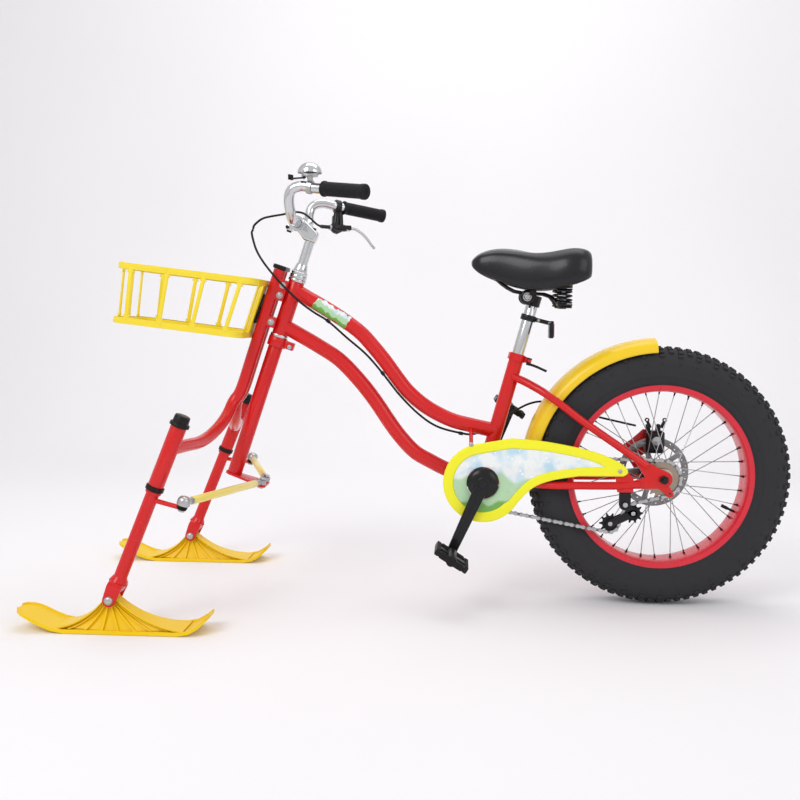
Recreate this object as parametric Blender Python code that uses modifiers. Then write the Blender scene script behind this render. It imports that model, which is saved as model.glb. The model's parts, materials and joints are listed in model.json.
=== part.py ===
"""Snow bike: a bicycle with two steered skis in front and a fat-tyred rear wheel.

Metres, +Z up. The bike points along -X, its chain guard is on the -Y side, called near, and the other side
is called far. The origin is on the ground at the middle of the bike's length and width.

Lengths along the bike are given from the rear axle. P() turns such a place into world coordinates.
"""
import math

import bmesh
import bpy
from mathutils import Matrix, Vector

# Overall lengths
SKI_TIP_REACH = 1.3505      # rear axle to ski tips
TYRE_RADIUS = 0.2925
AXLE_X = (SKI_TIP_REACH - TYRE_RADIUS) / 2
FIT = 0.0003                # clearance between faces that seat on each other
RUN = 0.0004                # clearance between faces that turn on each other
JOIN = 0.0005               # overlap of shapes that are one piece

# Steering axis, given by its foot under the column and its lean
COLUMN_FOOT_X = -0.971
COLUMN_FOOT_Z = 0.282
STEER_LEAN = math.radians(18.2)

# Head tube and column, as distances along the steering axis from the column's foot
HEAD_BOTTOM = 0.337
HEAD_TOP = 0.465
HEAD_RADIUS = 0.0180
STEERER_RADIUS = 0.0127
STEERER_TOP = 0.492
COLUMN_RADIUS = 0.0168
CUP_HEIGHT = 0.0058
CUP_RADIUS = 0.0205
CLAMP_HEIGHT = 0.022
CLAMP_RADIUS = 0.0215
LOCKNUT_HEIGHT = 0.015

# Steering linkage: equal arms on the column and on both legs make it a parallelogram
ARM_BACK = 0.070
ARM_SIDE = 0.024
ROD_RADIUS = 0.0048
STUD_RADIUS = 0.0040
ROD_END_RADIUS = 0.0105
ROD_END_HEIGHT = 0.010
BALL_CLEARANCE = 0.0013
TIE_LIFT = 0.0080           # middle of the rod ends above the pitman plate's middle

# Twin posts and ski arms
POST_FORWARD = 0.0425
POST_SIDE = 0.0150
POST_RADIUS = 0.0135
POST_TOP = 0.478
POST_BOTTOM = 0.190
CAP_HEIGHT = 0.010
CAP_LIP = 0.0015            # of the cap beyond the posts

# Legs, in vertical planes, as distances along each leg from the ski pivot
LEG_SIDE = 0.305
LEG_LEAN = math.radians(21.8)
PIVOT_X = -1.157
PIVOT_Z = 0.064
LEG_RADIUS = 0.0125
SLEEVE_RADIUS = 0.0165
SLEEVE_BOTTOM = 0.252
SLEEVE_LENGTH = 0.131
RING_HEIGHT = 0.0095
LEG_CAP_HEIGHT = 0.024
LEG_CAP_RADIUS = 0.0205

# Skis
SKI_HALF_WIDTH = 0.044
SKI_THICKNESS = 0.005
SKI_TAIL_REACH = 0.950
HUB_HALF_WIDTH = 0.0165
FORK_CHEEK = 0.006
SKI_BOLT_RADIUS = 0.0045

# Frame tubes
MAIN_TUBE_RADIUS = 0.0170
SEAT_TUBE_RADIUS = 0.0166
STAY_RADIUS = 0.0085
CHAINSTAY_RADIUS = 0.0090
BB_X = -0.397
BB_Z = 0.279
BB_SHELL_RADIUS = 0.0210
BB_HALF_WIDTH = 0.034
SEAT_TUBE_TOP_X = -0.320
SEAT_TUBE_TOP_Z = 0.564
SEAT_POST_RADIUS = 0.0135
SEAT_POST_LENGTH = 0.235
DROPOUT_INNER_Y = 0.0665
DROPOUT_THICKNESS = 0.005
STAY_Y = DROPOUT_INNER_Y + DROPOUT_THICKNESS / 2

# Rear wheel
TYRE_HALF_WIDTH = 0.049
TYRE_HALF_HEIGHT = 0.045
TYRE_WALL = 0.0045
RIM_OUTER_RADIUS = 0.2090
RIM_BED_RADIUS = 0.1990
RIM_FLANGE = 0.0015
RIM_INNER_RADIUS = 0.1915
RIM_HALF_WIDTH = 0.0390
WHEEL_SEGMENTS = 28
SPOKE_COUNT = 36
SPOKE_RADIUS = 0.0009
FLANGE_RADIUS = 0.030
FLANGE_Y = 0.030
HUB_RADIUS = 0.017
AXLE_RADIUS = 0.005
ROTOR_RADIUS = 0.080
ROTOR_Y = 0.0475
ROTOR_THICKNESS = 0.002

# Drive train
CHAIN_PITCH = 0.0127
CHAIN_Y = -0.0545
CHAIN_HALF_HEIGHT = 0.0040
CHAIN_PLATE = 0.0013
CHAIN_INNER_GAP = 0.0046
CHAINRING_TEETH = 28
FREEWHEEL_TEETH = (20, 18, 16)
COG_SPACING = 0.0050
COG_THICKNESS = 0.0018
PULLEY_TEETH = 10
GUIDE_PULLEY = (-0.063, 0.214)
TENSION_PULLEY = (-0.113, 0.190)
CAGE_PIVOT = (-0.083, 0.235)
CRANK_LENGTH = 0.166
CRANK_ANGLE = math.radians(-113.8)
CRANK_Y = 0.090
CRANK_THICKNESS = 0.012
BOSS_RADIUS = 0.032
SPINDLE_RADIUS = 0.0082
PEDAL_LENGTH = 0.080
PEDAL_WIDTH = 0.088
PEDAL_THICKNESS = 0.025
PEDAL_TILT = math.radians(32)
PEDAL_SPINDLE_RADIUS = 0.006

# Chain guard
GUARD_INNER_Y = -0.0740
GUARD_THICKNESS = 0.0070
GUARD_END_RADIUS = 0.0880
PANEL_RECESS = 0.0020

# Fender
FENDER_RADIUS = 0.311
FENDER_HALF_WIDTH = 0.048
FENDER_EDGE_DROP = 0.023
FENDER_THICKNESS = 0.003
FENDER_FRONT = math.radians(171)
FENDER_REAR = math.radians(93)

# Handlebar and controls
BAR_RADIUS = 0.0110
GRIP_RADIUS = 0.0155
BAR_FORWARD = 0.038
BAR_HEIGHT = 0.590
STEM_RADIUS = 0.0111
CABLE_RADIUS = 0.0025
CABLE_SPLIT = 0.545         # height along the steering axis where the cable passes to the frame

# Basket
BASKET_HALF_WIDTH = 0.120
BASKET_WALL = 0.005
BASKET_TILT = math.radians(6.6)
BASKET_FRONT_X = -1.222
BASKET_FLOOR_Z = 0.628
BASKET_HEIGHT = 0.134
BASKET_STANDOFF = 0.0030

RED = ("red_paint", (0.62, 0.012, 0.012), 0.22, 0.0)
DARK_RED = ("red_rim_paint", (0.52, 0.02, 0.04), 0.25, 0.1)
YELLOW = ("yellow_plastic", (0.86, 0.62, 0.03), 0.38, 0.0)
LEMON = ("lemon_plastic", (0.88, 0.74, 0.08), 0.36, 0.0)
ORANGE_YELLOW = ("ski_plastic", (0.86, 0.52, 0.02), 0.40, 0.0)
PALE_YELLOW = ("pale_paint", (0.86, 0.74, 0.30), 0.35, 0.0)
CHROME = ("chrome", (0.78, 0.79, 0.80), 0.10, 1.0)
STEEL = ("zinc_steel", (0.55, 0.56, 0.57), 0.32, 1.0)
DARK_STEEL = ("dark_steel", (0.10, 0.10, 0.11), 0.40, 0.9)
ALLOY = ("alloy", (0.62, 0.63, 0.65), 0.30, 1.0)
BLACK = ("black_plastic", (0.015, 0.015, 0.016), 0.45, 0.0)
RUBBER = ("rubber", (0.020, 0.020, 0.022), 0.75, 0.0)
VINYL = ("black_vinyl", (0.018, 0.018, 0.020), 0.42, 0.0)
REFLECTOR = ("reflector_red", (0.60, 0.02, 0.02), 0.12, 0.0)


for old in list(bpy.data.objects):
    bpy.data.objects.remove(old)

PARTS = bpy.data.collections.new("snow_bike")
CUTTERS = bpy.data.collections.new("cutters")
bpy.context.scene.collection.children.link(PARTS)
bpy.context.scene.collection.children.link(CUTTERS)


# Places
def P(x, y, z):
    """World place of a point given from the rear axle's x."""
    return Vector((AXLE_X + x, y, z))


STEER_UP = Vector((math.sin(STEER_LEAN), 0, math.cos(STEER_LEAN)))
STEER_AHEAD = Vector((-math.cos(STEER_LEAN), 0, math.sin(STEER_LEAN)))
LEG_UP = Vector((math.sin(LEG_LEAN), 0, math.cos(LEG_LEAN)))
LEG_AHEAD = Vector((-math.cos(LEG_LEAN), 0, math.sin(LEG_LEAN)))
SIDEWAYS = Vector((0, 1, 0))
UP = Vector((0, 0, 1))
ALONG = Vector((1, 0, 0))
AXLE = P(0, 0, TYRE_RADIUS)
BB = P(BB_X, 0, BB_Z)
SEAT_TOP = P(SEAT_TUBE_TOP_X, 0, SEAT_TUBE_TOP_Z)
SEAT_UP = (SEAT_TOP - BB).normalized()
SEAT_BACK = Vector((SEAT_UP.z, 0, -SEAT_UP.x))


def steer(height, ahead=0.0, side=0.0):
    """Place given along the steering axis, ahead of it and beside it."""
    return P(COLUMN_FOOT_X, side, COLUMN_FOOT_Z) + STEER_UP * height + STEER_AHEAD * ahead


def leg(sign, height, ahead=0.0, outward=0.0):
    """Place given along one leg's axis; sign is -1 near and +1 far."""
    return P(PIVOT_X, sign * (LEG_SIDE + outward), PIVOT_Z) + LEG_UP * height + LEG_AHEAD * ahead


def seat(height, back=0.0, side=0.0):
    """Place given along the seat tube from its top."""
    return SEAT_TOP + SEAT_UP * height + SEAT_BACK * back + SIDEWAYS * side


# Mesh helpers
def material(finish):
    """Principled material of one finish, made once."""
    name, colour, roughness, metallic = finish
    found = bpy.data.materials.get(name)
    if found:
        return found
    made = bpy.data.materials.new(name)
    made.use_nodes = True
    shader = made.node_tree.nodes["Principled BSDF"]
    shader.inputs["Base Color"].default_value = (*colour, 1.0)
    shader.inputs["Roughness"].default_value = roughness
    shader.inputs["Metallic"].default_value = metallic
    return made


def add_object(name, data):
    """Object in the cutters' collection until part() takes it."""
    obj = bpy.data.objects.new(name, data)
    CUTTERS.objects.link(obj)
    return obj


def bake(obj):
    """Mesh of the object as evaluated, with its modifiers applied and its loose caps welded."""
    bpy.context.view_layer.update()
    evaluated = obj.evaluated_get(bpy.context.evaluated_depsgraph_get())
    mesh = bpy.data.meshes.new_from_object(evaluated)
    bm = bmesh.new()
    bm.from_mesh(mesh)
    bmesh.ops.remove_doubles(bm, verts=bm.verts, dist=0.00001)
    bm.to_mesh(mesh)
    bm.free()
    made = add_object(obj.name + "_mesh", mesh)
    made.matrix_world = obj.matrix_world
    bpy.data.objects.remove(obj)
    return made


def oriented(origin, z_axis, x_hint=None):
    """Matrix with its Z along z_axis and its X near x_hint."""
    z = z_axis.normalized()
    hint = x_hint or (ALONG if abs(z.x) < 0.9 else UP)
    y = z.cross(hint).normalized()
    x = y.cross(z)
    matrix = Matrix((x, y, z)).transposed().to_4x4()
    matrix.translation = origin
    return matrix


def from_bmesh(name, bm, matrix=None):
    if matrix is not None:
        bmesh.ops.transform(bm, matrix=matrix, verts=bm.verts)
    mesh = bpy.data.meshes.new(name)
    bm.to_mesh(mesh)
    bm.free()
    return add_object(name, mesh)


def rod(start, end, radius, sides=12, end_radius=None):
    """Cylinder or cone between two places."""
    axis = end - start
    bm = bmesh.new()
    bmesh.ops.create_cone(bm, cap_ends=True, segments=sides, radius1=radius,
                          radius2=radius if end_radius is None else end_radius, depth=axis.length)
    return from_bmesh("rod", bm, oriented((start + end) / 2, axis))


def hole(start, end, radius, sides=12):
    """Cutter with its flat sides outside the given radius, so that a round piece of it clears."""
    return rod(start, end, radius / math.cos(math.pi / sides), sides)


def block(size, centre, z_axis=UP, x_hint=None, bevel=0.0):
    """Box with its sides along a frame, its edges chamfered where bevel is given."""
    bm = bmesh.new()
    bmesh.ops.create_cube(bm, size=1.0)
    bmesh.ops.scale(bm, vec=size, verts=bm.verts)
    if bevel:
        bmesh.ops.bevel(bm, geom=bm.edges, offset=bevel, segments=1, profile=0.5, affect="EDGES",
                        clamp_overlap=True)
    return from_bmesh("block", bm, oriented(centre, z_axis, x_hint))


def turned(profile, centre, axis, steps=20):
    """Solid of revolution; the profile's (radius, height) points run down its outer side."""
    mesh = bpy.data.meshes.new("turned")
    mesh.from_pydata([(radius, 0, height) for radius, height in profile],
                     [(i, i + 1) for i in range(len(profile) - 1)], [])
    obj = add_object("turned", mesh)
    screw = obj.modifiers.new("turn", "SCREW")
    screw.steps = steps
    screw.render_steps = steps
    screw.use_merge_vertices = True
    screw.merge_threshold = 0.00001
    obj.matrix_world = oriented(centre, axis)
    return bake(obj)


def ring(inner, outer, low, high, centre, axis, steps=20):
    """Hollow cylinder between two heights along its axis."""
    profile = [(inner, high), (outer, high), (outer, low), (inner, low), (inner, high)]
    return turned(profile, centre, axis, steps)


def tube(path, radius, resolution=4, cyclic=False):
    """Round tube along places, its ends filled."""
    curve = bpy.data.curves.new("tube", "CURVE")
    curve.dimensions = "3D"
    curve.bevel_depth = radius
    curve.bevel_resolution = resolution
    curve.use_fill_caps = not cyclic
    spline = curve.splines.new("POLY")
    spline.points.add(len(path) - 1)
    for point, place in zip(spline.points, path):
        point.co = (*place, 1.0)
    spline.use_cyclic_u = cyclic
    return bake(add_object("tube", curve))


def plate(outlines, thickness, origin, normal, x_axis):
    """Flat plate; outlines are lists of (x, y) points, the ones after the first are holes."""
    curve = bpy.data.curves.new("plate", "CURVE")
    curve.dimensions = "2D"
    curve.fill_mode = "BOTH"
    curve.extrude = thickness / 2
    for outline in outlines:
        spline = curve.splines.new("POLY")
        spline.points.add(len(outline) - 1)
        for point, (x, y) in zip(spline.points, outline):
            point.co = (x, y, 0, 1)
        spline.use_cyclic_u = True
    obj = add_object("plate", curve)
    obj.matrix_world = oriented(origin, normal, x_axis)
    return bake(obj)


def side_plate(outlines, thickness, y):
    """Plate square to Y; its points are (x from the rear axle, z) and y is its middle."""
    flipped = [[(x, -z) for x, z in outline] for outline in outlines]
    return plate(flipped, thickness, P(0, y, 0), SIDEWAYS, ALONG)


def loft(sections, level=0):
    """Closed body through sections with equal numbers of points, smoothed by subdivision."""
    bm = bmesh.new()
    rows = [[bm.verts.new(point) for point in section] for section in sections]
    count = len(rows[0])
    for row, after in zip(rows, rows[1:]):
        for i in range(count):
            j = (i + 1) % count
            bm.faces.new((row[i], row[j], after[j], after[i]))
    bm.faces.new(rows[0][::-1])
    bm.faces.new(rows[-1])
    bmesh.ops.recalc_face_normals(bm, faces=bm.faces)
    obj = from_bmesh("loft", bm)
    if not level:
        return obj
    smooth = obj.modifiers.new("smooth", "SUBSURF")
    smooth.levels = level
    smooth.render_levels = level
    return bake(obj)


def boolean(body, tools, operation):
    for tool in tools:
        step = body.modifiers.new("boolean", "BOOLEAN")
        step.operation = operation
        step.object = tool
        body = bake(body)
        bpy.data.objects.remove(tool)
    return body


def union(body, *tools):
    return boolean(body, tools, "UNION")


def cut(body, *tools):
    return boolean(body, tools, "DIFFERENCE")


def mirrored(body):
    """Copy of a body on the other side of the bike."""
    bm = bmesh.new()
    bm.from_mesh(body.data)
    bmesh.ops.transform(bm, matrix=body.matrix_world, verts=bm.verts)
    bmesh.ops.scale(bm, vec=(1, -1, 1), verts=bm.verts)
    bmesh.ops.reverse_faces(bm, faces=bm.faces)
    return from_bmesh("mirrored", bm)


def part(name, body, finish, joint):
    """Names a finished body as a node, with its origin at the place of its body's joint."""
    body.data.transform(Matrix.Translation(-joint) @ body.matrix_world)
    body.matrix_world = Matrix.Identity(4)
    body.name = name
    body.data.name = name
    body.data.materials.clear()
    body.data.materials.append(material(finish))
    body.data.shade_smooth()
    body.data.set_sharp_from_angle(angle=math.radians(32))
    CUTTERS.objects.unlink(body)
    PARTS.objects.link(body)
    body.parent = joint_empty(joint)
    return body


def joint_empty(joint):
    """Empty that marks a joint and carries the pieces that turn or slide there."""
    key = "joint_%d_%d_%d" % tuple(round(c * 10000) for c in joint)
    empty = bpy.data.objects.get(key)
    if empty is None:
        empty = bpy.data.objects.new(key, None)
        empty.empty_display_size = 0.03
        empty.location = joint
        PARTS.objects.link(empty)
    return empty


def arc(centre, radius, start, end, count):
    """Points of an arc in a flat outline, its angles in degrees."""
    points = []
    for i in range(count):
        angle = math.radians(start + (end - start) * i / (count - 1))
        points.append((centre[0] + radius * math.cos(angle), centre[1] + radius * math.sin(angle)))
    return points


def circle(centre, radius, count=16):
    step = 360 / count
    return arc(centre, radius, 0, 360 - step, count)


def smooth_path(points, count):
    """Evenly spaced places on a smooth curve through hand-chosen points."""
    ends = [points[0] * 2 - points[1], *points, points[-1] * 2 - points[-2]]
    fine = []
    for a, b, c, d in zip(ends, ends[1:], ends[2:], ends[3:]):
        for step in range(12):
            t = step / 12
            fine.append(0.5 * (2 * b + (c - a) * t + (2 * a - 5 * b + 4 * c - d) * t * t
                               + (3 * b - a - 3 * c + d) * t ** 3))
    fine.append(points[-1])
    travelled = [0.0]
    for before, after in zip(fine, fine[1:]):
        travelled.append(travelled[-1] + (after - before).length)
    path = []
    at = 0
    for i in range(count):
        goal = travelled[-1] * i / (count - 1)
        while at < len(fine) - 2 and travelled[at + 1] < goal:
            at += 1
        share = (goal - travelled[at]) / max(travelled[at + 1] - travelled[at], 1e-9)
        path.append(fine[at].lerp(fine[at + 1], share))
    return path


# Frame: head tube, main tubes and seat tube
TOP_TUBE_ROUTE = [(-0.832, 0.705), (-0.807, 0.690), (-0.772, 0.670), (-0.726, 0.642), (-0.680, 0.609),
                  (-0.648, 0.575), (-0.620, 0.541), (-0.595, 0.507), (-0.567, 0.473), (-0.525, 0.439),
                  (-0.472, 0.412), (-0.426, 0.400), (-0.368, 0.388)]
DOWN_TUBE_ROUTE = [(-0.859, 0.624), (-0.819, 0.602), (-0.772, 0.575), (-0.726, 0.545), (-0.680, 0.498),
                   (-0.645, 0.454), (-0.610, 0.403), (-0.584, 0.369), (-0.552, 0.336), (-0.517, 0.316),
                   (-0.478, 0.297), (-0.440, 0.287), (BB_X, BB_Z)]
GUARD_STAY_X = -0.424
GUARD_STAY_Z = 0.365
GUARD_STAY_RADIUS = 0.0045
SHELL_WALL = 0.004
SLOT_WIDTH = 0.003
SLOT_DEPTH = 0.030
ROUND = 12                  # sides of the round pieces that fit in each other
MAIN_TUBE_RINGS = 10


def front_frame():
    """Head tube with its bearing cups, both main tubes, seat tube and bottom bracket shell, welded."""
    top = tube(smooth_path([P(x, 0, z) for x, z in TOP_TUBE_ROUTE], MAIN_TUBE_RINGS), MAIN_TUBE_RADIUS, 2)
    down = tube(smooth_path([P(x, 0, z) for x, z in DOWN_TUBE_ROUTE], MAIN_TUBE_RINGS), MAIN_TUBE_RADIUS, 2)
    head = rod(steer(HEAD_BOTTOM), steer(HEAD_TOP), HEAD_RADIUS, ROUND)
    lower_cup = rod(steer(CUP_BOTTOM), steer(HEAD_BOTTOM + 0.001), CUP_RADIUS, ROUND)
    upper_cup = rod(steer(HEAD_TOP - 0.001), steer(HEAD_TOP + CUP_HEIGHT), CUP_RADIUS, ROUND)
    seat_tube = rod(BB, SEAT_TOP, SEAT_TUBE_RADIUS, ROUND)
    shell = rod(BB - SIDEWAYS * BB_HALF_WIDTH, BB + SIDEWAYS * BB_HALF_WIDTH, BB_SHELL_RADIUS, ROUND)
    guard_y = GUARD_INNER_Y + FIT
    stay = rod(P(GUARD_STAY_X, -0.005, GUARD_STAY_Z + 0.030), P(GUARD_STAY_X, guard_y, GUARD_STAY_Z),
               GUARD_STAY_RADIUS, 6)
    body = union(head, lower_cup, upper_cup, top, down, seat_tube, shell, stay)
    head_bore = hole(steer(HEAD_BOTTOM - 0.02), steer(HEAD_TOP + 0.02), STEERER_RADIUS + RUN, ROUND)
    post_bore = hole(seat(-SEAT_POST_LENGTH / 2 - 0.06), seat(0.02), SEAT_POST_RADIUS + FIT, ROUND)
    slot = block((0.012, SLOT_WIDTH, SLOT_DEPTH * 2), seat(0, SEAT_TUBE_RADIUS), SEAT_UP, SEAT_BACK)
    shell_bore = rod(BB - SIDEWAYS * 0.05, BB + SIDEWAYS * 0.05, BB_SHELL_RADIUS - SHELL_WALL, ROUND)
    guard_end = block((0.03, 0.01, 0.03), P(GUARD_STAY_X, guard_y - 0.005, GUARD_STAY_Z))
    return cut(body, head_bore, post_bore, slot, shell_bore, guard_end)


CHAINSTAY_ROUTE = [(-0.392, 0.030, 0.279), (-0.335, 0.038, 0.277), (-0.308, 0.0445, 0.276),
                   (-0.270, 0.0580, 0.275), (-0.240, 0.0665, 0.275), (-0.205, STAY_Y, 0.2755),
                   (-0.100, STAY_Y, 0.277), (-0.052, STAY_Y, 0.281)]
SEATSTAY_ROUTE = [(-0.330, 0.012, 0.512), (-0.300, 0.034, 0.499), (-0.262, 0.056, 0.478),
                  (-0.225, 0.0662, 0.453), (-0.170, STAY_Y, 0.412), (-0.038, STAY_Y, 0.3225)]
STAY_RINGS = 7
STAY_DETAIL = 1
BRIDGE = (-0.272, 0.484)
BRIDGE_RADIUS = 0.006
LOWER_BRIDGE_X = -0.338
TAB_Y = -0.0715             # middle of the red tab on the near chainstay
TAB_THICKNESS = 0.004
GUARD_REAR_SCREW = (-0.097, 0.311)


def dropout(sign):
    """Plate around the axle with a lower eye, joined to both stays."""
    outline = arc((0, TYRE_RADIUS), 0.019, 60, -50, 6) + arc(DROPOUT_EYE, 0.0085, 0, -180, 5)
    outline += [(-0.012, 0.2720), (-0.078, 0.2705), (-0.078, 0.2850), (-0.040, 0.2960), (-0.064, 0.3330),
                (-0.056, 0.3420), (-0.012, 0.3180)]
    return side_plate([outline, circle(DROPOUT_EYE, 0.0030, 8)], DROPOUT_THICKNESS, sign * STAY_Y)


def rear_frame():
    """Stays, bridges, dropouts and the tabs for the guard, tensioner and caliper, with the caliper's screws."""
    pieces = []
    for sign in (-1, 1):
        pieces.append(tube(smooth_path([P(x, sign * y, z) for x, y, z in SEATSTAY_ROUTE], STAY_RINGS),
                           STAY_RADIUS, STAY_DETAIL))
        pieces.append(tube(smooth_path([P(x, sign * y, z) for x, y, z in CHAINSTAY_ROUTE], STAY_RINGS),
                           CHAINSTAY_RADIUS, STAY_DETAIL))
        pieces.append(dropout(sign))
    pieces.append(rod(P(BRIDGE[0], -0.054, BRIDGE[1]), P(BRIDGE[0], 0.054, BRIDGE[1]), BRIDGE_RADIUS, 8))
    pieces.append(block((0.026, 0.074, 0.005), P(LOWER_BRIDGE_X, 0, 0.277)))
    guard_tab = [(-0.101, 0.263), (-0.066, 0.263), (-0.066, 0.292), (-0.086, 0.318), (-0.108, 0.318)]
    pieces.append(side_plate([guard_tab], TAB_THICKNESS, TAB_Y))
    caliper_tab = [(-0.078, 0.345), (-0.040, 0.316), (-0.006, 0.340), (-0.006, 0.384), (-0.022, 0.390),
                   (-0.048, 0.366)]
    pieces.append(side_plate([caliper_tab], CALIPER_TAB_THICKNESS, CALIPER_TAB_Y))
    outside = CALIPER_TAB_Y + CALIPER_TAB_THICKNESS / 2
    pieces += [rod(P(x, outside - JOIN, z), P(x, outside + CALIPER_SCREW_HEIGHT, z), CALIPER_SCREW_RADIUS, 6)
               for x, z in CALIPER_SCREWS]
    body = union(*pieces)
    seat_tube = hole(BB, SEAT_TOP, SEAT_TUBE_RADIUS + FIT, ROUND)
    shell = hole(BB - SIDEWAYS * 0.06, BB + SIDEWAYS * 0.06, BB_SHELL_RADIUS + FIT, ROUND)
    axle = hole(P(0, -0.09, TYRE_RADIUS), P(0, 0.09, TYRE_RADIUS), AXLE_RADIUS + FIT, 8)
    return cut(body, seat_tube, shell, axle)


DROPOUT_EYE = (0.014, 0.261)
CALIPER_TAB_THICKNESS = 0.004
CALIPER_TAB_Y = 0.0685
CALIPER_SCREWS = ((-0.014, 0.348), (-0.014, 0.376))
CALIPER_SCREW_RADIUS = 0.0048
CALIPER_SCREW_HEIGHT = 0.004

# Twin posts with their ski arms
ARM_ROUTE = [(-0.967, 0.019, 0.450), (-0.980, 0.048, 0.425), (-0.995, 0.100, 0.405),
             (-1.008, 0.160, 0.392), (-1.018, 0.220, 0.384)]
ARM_JOIN = SLEEVE_BOTTOM + 0.085
GUSSET = [(0.010, 0.000), (0.012, -0.055), (0.028, -0.034), (0.050, -0.020), (0.082, -0.012),
          (0.090, 0.000)]
GUSSET_THICKNESS = 0.004
ARM_RINGS = 15
LEG_RING_RADIUS = 0.0190
LEG_BORE = (LEG_RADIUS + RUN) / math.cos(math.pi / ROUND)
LINER_RADIUS = LEG_BORE + 0.0008
CLAMP_FRONT = POST_FORWARD + POST_RADIUS + 0.0025
CLAMP_HALF_WIDTH = POST_SIDE + POST_RADIUS + 0.0050
POST_CLAMPS = [(0.415, 0.455), (0.347, 0.372)]
POST_CLAMP_BOLTS = [(0.447, 0.0235), (0.423, 0.0235), (0.3595, 0.0235)]
POST_BOLT_RADIUS = 0.0030


def ski_frame():
    """Far post tube, its arm, the sleeve for the leg and the gusset under the arm."""
    route = [steer(POST_TOP, POST_FORWARD, POST_SIDE), steer(0.38, POST_FORWARD, POST_SIDE),
             steer(0.28, POST_FORWARD, POST_SIDE), steer(POST_BOTTOM, POST_FORWARD, POST_SIDE)]
    route += [P(x, y, z) for x, y, z in ARM_ROUTE]
    route.append(leg(1, ARM_JOIN))
    arm = tube(smooth_path(route, ARM_RINGS), POST_RADIUS, 2)
    sleeve = rod(leg(1, SLEEVE_BOTTOM), leg(1, SLEEVE_BOTTOM + SLEEVE_LENGTH), SLEEVE_RADIUS, ROUND)
    gusset = plate([GUSSET], GUSSET_THICKNESS, leg(1, ARM_JOIN), LEG_AHEAD, -SIDEWAYS)
    bore = hole(leg(1, SLEEVE_BOTTOM - 0.02), leg(1, SLEEVE_BOTTOM + SLEEVE_LENGTH + 0.02),
                LINER_RADIUS + FIT, ROUND)
    return cut(union(sleeve, arm, gusset), bore)


def post_cap():
    """Plastic cap over the tops of both posts."""
    middle = steer(POST_TOP + FIT + CAP_HEIGHT / 2, POST_FORWARD)
    size = (POST_RADIUS * 2 + CAP_LIP * 2, (POST_SIDE + POST_RADIUS + CAP_LIP) * 2, CAP_HEIGHT)
    return block(size, middle, STEER_UP, STEER_AHEAD, 0.002)


def bolt(head, tip, radius, head_radius, head_height):
    """Bolt between two seats, with a hexagonal head beyond one and a nut beyond the other."""
    along = (tip - head).normalized()
    return union(rod(head - along * JOIN, tip + along * JOIN, radius, 6),
                 rod(head - along * head_height, head, head_radius, 6),
                 rod(tip, tip + along * head_height, head_radius, 6))


def post_clamp(low, high):
    """Clamp that holds the posts to the head tube between two heights, with its bolts."""
    rear = 0.010
    middle = steer((low + high) / 2, (rear + CLAMP_FRONT) / 2)
    body = block((CLAMP_FRONT - rear, CLAMP_HALF_WIDTH * 2, high - low), middle, STEER_UP, STEER_AHEAD)
    holes = [hole(steer(low - 0.01, POST_FORWARD, side), steer(high + 0.01, POST_FORWARD, side),
                  POST_RADIUS + FIT, ROUND) for side in (-POST_SIDE, POST_SIDE)]
    holes.append(hole(steer(low - 0.01), steer(high + 0.01), HEAD_RADIUS + FIT, ROUND))
    seat_y = CLAMP_HALF_WIDTH - JOIN
    bolts = [bolt(steer(height, ahead, -seat_y), steer(height, ahead, seat_y),
                  POST_BOLT_RADIUS, 0.0058, 0.0050) for height, ahead in POST_CLAMP_BOLTS if low < height < high]
    return union(cut(body, *holes), *bolts)


# Steering column, headset and pitman plate
CUP_BOTTOM = HEAD_BOTTOM - CUP_HEIGHT
CLAMP_TOP = CUP_BOTTOM - RUN
CLAMP_BOTTOM = CLAMP_TOP - CLAMP_HEIGHT
LOCKNUT_BOTTOM = HEAD_TOP + CUP_HEIGHT + RUN
LOCKNUT_RADIUS = 0.0190
PITMAN_HEIGHT = -0.0045
PITMAN_THICKNESS = 0.005
PITMAN_ROUND = 0.0115
QUILL_BOTTOM = 0.425
CLAMP_EAR_REACH = 0.041
CLAMP_EAR_HALF = 0.009
CLAMP_SCREW_AHEAD = -0.0325
CLAMP_SCREW_RADIUS = 0.0030


def pitman_place(sign, height):
    return steer(PITMAN_HEIGHT + height, -ARM_BACK, sign * ARM_SIDE)


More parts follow.
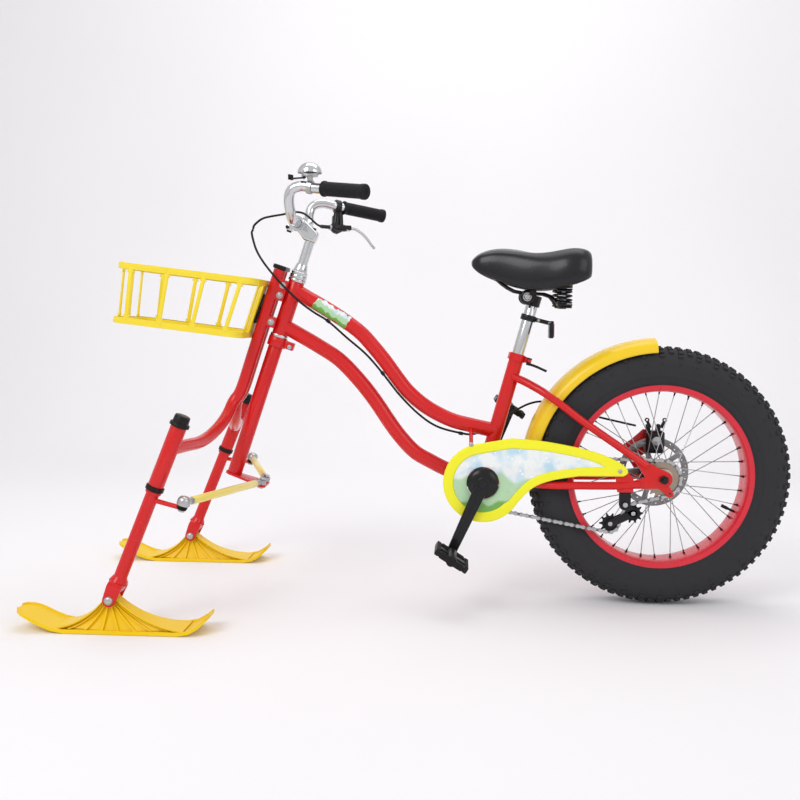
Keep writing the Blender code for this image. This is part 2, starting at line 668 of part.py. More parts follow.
def steering_column():
    """Column with the clamp under the headset, the steerer, the lock nut, the pitman plate and its bolts."""
    lower = rod(steer(PITMAN_HEIGHT), steer(CLAMP_BOTTOM + 0.002), COLUMN_RADIUS, ROUND)
    steerer = rod(steer(CLAMP_BOTTOM), steer(STEERER_TOP), STEERER_RADIUS, ROUND)
    collar = rod(steer(CLAMP_BOTTOM), steer(CLAMP_TOP), CLAMP_RADIUS, ROUND)
    nut = rod(steer(LOCKNUT_BOTTOM), steer(LOCKNUT_BOTTOM + LOCKNUT_HEIGHT), LOCKNUT_RADIUS, 8)
    ear_length = CLAMP_EAR_REACH - 0.012
    ear_height = CLAMP_HEIGHT - 0.006
    ear = block((ear_length, CLAMP_EAR_HALF * 2, ear_height),
                steer(CLAMP_BOTTOM + ear_height / 2 + 0.001, -CLAMP_EAR_REACH + ear_length / 2),
                STEER_UP, STEER_AHEAD)
    outline = arc((0, 0), 0.023, -75, 75, 6)
    outline += arc((-ARM_BACK, ARM_SIDE), PITMAN_ROUND, 70, 180, 4)
    outline += arc((-ARM_BACK, -ARM_SIDE), PITMAN_ROUND, 180, 290, 4)
    pitman = plate([outline], PITMAN_THICKNESS, steer(PITMAN_HEIGHT), STEER_UP, STEER_AHEAD)
    middle = (CLAMP_BOTTOM + CLAMP_TOP) / 2
    slot = block((0.028, 0.002, 0.04), steer(middle, -0.036), STEER_UP, STEER_AHEAD)
    quill = hole(steer(QUILL_BOTTOM - 0.004), steer(STEERER_TOP + 0.01), STEM_RADIUS + FIT, ROUND)
    body = cut(union(lower, steerer, collar, nut, ear, pitman), quill, slot)
    screw_seat = CLAMP_EAR_HALF - JOIN
    screw = bolt(steer(middle - 0.002, CLAMP_SCREW_AHEAD, -screw_seat),
                 steer(middle - 0.002, CLAMP_SCREW_AHEAD, screw_seat), CLAMP_SCREW_RADIUS, 0.0058, 0.004)
    low = JOIN - PITMAN_THICKNESS / 2
    high = TIE_LIFT + ROD_END_HEIGHT / 2 + RUN
    rod_bolts = [bolt(pitman_place(sign, high), pitman_place(sign, low), STUD_RADIUS, 0.0078, 0.0045)
                 for sign in (-1, 1)]
    return union(body, screw, *rod_bolts)


# Legs, ball joints and tie rods
RING_TOP = SLEEVE_BOTTOM - FIT
RING_BOTTOM = RING_TOP - RING_HEIGHT
SLEEVE_TOP = SLEEVE_BOTTOM + SLEEVE_LENGTH
BALL_HEIGHT = 0.2488        # along the leg
ARM_ROOT = 0.222
ARM_RADIUS = 0.0050
BOSS_GAP = 0.0013
BOSS_HEIGHT = 0.008
BOSS_OUTER = 0.0085
CROWN_BOTTOM = 0.022
CROWN_HEIGHT = 0.013
CHEEK_RADIUS = 0.013
CHEEK_INNER = HUB_HALF_WIDTH + RUN


def ball_place(lift=0.0):
    """Middle of the far ball joint, or a place above it along the stud."""
    return leg(1, BALL_HEIGHT, -ARM_BACK, ARM_SIDE) + STEER_UP * lift


BOSS_TOP = -ROD_END_HEIGHT / 2 - BOSS_GAP


def lower_leg():
    """Far leg: tube, collar under the bush, fork with the ski's bolt and steering arm with the ball stud."""
    body = rod(leg(1, CROWN_BOTTOM + 0.002), leg(1, SLEEVE_TOP + 0.014), LEG_RADIUS, ROUND)
    collar = rod(leg(1, RING_BOTTOM - RUN - 0.006), leg(1, RING_BOTTOM - RUN), SLEEVE_RADIUS, ROUND)
    crown = block((CHEEK_RADIUS * 2 + 0.004, (CHEEK_INNER + FORK_CHEEK) * 2, CROWN_HEIGHT),
                  leg(1, CROWN_BOTTOM + CROWN_HEIGHT / 2), LEG_UP, LEG_AHEAD)
    cheeks = []
    for side in (-1, 1):
        near = side * CHEEK_INNER
        out = side * (CHEEK_INNER + FORK_CHEEK)
        round_end = arc((0, 0), CHEEK_RADIUS, 180, 360, 5)
        outline = round_end + [(CHEEK_RADIUS, CROWN_BOTTOM + 0.004), (-CHEEK_RADIUS, CROWN_BOTTOM + 0.004)]
        cheeks.append(plate([outline], FORK_CHEEK, leg(1, 0, 0, (near + out) / 2), SIDEWAYS, LEG_AHEAD))
    arm = rod(leg(1, ARM_ROOT), ball_place(BOSS_TOP - ARM_RADIUS), ARM_RADIUS, 8)
    boss = rod(ball_place(BOSS_TOP - BOSS_HEIGHT), ball_place(BOSS_TOP), BOSS_OUTER, 8)
    stud = bolt(ball_place(-BOSS_TOP), ball_place(BOSS_TOP - BOSS_HEIGHT + JOIN), STUD_RADIUS, 0.0072, 0.005)
    reach = CHEEK_INNER + FORK_CHEEK - JOIN
    pivot = bolt(leg(1, 0, 0, -reach), leg(1, 0, 0, reach), SKI_BOLT_RADIUS, 0.0085, 0.0055)
    fork = union(crown, *cheeks, pivot)
    arm = union(arm, boss, stud)
    return union(body, collar, fork, arm)


def tie_rod():
    """Far tie rod with the housing of a ball joint at each end."""
    inner = pitman_place(1, TIE_LIFT)
    outer = ball_place()
    along = (outer - inner).normalized()
    half = STEER_UP * (ROD_END_HEIGHT / 2)
    bar = rod(inner + along * 0.006, outer - along * 0.006, ROD_RADIUS, 8)
    eyes = [rod(place - half, place + half, ROD_END_RADIUS, 10) for place in (inner, outer)]
    holes = [hole(place - half * 2, place + half * 2, STUD_RADIUS + clearance, 8)
             for place, clearance in ((inner, RUN), (outer, BALL_CLEARANCE))]
    return cut(union(bar, *eyes), *holes)


def leg_bush():
    """Plastic bush through the far sleeve, its ring below and its stepped cap over the leg's end."""
    base = SLEEVE_TOP + FIT
    top = base + LEG_CAP_HEIGHT
    profile = [(0, top), (0.0145, top), (0.0165, top - 0.003), (0.0170, base + 0.008),
               (LEG_CAP_RADIUS, base + 0.007), (LEG_CAP_RADIUS, base), (LINER_RADIUS, base),
               (LINER_RADIUS, RING_TOP), (LEG_RING_RADIUS, RING_TOP), (LEG_RING_RADIUS, RING_BOTTOM),
               (LEG_BORE, RING_BOTTOM), (LEG_BORE, top - 0.005), (0, top - 0.005)]
    return turned(profile, leg(1, 0), LEG_UP, ROUND)


# Skis
SKI_SECTIONS = [(-SKI_TIP_REACH, 0.014, 0.0365), (-1.346, 0.027, 0.0350), (-1.334, 0.0380, 0.0315),
                (-1.310, SKI_HALF_WIDTH, 0.0215), (-1.270, SKI_HALF_WIDTH, 0.0045),
                (-1.245, SKI_HALF_WIDTH, 0), (-1.010, SKI_HALF_WIDTH, 0), (-0.989, SKI_HALF_WIDTH, 0.0040),
                (-0.968, 0.0425, 0.0165), (-0.955, 0.0345, 0.0285), (-SKI_TAIL_REACH, 0.0210, 0.0330)]
SKI_LIP = 0.0035
SKI_LIP_WIDTH = 0.004
FAN_HALF_THICKNESS = 0.009
FAN_FRONT = [(-1.262, 0.0043), (-1.228, 0.0150), (-1.198, 0.0290), (-1.178, 0.0460)]
FAN_REAR = [(-1.137, 0.0460), (-1.112, 0.0290), (-1.065, 0.0150), (-0.990, 0.0043)]
HUB_OUTER = 0.0125


def ski():
    """Far ski: sole with edge lips, the upright fan over it and the hub at its top."""
    sections = []
    for x, half, z in SKI_SECTIONS:
        inner = half - SKI_LIP_WIDTH
        top = z + SKI_THICKNESS
        outline = [(-half, z), (half, z), (half, top + SKI_LIP), (inner, top + SKI_LIP), (inner, top),
                   (-inner, top), (-inner, top + SKI_LIP), (-half, top + SKI_LIP)]
        sections.append([P(x, LEG_SIDE + y, height) for y, height in outline])
    sole = loft(sections)
    hub_round = arc((PIVOT_X, PIVOT_Z), 0.0155, 205, -25, 7)
    fan = side_plate([FAN_FRONT + hub_round + FAN_REAR], FAN_HALF_THICKNESS * 2, LEG_SIDE)
    hub = rod(P(PIVOT_X, LEG_SIDE - HUB_HALF_WIDTH, PIVOT_Z), P(PIVOT_X, LEG_SIDE + HUB_HALF_WIDTH, PIVOT_Z),
              HUB_OUTER, 10)
    bolt_hole = hole(leg(1, 0, 0, -0.04), leg(1, 0, 0, 0.04), SKI_BOLT_RADIUS + RUN, 8)
    return cut(union(sole, fan, hub), bolt_hole)


# Basket
BASKET_BACK = Vector((math.cos(BASKET_TILT), 0, -math.sin(BASKET_TILT)))
BASKET_UP = Vector((math.sin(BASKET_TILT), 0, math.cos(BASKET_TILT)))
BASKET_AHEAD = CLAMP_FRONT + BASKET_STANDOFF
BASKET_CORNER = 0.028
RIM_HEIGHT = 0.014
FLOOR_LIFT = 0.003
FLOOR_THICKNESS = 0.004
BAR_WIDTH = 0.009
SIDE_BARS = 4
FRONT_BARS = 3
FLOOR_SLOTS = 4
SLOT_PITCH = 0.048
SLOT_HALF_WIDTH = 0.017
SLOT_INSET = 0.028          # from both ends of the floor
PANEL_HALF_WIDTH = 0.036
BASKET_BOLTS = (0.3566, 0.4006)
BASKET_BOLT_RADIUS = 0.0032


def basket_length(height):
    """Length from the front to the rear wall, which is parallel to the posts."""
    front = P(BASKET_FRONT_X, 0, BASKET_FLOOR_Z) + BASKET_UP * height
    ahead = (front - steer(0)).dot(STEER_AHEAD)
    return (BASKET_AHEAD - ahead) / BASKET_BACK.dot(STEER_AHEAD)


def basket_place(back, side, height):
    return P(BASKET_FRONT_X, side, BASKET_FLOOR_Z) + BASKET_BACK * back + BASKET_UP * height


def rounded(length, half_width, inset, corner):
    """Rounded rectangle from x 0 to length, drawn in by an inset."""
    radius = corner - inset
    right = length - corner
    side = half_width - corner
    return (arc((right, side), radius, 90, 0, 2) + arc((right, -side), radius, 0, -90, 2)
            + arc((corner, -side), radius, -90, -180, 3) + arc((corner, side), radius, 180, 90, 3))


def basket_rim(height):
    length = basket_length(height + RIM_HEIGHT / 2)
    outer = rounded(length, BASKET_HALF_WIDTH, 0, BASKET_CORNER)
    inner = rounded(length, BASKET_HALF_WIDTH, BASKET_WALL, BASKET_CORNER)
    return plate([outer, inner], RIM_HEIGHT, basket_place(0, 0, height), BASKET_UP, BASKET_BACK)


def basket_bar(low, high, outward):
    """Upright bar between the rims; outward is the way its thin side faces."""
    along = high - low
    return block((BASKET_WALL - 0.001, BAR_WIDTH, along.length), (low + high) / 2, along, outward)


def basket_floor():
    """Floor plate with long slots."""
    length = basket_length(FLOOR_LIFT)
    outline = rounded(length, BASKET_HALF_WIDTH, BASKET_WALL / 2, BASKET_CORNER)
    slots = []
    for i in range(FLOOR_SLOTS):
        y = (i - (FLOOR_SLOTS - 1) / 2) * SLOT_PITCH
        low, high = y - SLOT_HALF_WIDTH, y + SLOT_HALF_WIDTH
        slots.append([(SLOT_INSET, low), (length - SLOT_INSET, low), (length - SLOT_INSET, high),
                      (SLOT_INSET, high)])
    return plate([outline, *slots], FLOOR_THICKNESS, basket_place(0, 0, FLOOR_LIFT), BASKET_UP, BASKET_BACK)


def basket():
    """Open basket: two rims, uprights, slotted floor and the rear panel for the bolts."""
    low = RIM_HEIGHT / 2
    high = BASKET_HEIGHT - RIM_HEIGHT / 2
    wall = BASKET_WALL / 2
    pieces = [basket_rim(low), basket_floor()]
    end = BASKET_CORNER + 0.008
    for side in (-1, 1):
        y = side * (BASKET_HALF_WIDTH - wall)
        for i in range(SIDE_BARS):
            share = i / (SIDE_BARS - 1)
            feet = [basket_place(end + share * (basket_length(h) - 2 * end), y, h) for h in (low, high)]
            pieces.append(basket_bar(feet[0], feet[1], SIDEWAYS))
    for i in range(FRONT_BARS):
        y = (i - (FRONT_BARS - 1) / 2) * 0.064
        pieces.append(basket_bar(basket_place(wall, y, low), basket_place(wall, y, high), BASKET_BACK))
    for y in (-0.076, 0.076):
        pieces.append(basket_bar(basket_place(basket_length(low) - wall - 0.001, y, low),
                                 basket_place(basket_length(high) - wall - 0.001, y, high), BASKET_BACK))
    pieces.append(basket_rim(high))
    panel_bottom = (basket_place(basket_length(0), 0, 0.002) - steer(0)).dot(STEER_UP)
    panel_top = (basket_place(basket_length(high), 0, high) - steer(0)).dot(STEER_UP)
    pieces.append(block((BASKET_WALL - 0.001, PANEL_HALF_WIDTH * 2, panel_top - panel_bottom),
                        steer((panel_top + panel_bottom) / 2, BASKET_AHEAD + wall), STEER_UP, STEER_AHEAD))
    holes = [hole(steer(height, BASKET_AHEAD - 0.01), steer(height, BASKET_AHEAD + 0.02),
                  BASKET_BOLT_RADIUS + FIT, 6) for height in BASKET_BOLTS]
    return cut(union(*pieces), *holes)


def basket_strap():
    """Strap between the basket's rear panel and the post clamps, with the basket's two bolts."""
    thickness = BASKET_STANDOFF - 2 * FIT
    outline = [(-0.026, 0.345), (0.026, 0.345), (0.026, 0.368), (0.014, 0.414), (-0.014, 0.414),
               (-0.026, 0.368)]
    flat = [(height - 0.38, side) for side, height in outline]
    strap = plate([flat], thickness, steer(0.38, CLAMP_FRONT + FIT + thickness / 2), STEER_AHEAD, STEER_UP)
    pieces = [strap]
    for height in BASKET_BOLTS:
        head = steer(height, BASKET_AHEAD + BASKET_WALL + FIT)
        pieces.append(rod(steer(height, CLAMP_FRONT + FIT + thickness / 2), head + STEER_AHEAD * JOIN,
                          BASKET_BOLT_RADIUS, 6))
        pieces.append(rod(head, head + STEER_AHEAD * 0.004, 0.0075, 6))
    return union(*pieces)


# Rear wheel
BEAD_RADIUS = RIM_BED_RADIUS + 0.0005
BEAD_Y = 0.0342
TREAD_FLAT = 0.0110         # half width of the flat middle of the tread
TYRE_SECTION_RADIUS = TYRE_RADIUS - TYRE_HALF_HEIGHT


def both_sides(half):
    """Profile mirrored about the wheel's middle, from its +Y end to its -Y end."""
    return half + [(radius, -y) for radius, y in reversed(half)]


def tyre():
    """Fat tyre, open to the rim between its beads."""
    outer = [(BEAD_RADIUS, BEAD_Y), (TYRE_SECTION_RADIUS, TYRE_HALF_WIDTH),
             (0.2760, 0.0375), (TYRE_RADIUS, TREAD_FLAT)]
    inner = [(BEAD_RADIUS, BEAD_Y - TYRE_WALL), (TYRE_SECTION_RADIUS, TYRE_HALF_WIDTH - TYRE_WALL),
             (TYRE_RADIUS - TYRE_WALL * 1.2, TREAD_FLAT)]
    profile = both_sides(outer) + both_sides(inner)[::-1]
    return turned(profile + profile[:1], AXLE, SIDEWAYS, WHEEL_SEGMENTS)


def rim():
    """Rim channel with its flanges."""
    outer = [(RIM_OUTER_RADIUS, RIM_HALF_WIDTH), (RIM_OUTER_RADIUS, RIM_HALF_WIDTH - RIM_FLANGE),
             (RIM_BED_RADIUS, BEAD_Y + 0.0008)]
    inner = [(0.1955, RIM_HALF_WIDTH - 0.001), (RIM_INNER_RADIUS, 0.0290)]
    profile = both_sides(outer) + both_sides(inner)[::-1]
    return turned(profile + profile[:1], AXLE, SIDEWAYS, WHEEL_SEGMENTS)


SPOKE_TILT = math.radians(62)       # lead of a spoke's hub end before its rim end
SPOKE_RIM_RADIUS = RIM_INNER_RADIUS * math.cos(math.pi / WHEEL_SEGMENTS) - SPOKE_RADIUS
SPOKE_ROOT_RADIUS = FLANGE_RADIUS * 0.85
SPOKE_SPREAD = 0.0017


def wheel_place(radius, angle, y):
    return AXLE + Vector((radius * math.cos(angle), y, radius * math.sin(angle)))


def spokes():
    """Crossed spokes, half of them from each hub flange, leading and trailing in turn."""
    made = []
    for i in range(SPOKE_COUNT):
        side = 1 if i % 2 else -1
        lead = 1 if i % 4 < 2 else -1
        rim_angle = 2 * math.pi * i / SPOKE_COUNT
        root = wheel_place(SPOKE_ROOT_RADIUS, rim_angle + lead * SPOKE_TILT,
                           side * (FLANGE_Y - lead * SPOKE_SPREAD))
        made.append(rod(root, wheel_place(SPOKE_RIM_RADIUS, rim_angle, side * 0.003), SPOKE_RADIUS, 3))
    return made


HUB_BORE = 0.0058
ROTOR_FACE = ROTOR_Y - ROTOR_THICKNESS / 2
HUB_NEAR_END = -0.0357
FLANGE_HALF = 0.0030


def spoked_hub():
    """Hub with the rotor's seat and two flanges, and the spokes that they hold."""
    seat_y = ROTOR_FACE - FIT
    profile = [(HUB_BORE, seat_y), (0.0200, seat_y), (0.0200, FLANGE_Y + FLANGE_HALF),
               (FLANGE_RADIUS, FLANGE_Y + FLANGE_HALF), (FLANGE_RADIUS, FLANGE_Y - FLANGE_HALF),
               (HUB_RADIUS, FLANGE_Y - FLANGE_HALF), (HUB_RADIUS, -FLANGE_Y + FLANGE_HALF),
               (FLANGE_RADIUS, -FLANGE_Y + FLANGE_HALF), (FLANGE_RADIUS, -FLANGE_Y - FLANGE_HALF),
               (0.0160, HUB_NEAR_END), (HUB_BORE, HUB_NEAR_END), (HUB_BORE, seat_y)]
    return union(turned(profile, AXLE, SIDEWAYS, 10), *spokes())


ROTOR_WINDOWS = 5


def rotor():
    """Brake disc with windows between its ring and its spider."""
    holes = [circle((0, TYRE_RADIUS), HUB_BORE + 0.002, 10)]
    for i in range(ROTOR_WINDOWS):
        middle = 360 * i / ROTOR_WINDOWS
        outside = arc((0, TYRE_RADIUS), 0.065, middle - 27, middle + 27, 3)
        inside = arc((0, TYRE_RADIUS), 0.030, middle + 18, middle - 18, 2)
        holes.append(outside + inside)
    return side_plate([circle((0, TYRE_RADIUS), ROTOR_RADIUS, 24), *holes], ROTOR_THICKNESS, ROTOR_Y)


AXLE_END = 0.086
NUT_START = DROPOUT_INNER_Y + DROPOUT_THICKNESS + FIT
NUT_HEIGHT = 0.008
NUT_RADIUS = 0.0098
SPACER_RADIUS = 0.0080
NEAR_SPACER = 0.0653


def hub_axle():
    """Fixed axle with its spacers against the inside of both dropouts and its nuts outside."""
    far_spacer = ROTOR_Y + ROTOR_THICKNESS / 2 + RUN
    inner = DROPOUT_INNER_Y - FIT
    profile = [(0, AXLE_END), (AXLE_RADIUS, AXLE_END), (AXLE_RADIUS, inner), (SPACER_RADIUS, inner),
               (SPACER_RADIUS, far_spacer), (AXLE_RADIUS, far_spacer), (AXLE_RADIUS, -NEAR_SPACER),
               (SPACER_RADIUS, -NEAR_SPACER), (SPACER_RADIUS, -inner), (AXLE_RADIUS, -inner),
               (AXLE_RADIUS, -AXLE_END), (0, -AXLE_END)]
    nuts = [rod(AXLE + SIDEWAYS * side * NUT_START, AXLE + SIDEWAYS * side * (NUT_START + NUT_HEIGHT),
                NUT_RADIUS, 6) for side in (-1, 1)]
    return union(turned(profile, AXLE, SIDEWAYS, 8), *nuts)


# Drive train
def pitch_radius(teeth):
    return CHAIN_PITCH / (2 * math.sin(math.pi / teeth))


TOOTH_HEIGHT = 0.0030


def sprocket(teeth, centre, y, thickness, sides):
    """Disc as large as the sprocket's tooth tips."""
    reach = pitch_radius(teeth) + TOOTH_HEIGHT
    return rod(P(centre[0], y - thickness / 2, centre[1]), P(centre[0], y + thickness / 2, centre[1]),
               reach, sides)


AXLE_PLACE = (0, TYRE_RADIUS)
BB_PLACE = (BB_X, BB_Z)
FREEWHEEL_BORE = SPACER_RADIUS + 0.0012
FREEWHEEL_BODY_RADIUS = 0.0230


def freewheel():
    """Freewheel body with its three cogs."""
    inner_y = HUB_NEAR_END - RUN
    outer_y = CHAIN_Y - COG_SPACING * (len(FREEWHEEL_TEETH) - 1)
    body = rod(AXLE + SIDEWAYS * outer_y, AXLE + SIDEWAYS * inner_y, FREEWHEEL_BODY_RADIUS, 12)
    cogs = [sprocket(teeth, AXLE_PLACE, CHAIN_Y - i * COG_SPACING, COG_THICKNESS, 14)
            for i, teeth in enumerate(FREEWHEEL_TEETH)]
    bore = hole(AXLE - SIDEWAYS * 0.1, AXLE, FREEWHEEL_BORE, 8)
    return cut(union(body, *cogs), bore)


CHAINRING_THICKNESS = 0.0022
CRANK_OUT = CRANK_Y + CRANK_THICKNESS / 2
BOSS_HEIGHT_CRANK = 0.0045
CRANK_WAY = Vector((math.cos(CRANK_ANGLE), 0, math.sin(CRANK_ANGLE)))
SPIDER_RADIUS = 0.020


def crank_spindle():
    """Spindle through the bottom bracket with the chainring on its near end."""
    end = CRANK_OUT + 0.002
    spindle = rod(BB - SIDEWAYS * end, BB + SIDEWAYS * end, SPINDLE_RADIUS, 12)
    ring_disc = sprocket(CHAINRING_TEETH, BB_PLACE, CHAIN_Y, CHAINRING_THICKNESS, 20)
    carrier = rod(BB + SIDEWAYS * (CHAIN_Y + 0.004), BB + SIDEWAYS * (CHAIN_Y - 0.006), SPIDER_RADIUS, 12)
    return union(spindle, ring_disc, carrier)


def crank(sign):
    """Crank arm with its pedal spindle; the near one carries the round cover of its boss."""
    way = CRANK_WAY if sign < 0 else -CRANK_WAY
    start = math.degrees(math.atan2(way.z, way.x))
    foot = (BB_X + way.x * CRANK_LENGTH, BB_Z + way.z * CRANK_LENGTH)
    outline = arc(BB_PLACE, 0.0165, start + 100, start + 260, 6) + arc(foot, 0.0115, start - 80, start + 80, 5)
    arm = side_plate([outline], CRANK_THICKNESS, sign * CRANK_Y)
    spindle = rod(pedal_place(sign, CRANK_Y), pedal_place(sign, PEDAL_INNER + PEDAL_WIDTH - 0.004),
                  PEDAL_SPINDLE_RADIUS, 8)
    pieces = [arm, spindle]
    if sign < 0:
        inner = -CRANK_Y + CRANK_THICKNESS / 2
        pieces.append(rod(BB + SIDEWAYS * (inner + 0.0020), BB + SIDEWAYS * (inner - BOSS_HEIGHT_CRANK),
                          BOSS_RADIUS, 14))
    bore = hole(BB + SIDEWAYS * sign * 0.07, BB + SIDEWAYS * sign * 0.11, SPINDLE_RADIUS + FIT, 12)
    return cut(union(*pieces), bore)


PEDAL_INNER = 0.1025


def pedal_place(sign, y):
    way = CRANK_WAY if sign < 0 else -CRANK_WAY
    return BB + way * CRANK_LENGTH + SIDEWAYS * sign * y


def pedal(sign):
    """Platform pedal with four windows around its spindle."""
    back = Vector((math.cos(PEDAL_TILT), 0, -math.sin(PEDAL_TILT)))
    top = Vector((math.sin(PEDAL_TILT), 0, math.cos(PEDAL_TILT)))
    middle = PEDAL_INNER + PEDAL_WIDTH / 2
    body = block((PEDAL_LENGTH, PEDAL_WIDTH, PEDAL_THICKNESS), pedal_place(sign, middle), top, back)
    windows = [block((0.022, 0.030, 0.06), pedal_place(sign, middle + y) + back * x, top, back)
               for x in (-0.0215, 0.0215) for y in (-0.020, 0.020)]
    bore = hole(pedal_place(sign, PEDAL_INNER - 0.01), pedal_place(sign, PEDAL_INNER + PEDAL_WIDTH + 0.01),
                PEDAL_SPINDLE_RADIUS + RUN, 8)
    return cut(body, *windows, bore)


def bottom_bracket():
    """Bearing cartridge in the shell, with a flange outside each end."""
    bore = (SPINDLE_RADIUS + RUN) / math.cos(math.pi / ROUND)
    body = BB_SHELL_RADIUS - SHELL_WALL - FIT * 1.2
    flange = BB_SHELL_RADIUS - 0.001
    end = BB_HALF_WIDTH + FIT
    outside = end + 0.0045
    profile = [(bore, outside), (flange, outside), (flange, end), (body, end), (body, -end), (flange, -end),
               (flange, -outside), (bore, -outside), (bore, outside)]
    return turned(profile, BB, SIDEWAYS, ROUND)


def flat_direction(angle):
    return math.cos(angle), math.sin(angle)


def chain_route():
    """Middle line of the chain, counter-clockwise from the near side, around all four wheels."""
    stops = [(BB_PLACE, pitch_radius(CHAINRING_TEETH), 1), (TENSION_PULLEY, pitch_radius(PULLEY_TEETH), 1),
             (GUIDE_PULLEY, pitch_radius(PULLEY_TEETH), -1), (AXLE_PLACE, pitch_radius(FREEWHEEL_TEETH[0]), 1)]
    ways = []
    for (c1, r1, s1), (c2, r2, s2) in zip(stops, stops[1:] + stops[:1]):
        across = (c2[0] - c1[0], c2[1] - c1[1])
        ways.append(math.atan2(across[1], across[0]) - math.asin((s2 * r2 - s1 * r1) / math.hypot(*across)))
    route = []
    for i, (centre, radius, sense) in enumerate(stops):
        start = ways[i - 1] - sense * math.pi / 2
        turn = (sense * (ways[i] - ways[i - 1])) % (2 * math.pi)
        steps = max(2, round(turn / math.radians(40)))
        for k in range(steps + 1):
            angle = start + sense * turn * k / steps
            x, z = flat_direction(angle)
            route.append((centre[0] + radius * x, centre[1] + radius * z, (x * sense, z * sense)))
    return route


CHAIN_PIN_SHARES = (0.35, 0.65)


def chain():
    """Chain as two bands of side plates, pinned together in its straight runs."""
    route = chain_route()
    edges = [[(x + offset * n[0], z + offset * n[1]) for x, z, n in route]
             for offset in (CHAIN_HALF_HEIGHT, -CHAIN_HALF_HEIGHT)]
    reach = (CHAIN_INNER_GAP + CHAIN_PLATE) / 2
    pieces = [side_plate(edges, CHAIN_PLATE, CHAIN_Y + side * reach) for side in (-1, 1)]
    places = [(x, z) for x, z, _ in route]
    longest = sorted(range(len(places)), key=lambda i: -math.dist(places[i - 1], places[i]))[:2]
    for i in longest:
        for share in CHAIN_PIN_SHARES:
            x = places[i - 1][0] * (1 - share) + places[i][0] * share
            z = places[i - 1][1] * (1 - share) + places[i][1] * share
            pieces.append(rod(P(x, CHAIN_Y - reach, z), P(x, CHAIN_Y + reach, z), 0.0022, 6))
    return union(*pieces)


# Chain tensioner
HANGER_THICKNESS = 0.0036
HANGER_Y = TAB_Y + TAB_THICKNESS / 2 + FIT + HANGER_THICKNESS / 2
HANGER_HALF_WIDTH = 0.013
HANGER_TOP = 0.2672
CAGE_THICKNESS = 0.0015
CAGE_NEAR_Y = -0.0616
CAGE_FAR_Y = -0.0474
CAGE_ROUND = 0.010
CAGE_BOLT_RADIUS = 0.0045
PULLEY_PIN_RADIUS = 0.0035
PULLEY_THICKNESS = 0.0022


def tensioner_hanger():
    """Plate inside the red tab with the pivot bolt that carries the chain tensioner."""
    x, z = CAGE_PIVOT
    outline = arc(CAGE_PIVOT, HANGER_HALF_WIDTH, 180, 360, 7)
    outline += [(x + HANGER_HALF_WIDTH, HANGER_TOP), (x - HANGER_HALF_WIDTH, HANGER_TOP)]
    outside = HANGER_Y - HANGER_THICKNESS / 2
    inside = CAGE_NEAR_Y + CAGE_THICKNESS / 2 + 0.0005
    return union(side_plate([outline], HANGER_THICKNESS, HANGER_Y),
                 rod(P(x, HANGER_Y, z), P(x, inside, z), CAGE_BOLT_RADIUS, 10),
                 rod(P(x, outside - 0.0045, z), P(x, outside + 0.001, z), 0.0080, 6))


def hull_outline(places, radius):
    """Rounded outline around three or two places, listed counter-clockwise."""
    outline = []
    for before, place, after in zip(places[-1:] + places[:-1], places, places[1:] + places[:1]):
        arrive = math.degrees(math.atan2(place[1] - before[1], place[0] - before[0])) - 90
        leave = math.degrees(math.atan2(after[1] - place[1], after[0] - place[0])) - 90
        outline += arc(place, radius, arrive, arrive + (leave - arrive) % 360, 4)
    return outline


def tensioner_cage():
    """Cage plates on both sides of the pulleys, joined by the pulley pins."""
    near_outline = hull_outline([TENSION_PULLEY, GUIDE_PULLEY, CAGE_PIVOT], CAGE_ROUND)
    bolt_hole = circle(CAGE_PIVOT, (CAGE_BOLT_RADIUS + RUN) / math.cos(math.pi / 10), 10)
    near = side_plate([near_outline, bolt_hole], CAGE_THICKNESS, CAGE_NEAR_Y)
    far = side_plate([hull_outline([TENSION_PULLEY, GUIDE_PULLEY], CAGE_ROUND * 0.8)], CAGE_THICKNESS,
                     CAGE_FAR_Y)
    pins = [rod(P(x, CAGE_NEAR_Y - 0.0015, z), P(x, CAGE_FAR_Y + 0.0015, z), PULLEY_PIN_RADIUS, 8)
            for x, z in (TENSION_PULLEY, GUIDE_PULLEY)]
    return union(near, far, *pins)


def pulley(place):
    """Jockey pulley with its hub between the cage plates."""
    x, z = place
    disc = sprocket(PULLEY_TEETH, place, CHAIN_Y, PULLEY_THICKNESS, 12)
    low = CAGE_NEAR_Y + CAGE_THICKNESS / 2 + RUN
    high = CAGE_FAR_Y - CAGE_THICKNESS / 2 - RUN
    hub = rod(P(x, low, z), P(x, high, z), 0.0080, 10)
    bore = hole(P(x, low - 0.01, z), P(x, high + 0.01, z), PULLEY_PIN_RADIUS + RUN, 8)
    return cut(union(hub, disc), bore)


# Chain guard
GUARD_FRONT_SCREW = (GUARD_STAY_X, GUARD_STAY_Z)
GUARD_TOP = [(-0.334, 0.380), (-0.262, 0.374), (-0.188, 0.361), (-0.142, 0.349), (-0.104, 0.333),
             (-0.083, 0.318), (-0.079, 0.306), (-0.090, 0.299)]
GUARD_LOWER = [(-0.186, 0.298), (-0.242, 0.288), (-0.278, 0.275), (-0.300, 0.258), (-0.318, 0.238)]
PANEL_TOP = [(-0.334, 0.362), (-0.262, 0.357), (-0.190, 0.345), (-0.150, 0.334), (-0.122, 0.321)]
PANEL_LOWER = [(-0.186, 0.313), (-0.246, 0.303), (-0.288, 0.286), (-0.314, 0.262), (-0.333, 0.238)]
PANEL_END_RADIUS = 0.0690
GUARD_HOLE = 0.0360
GUARD_SCREW_RADIUS = 0.0052
GUARD_SCREW_HEIGHT = 0.0025


def guard_outline():
    return arc(BB_PLACE, GUARD_END_RADIUS, 320, 100, 12) + GUARD_TOP + GUARD_LOWER


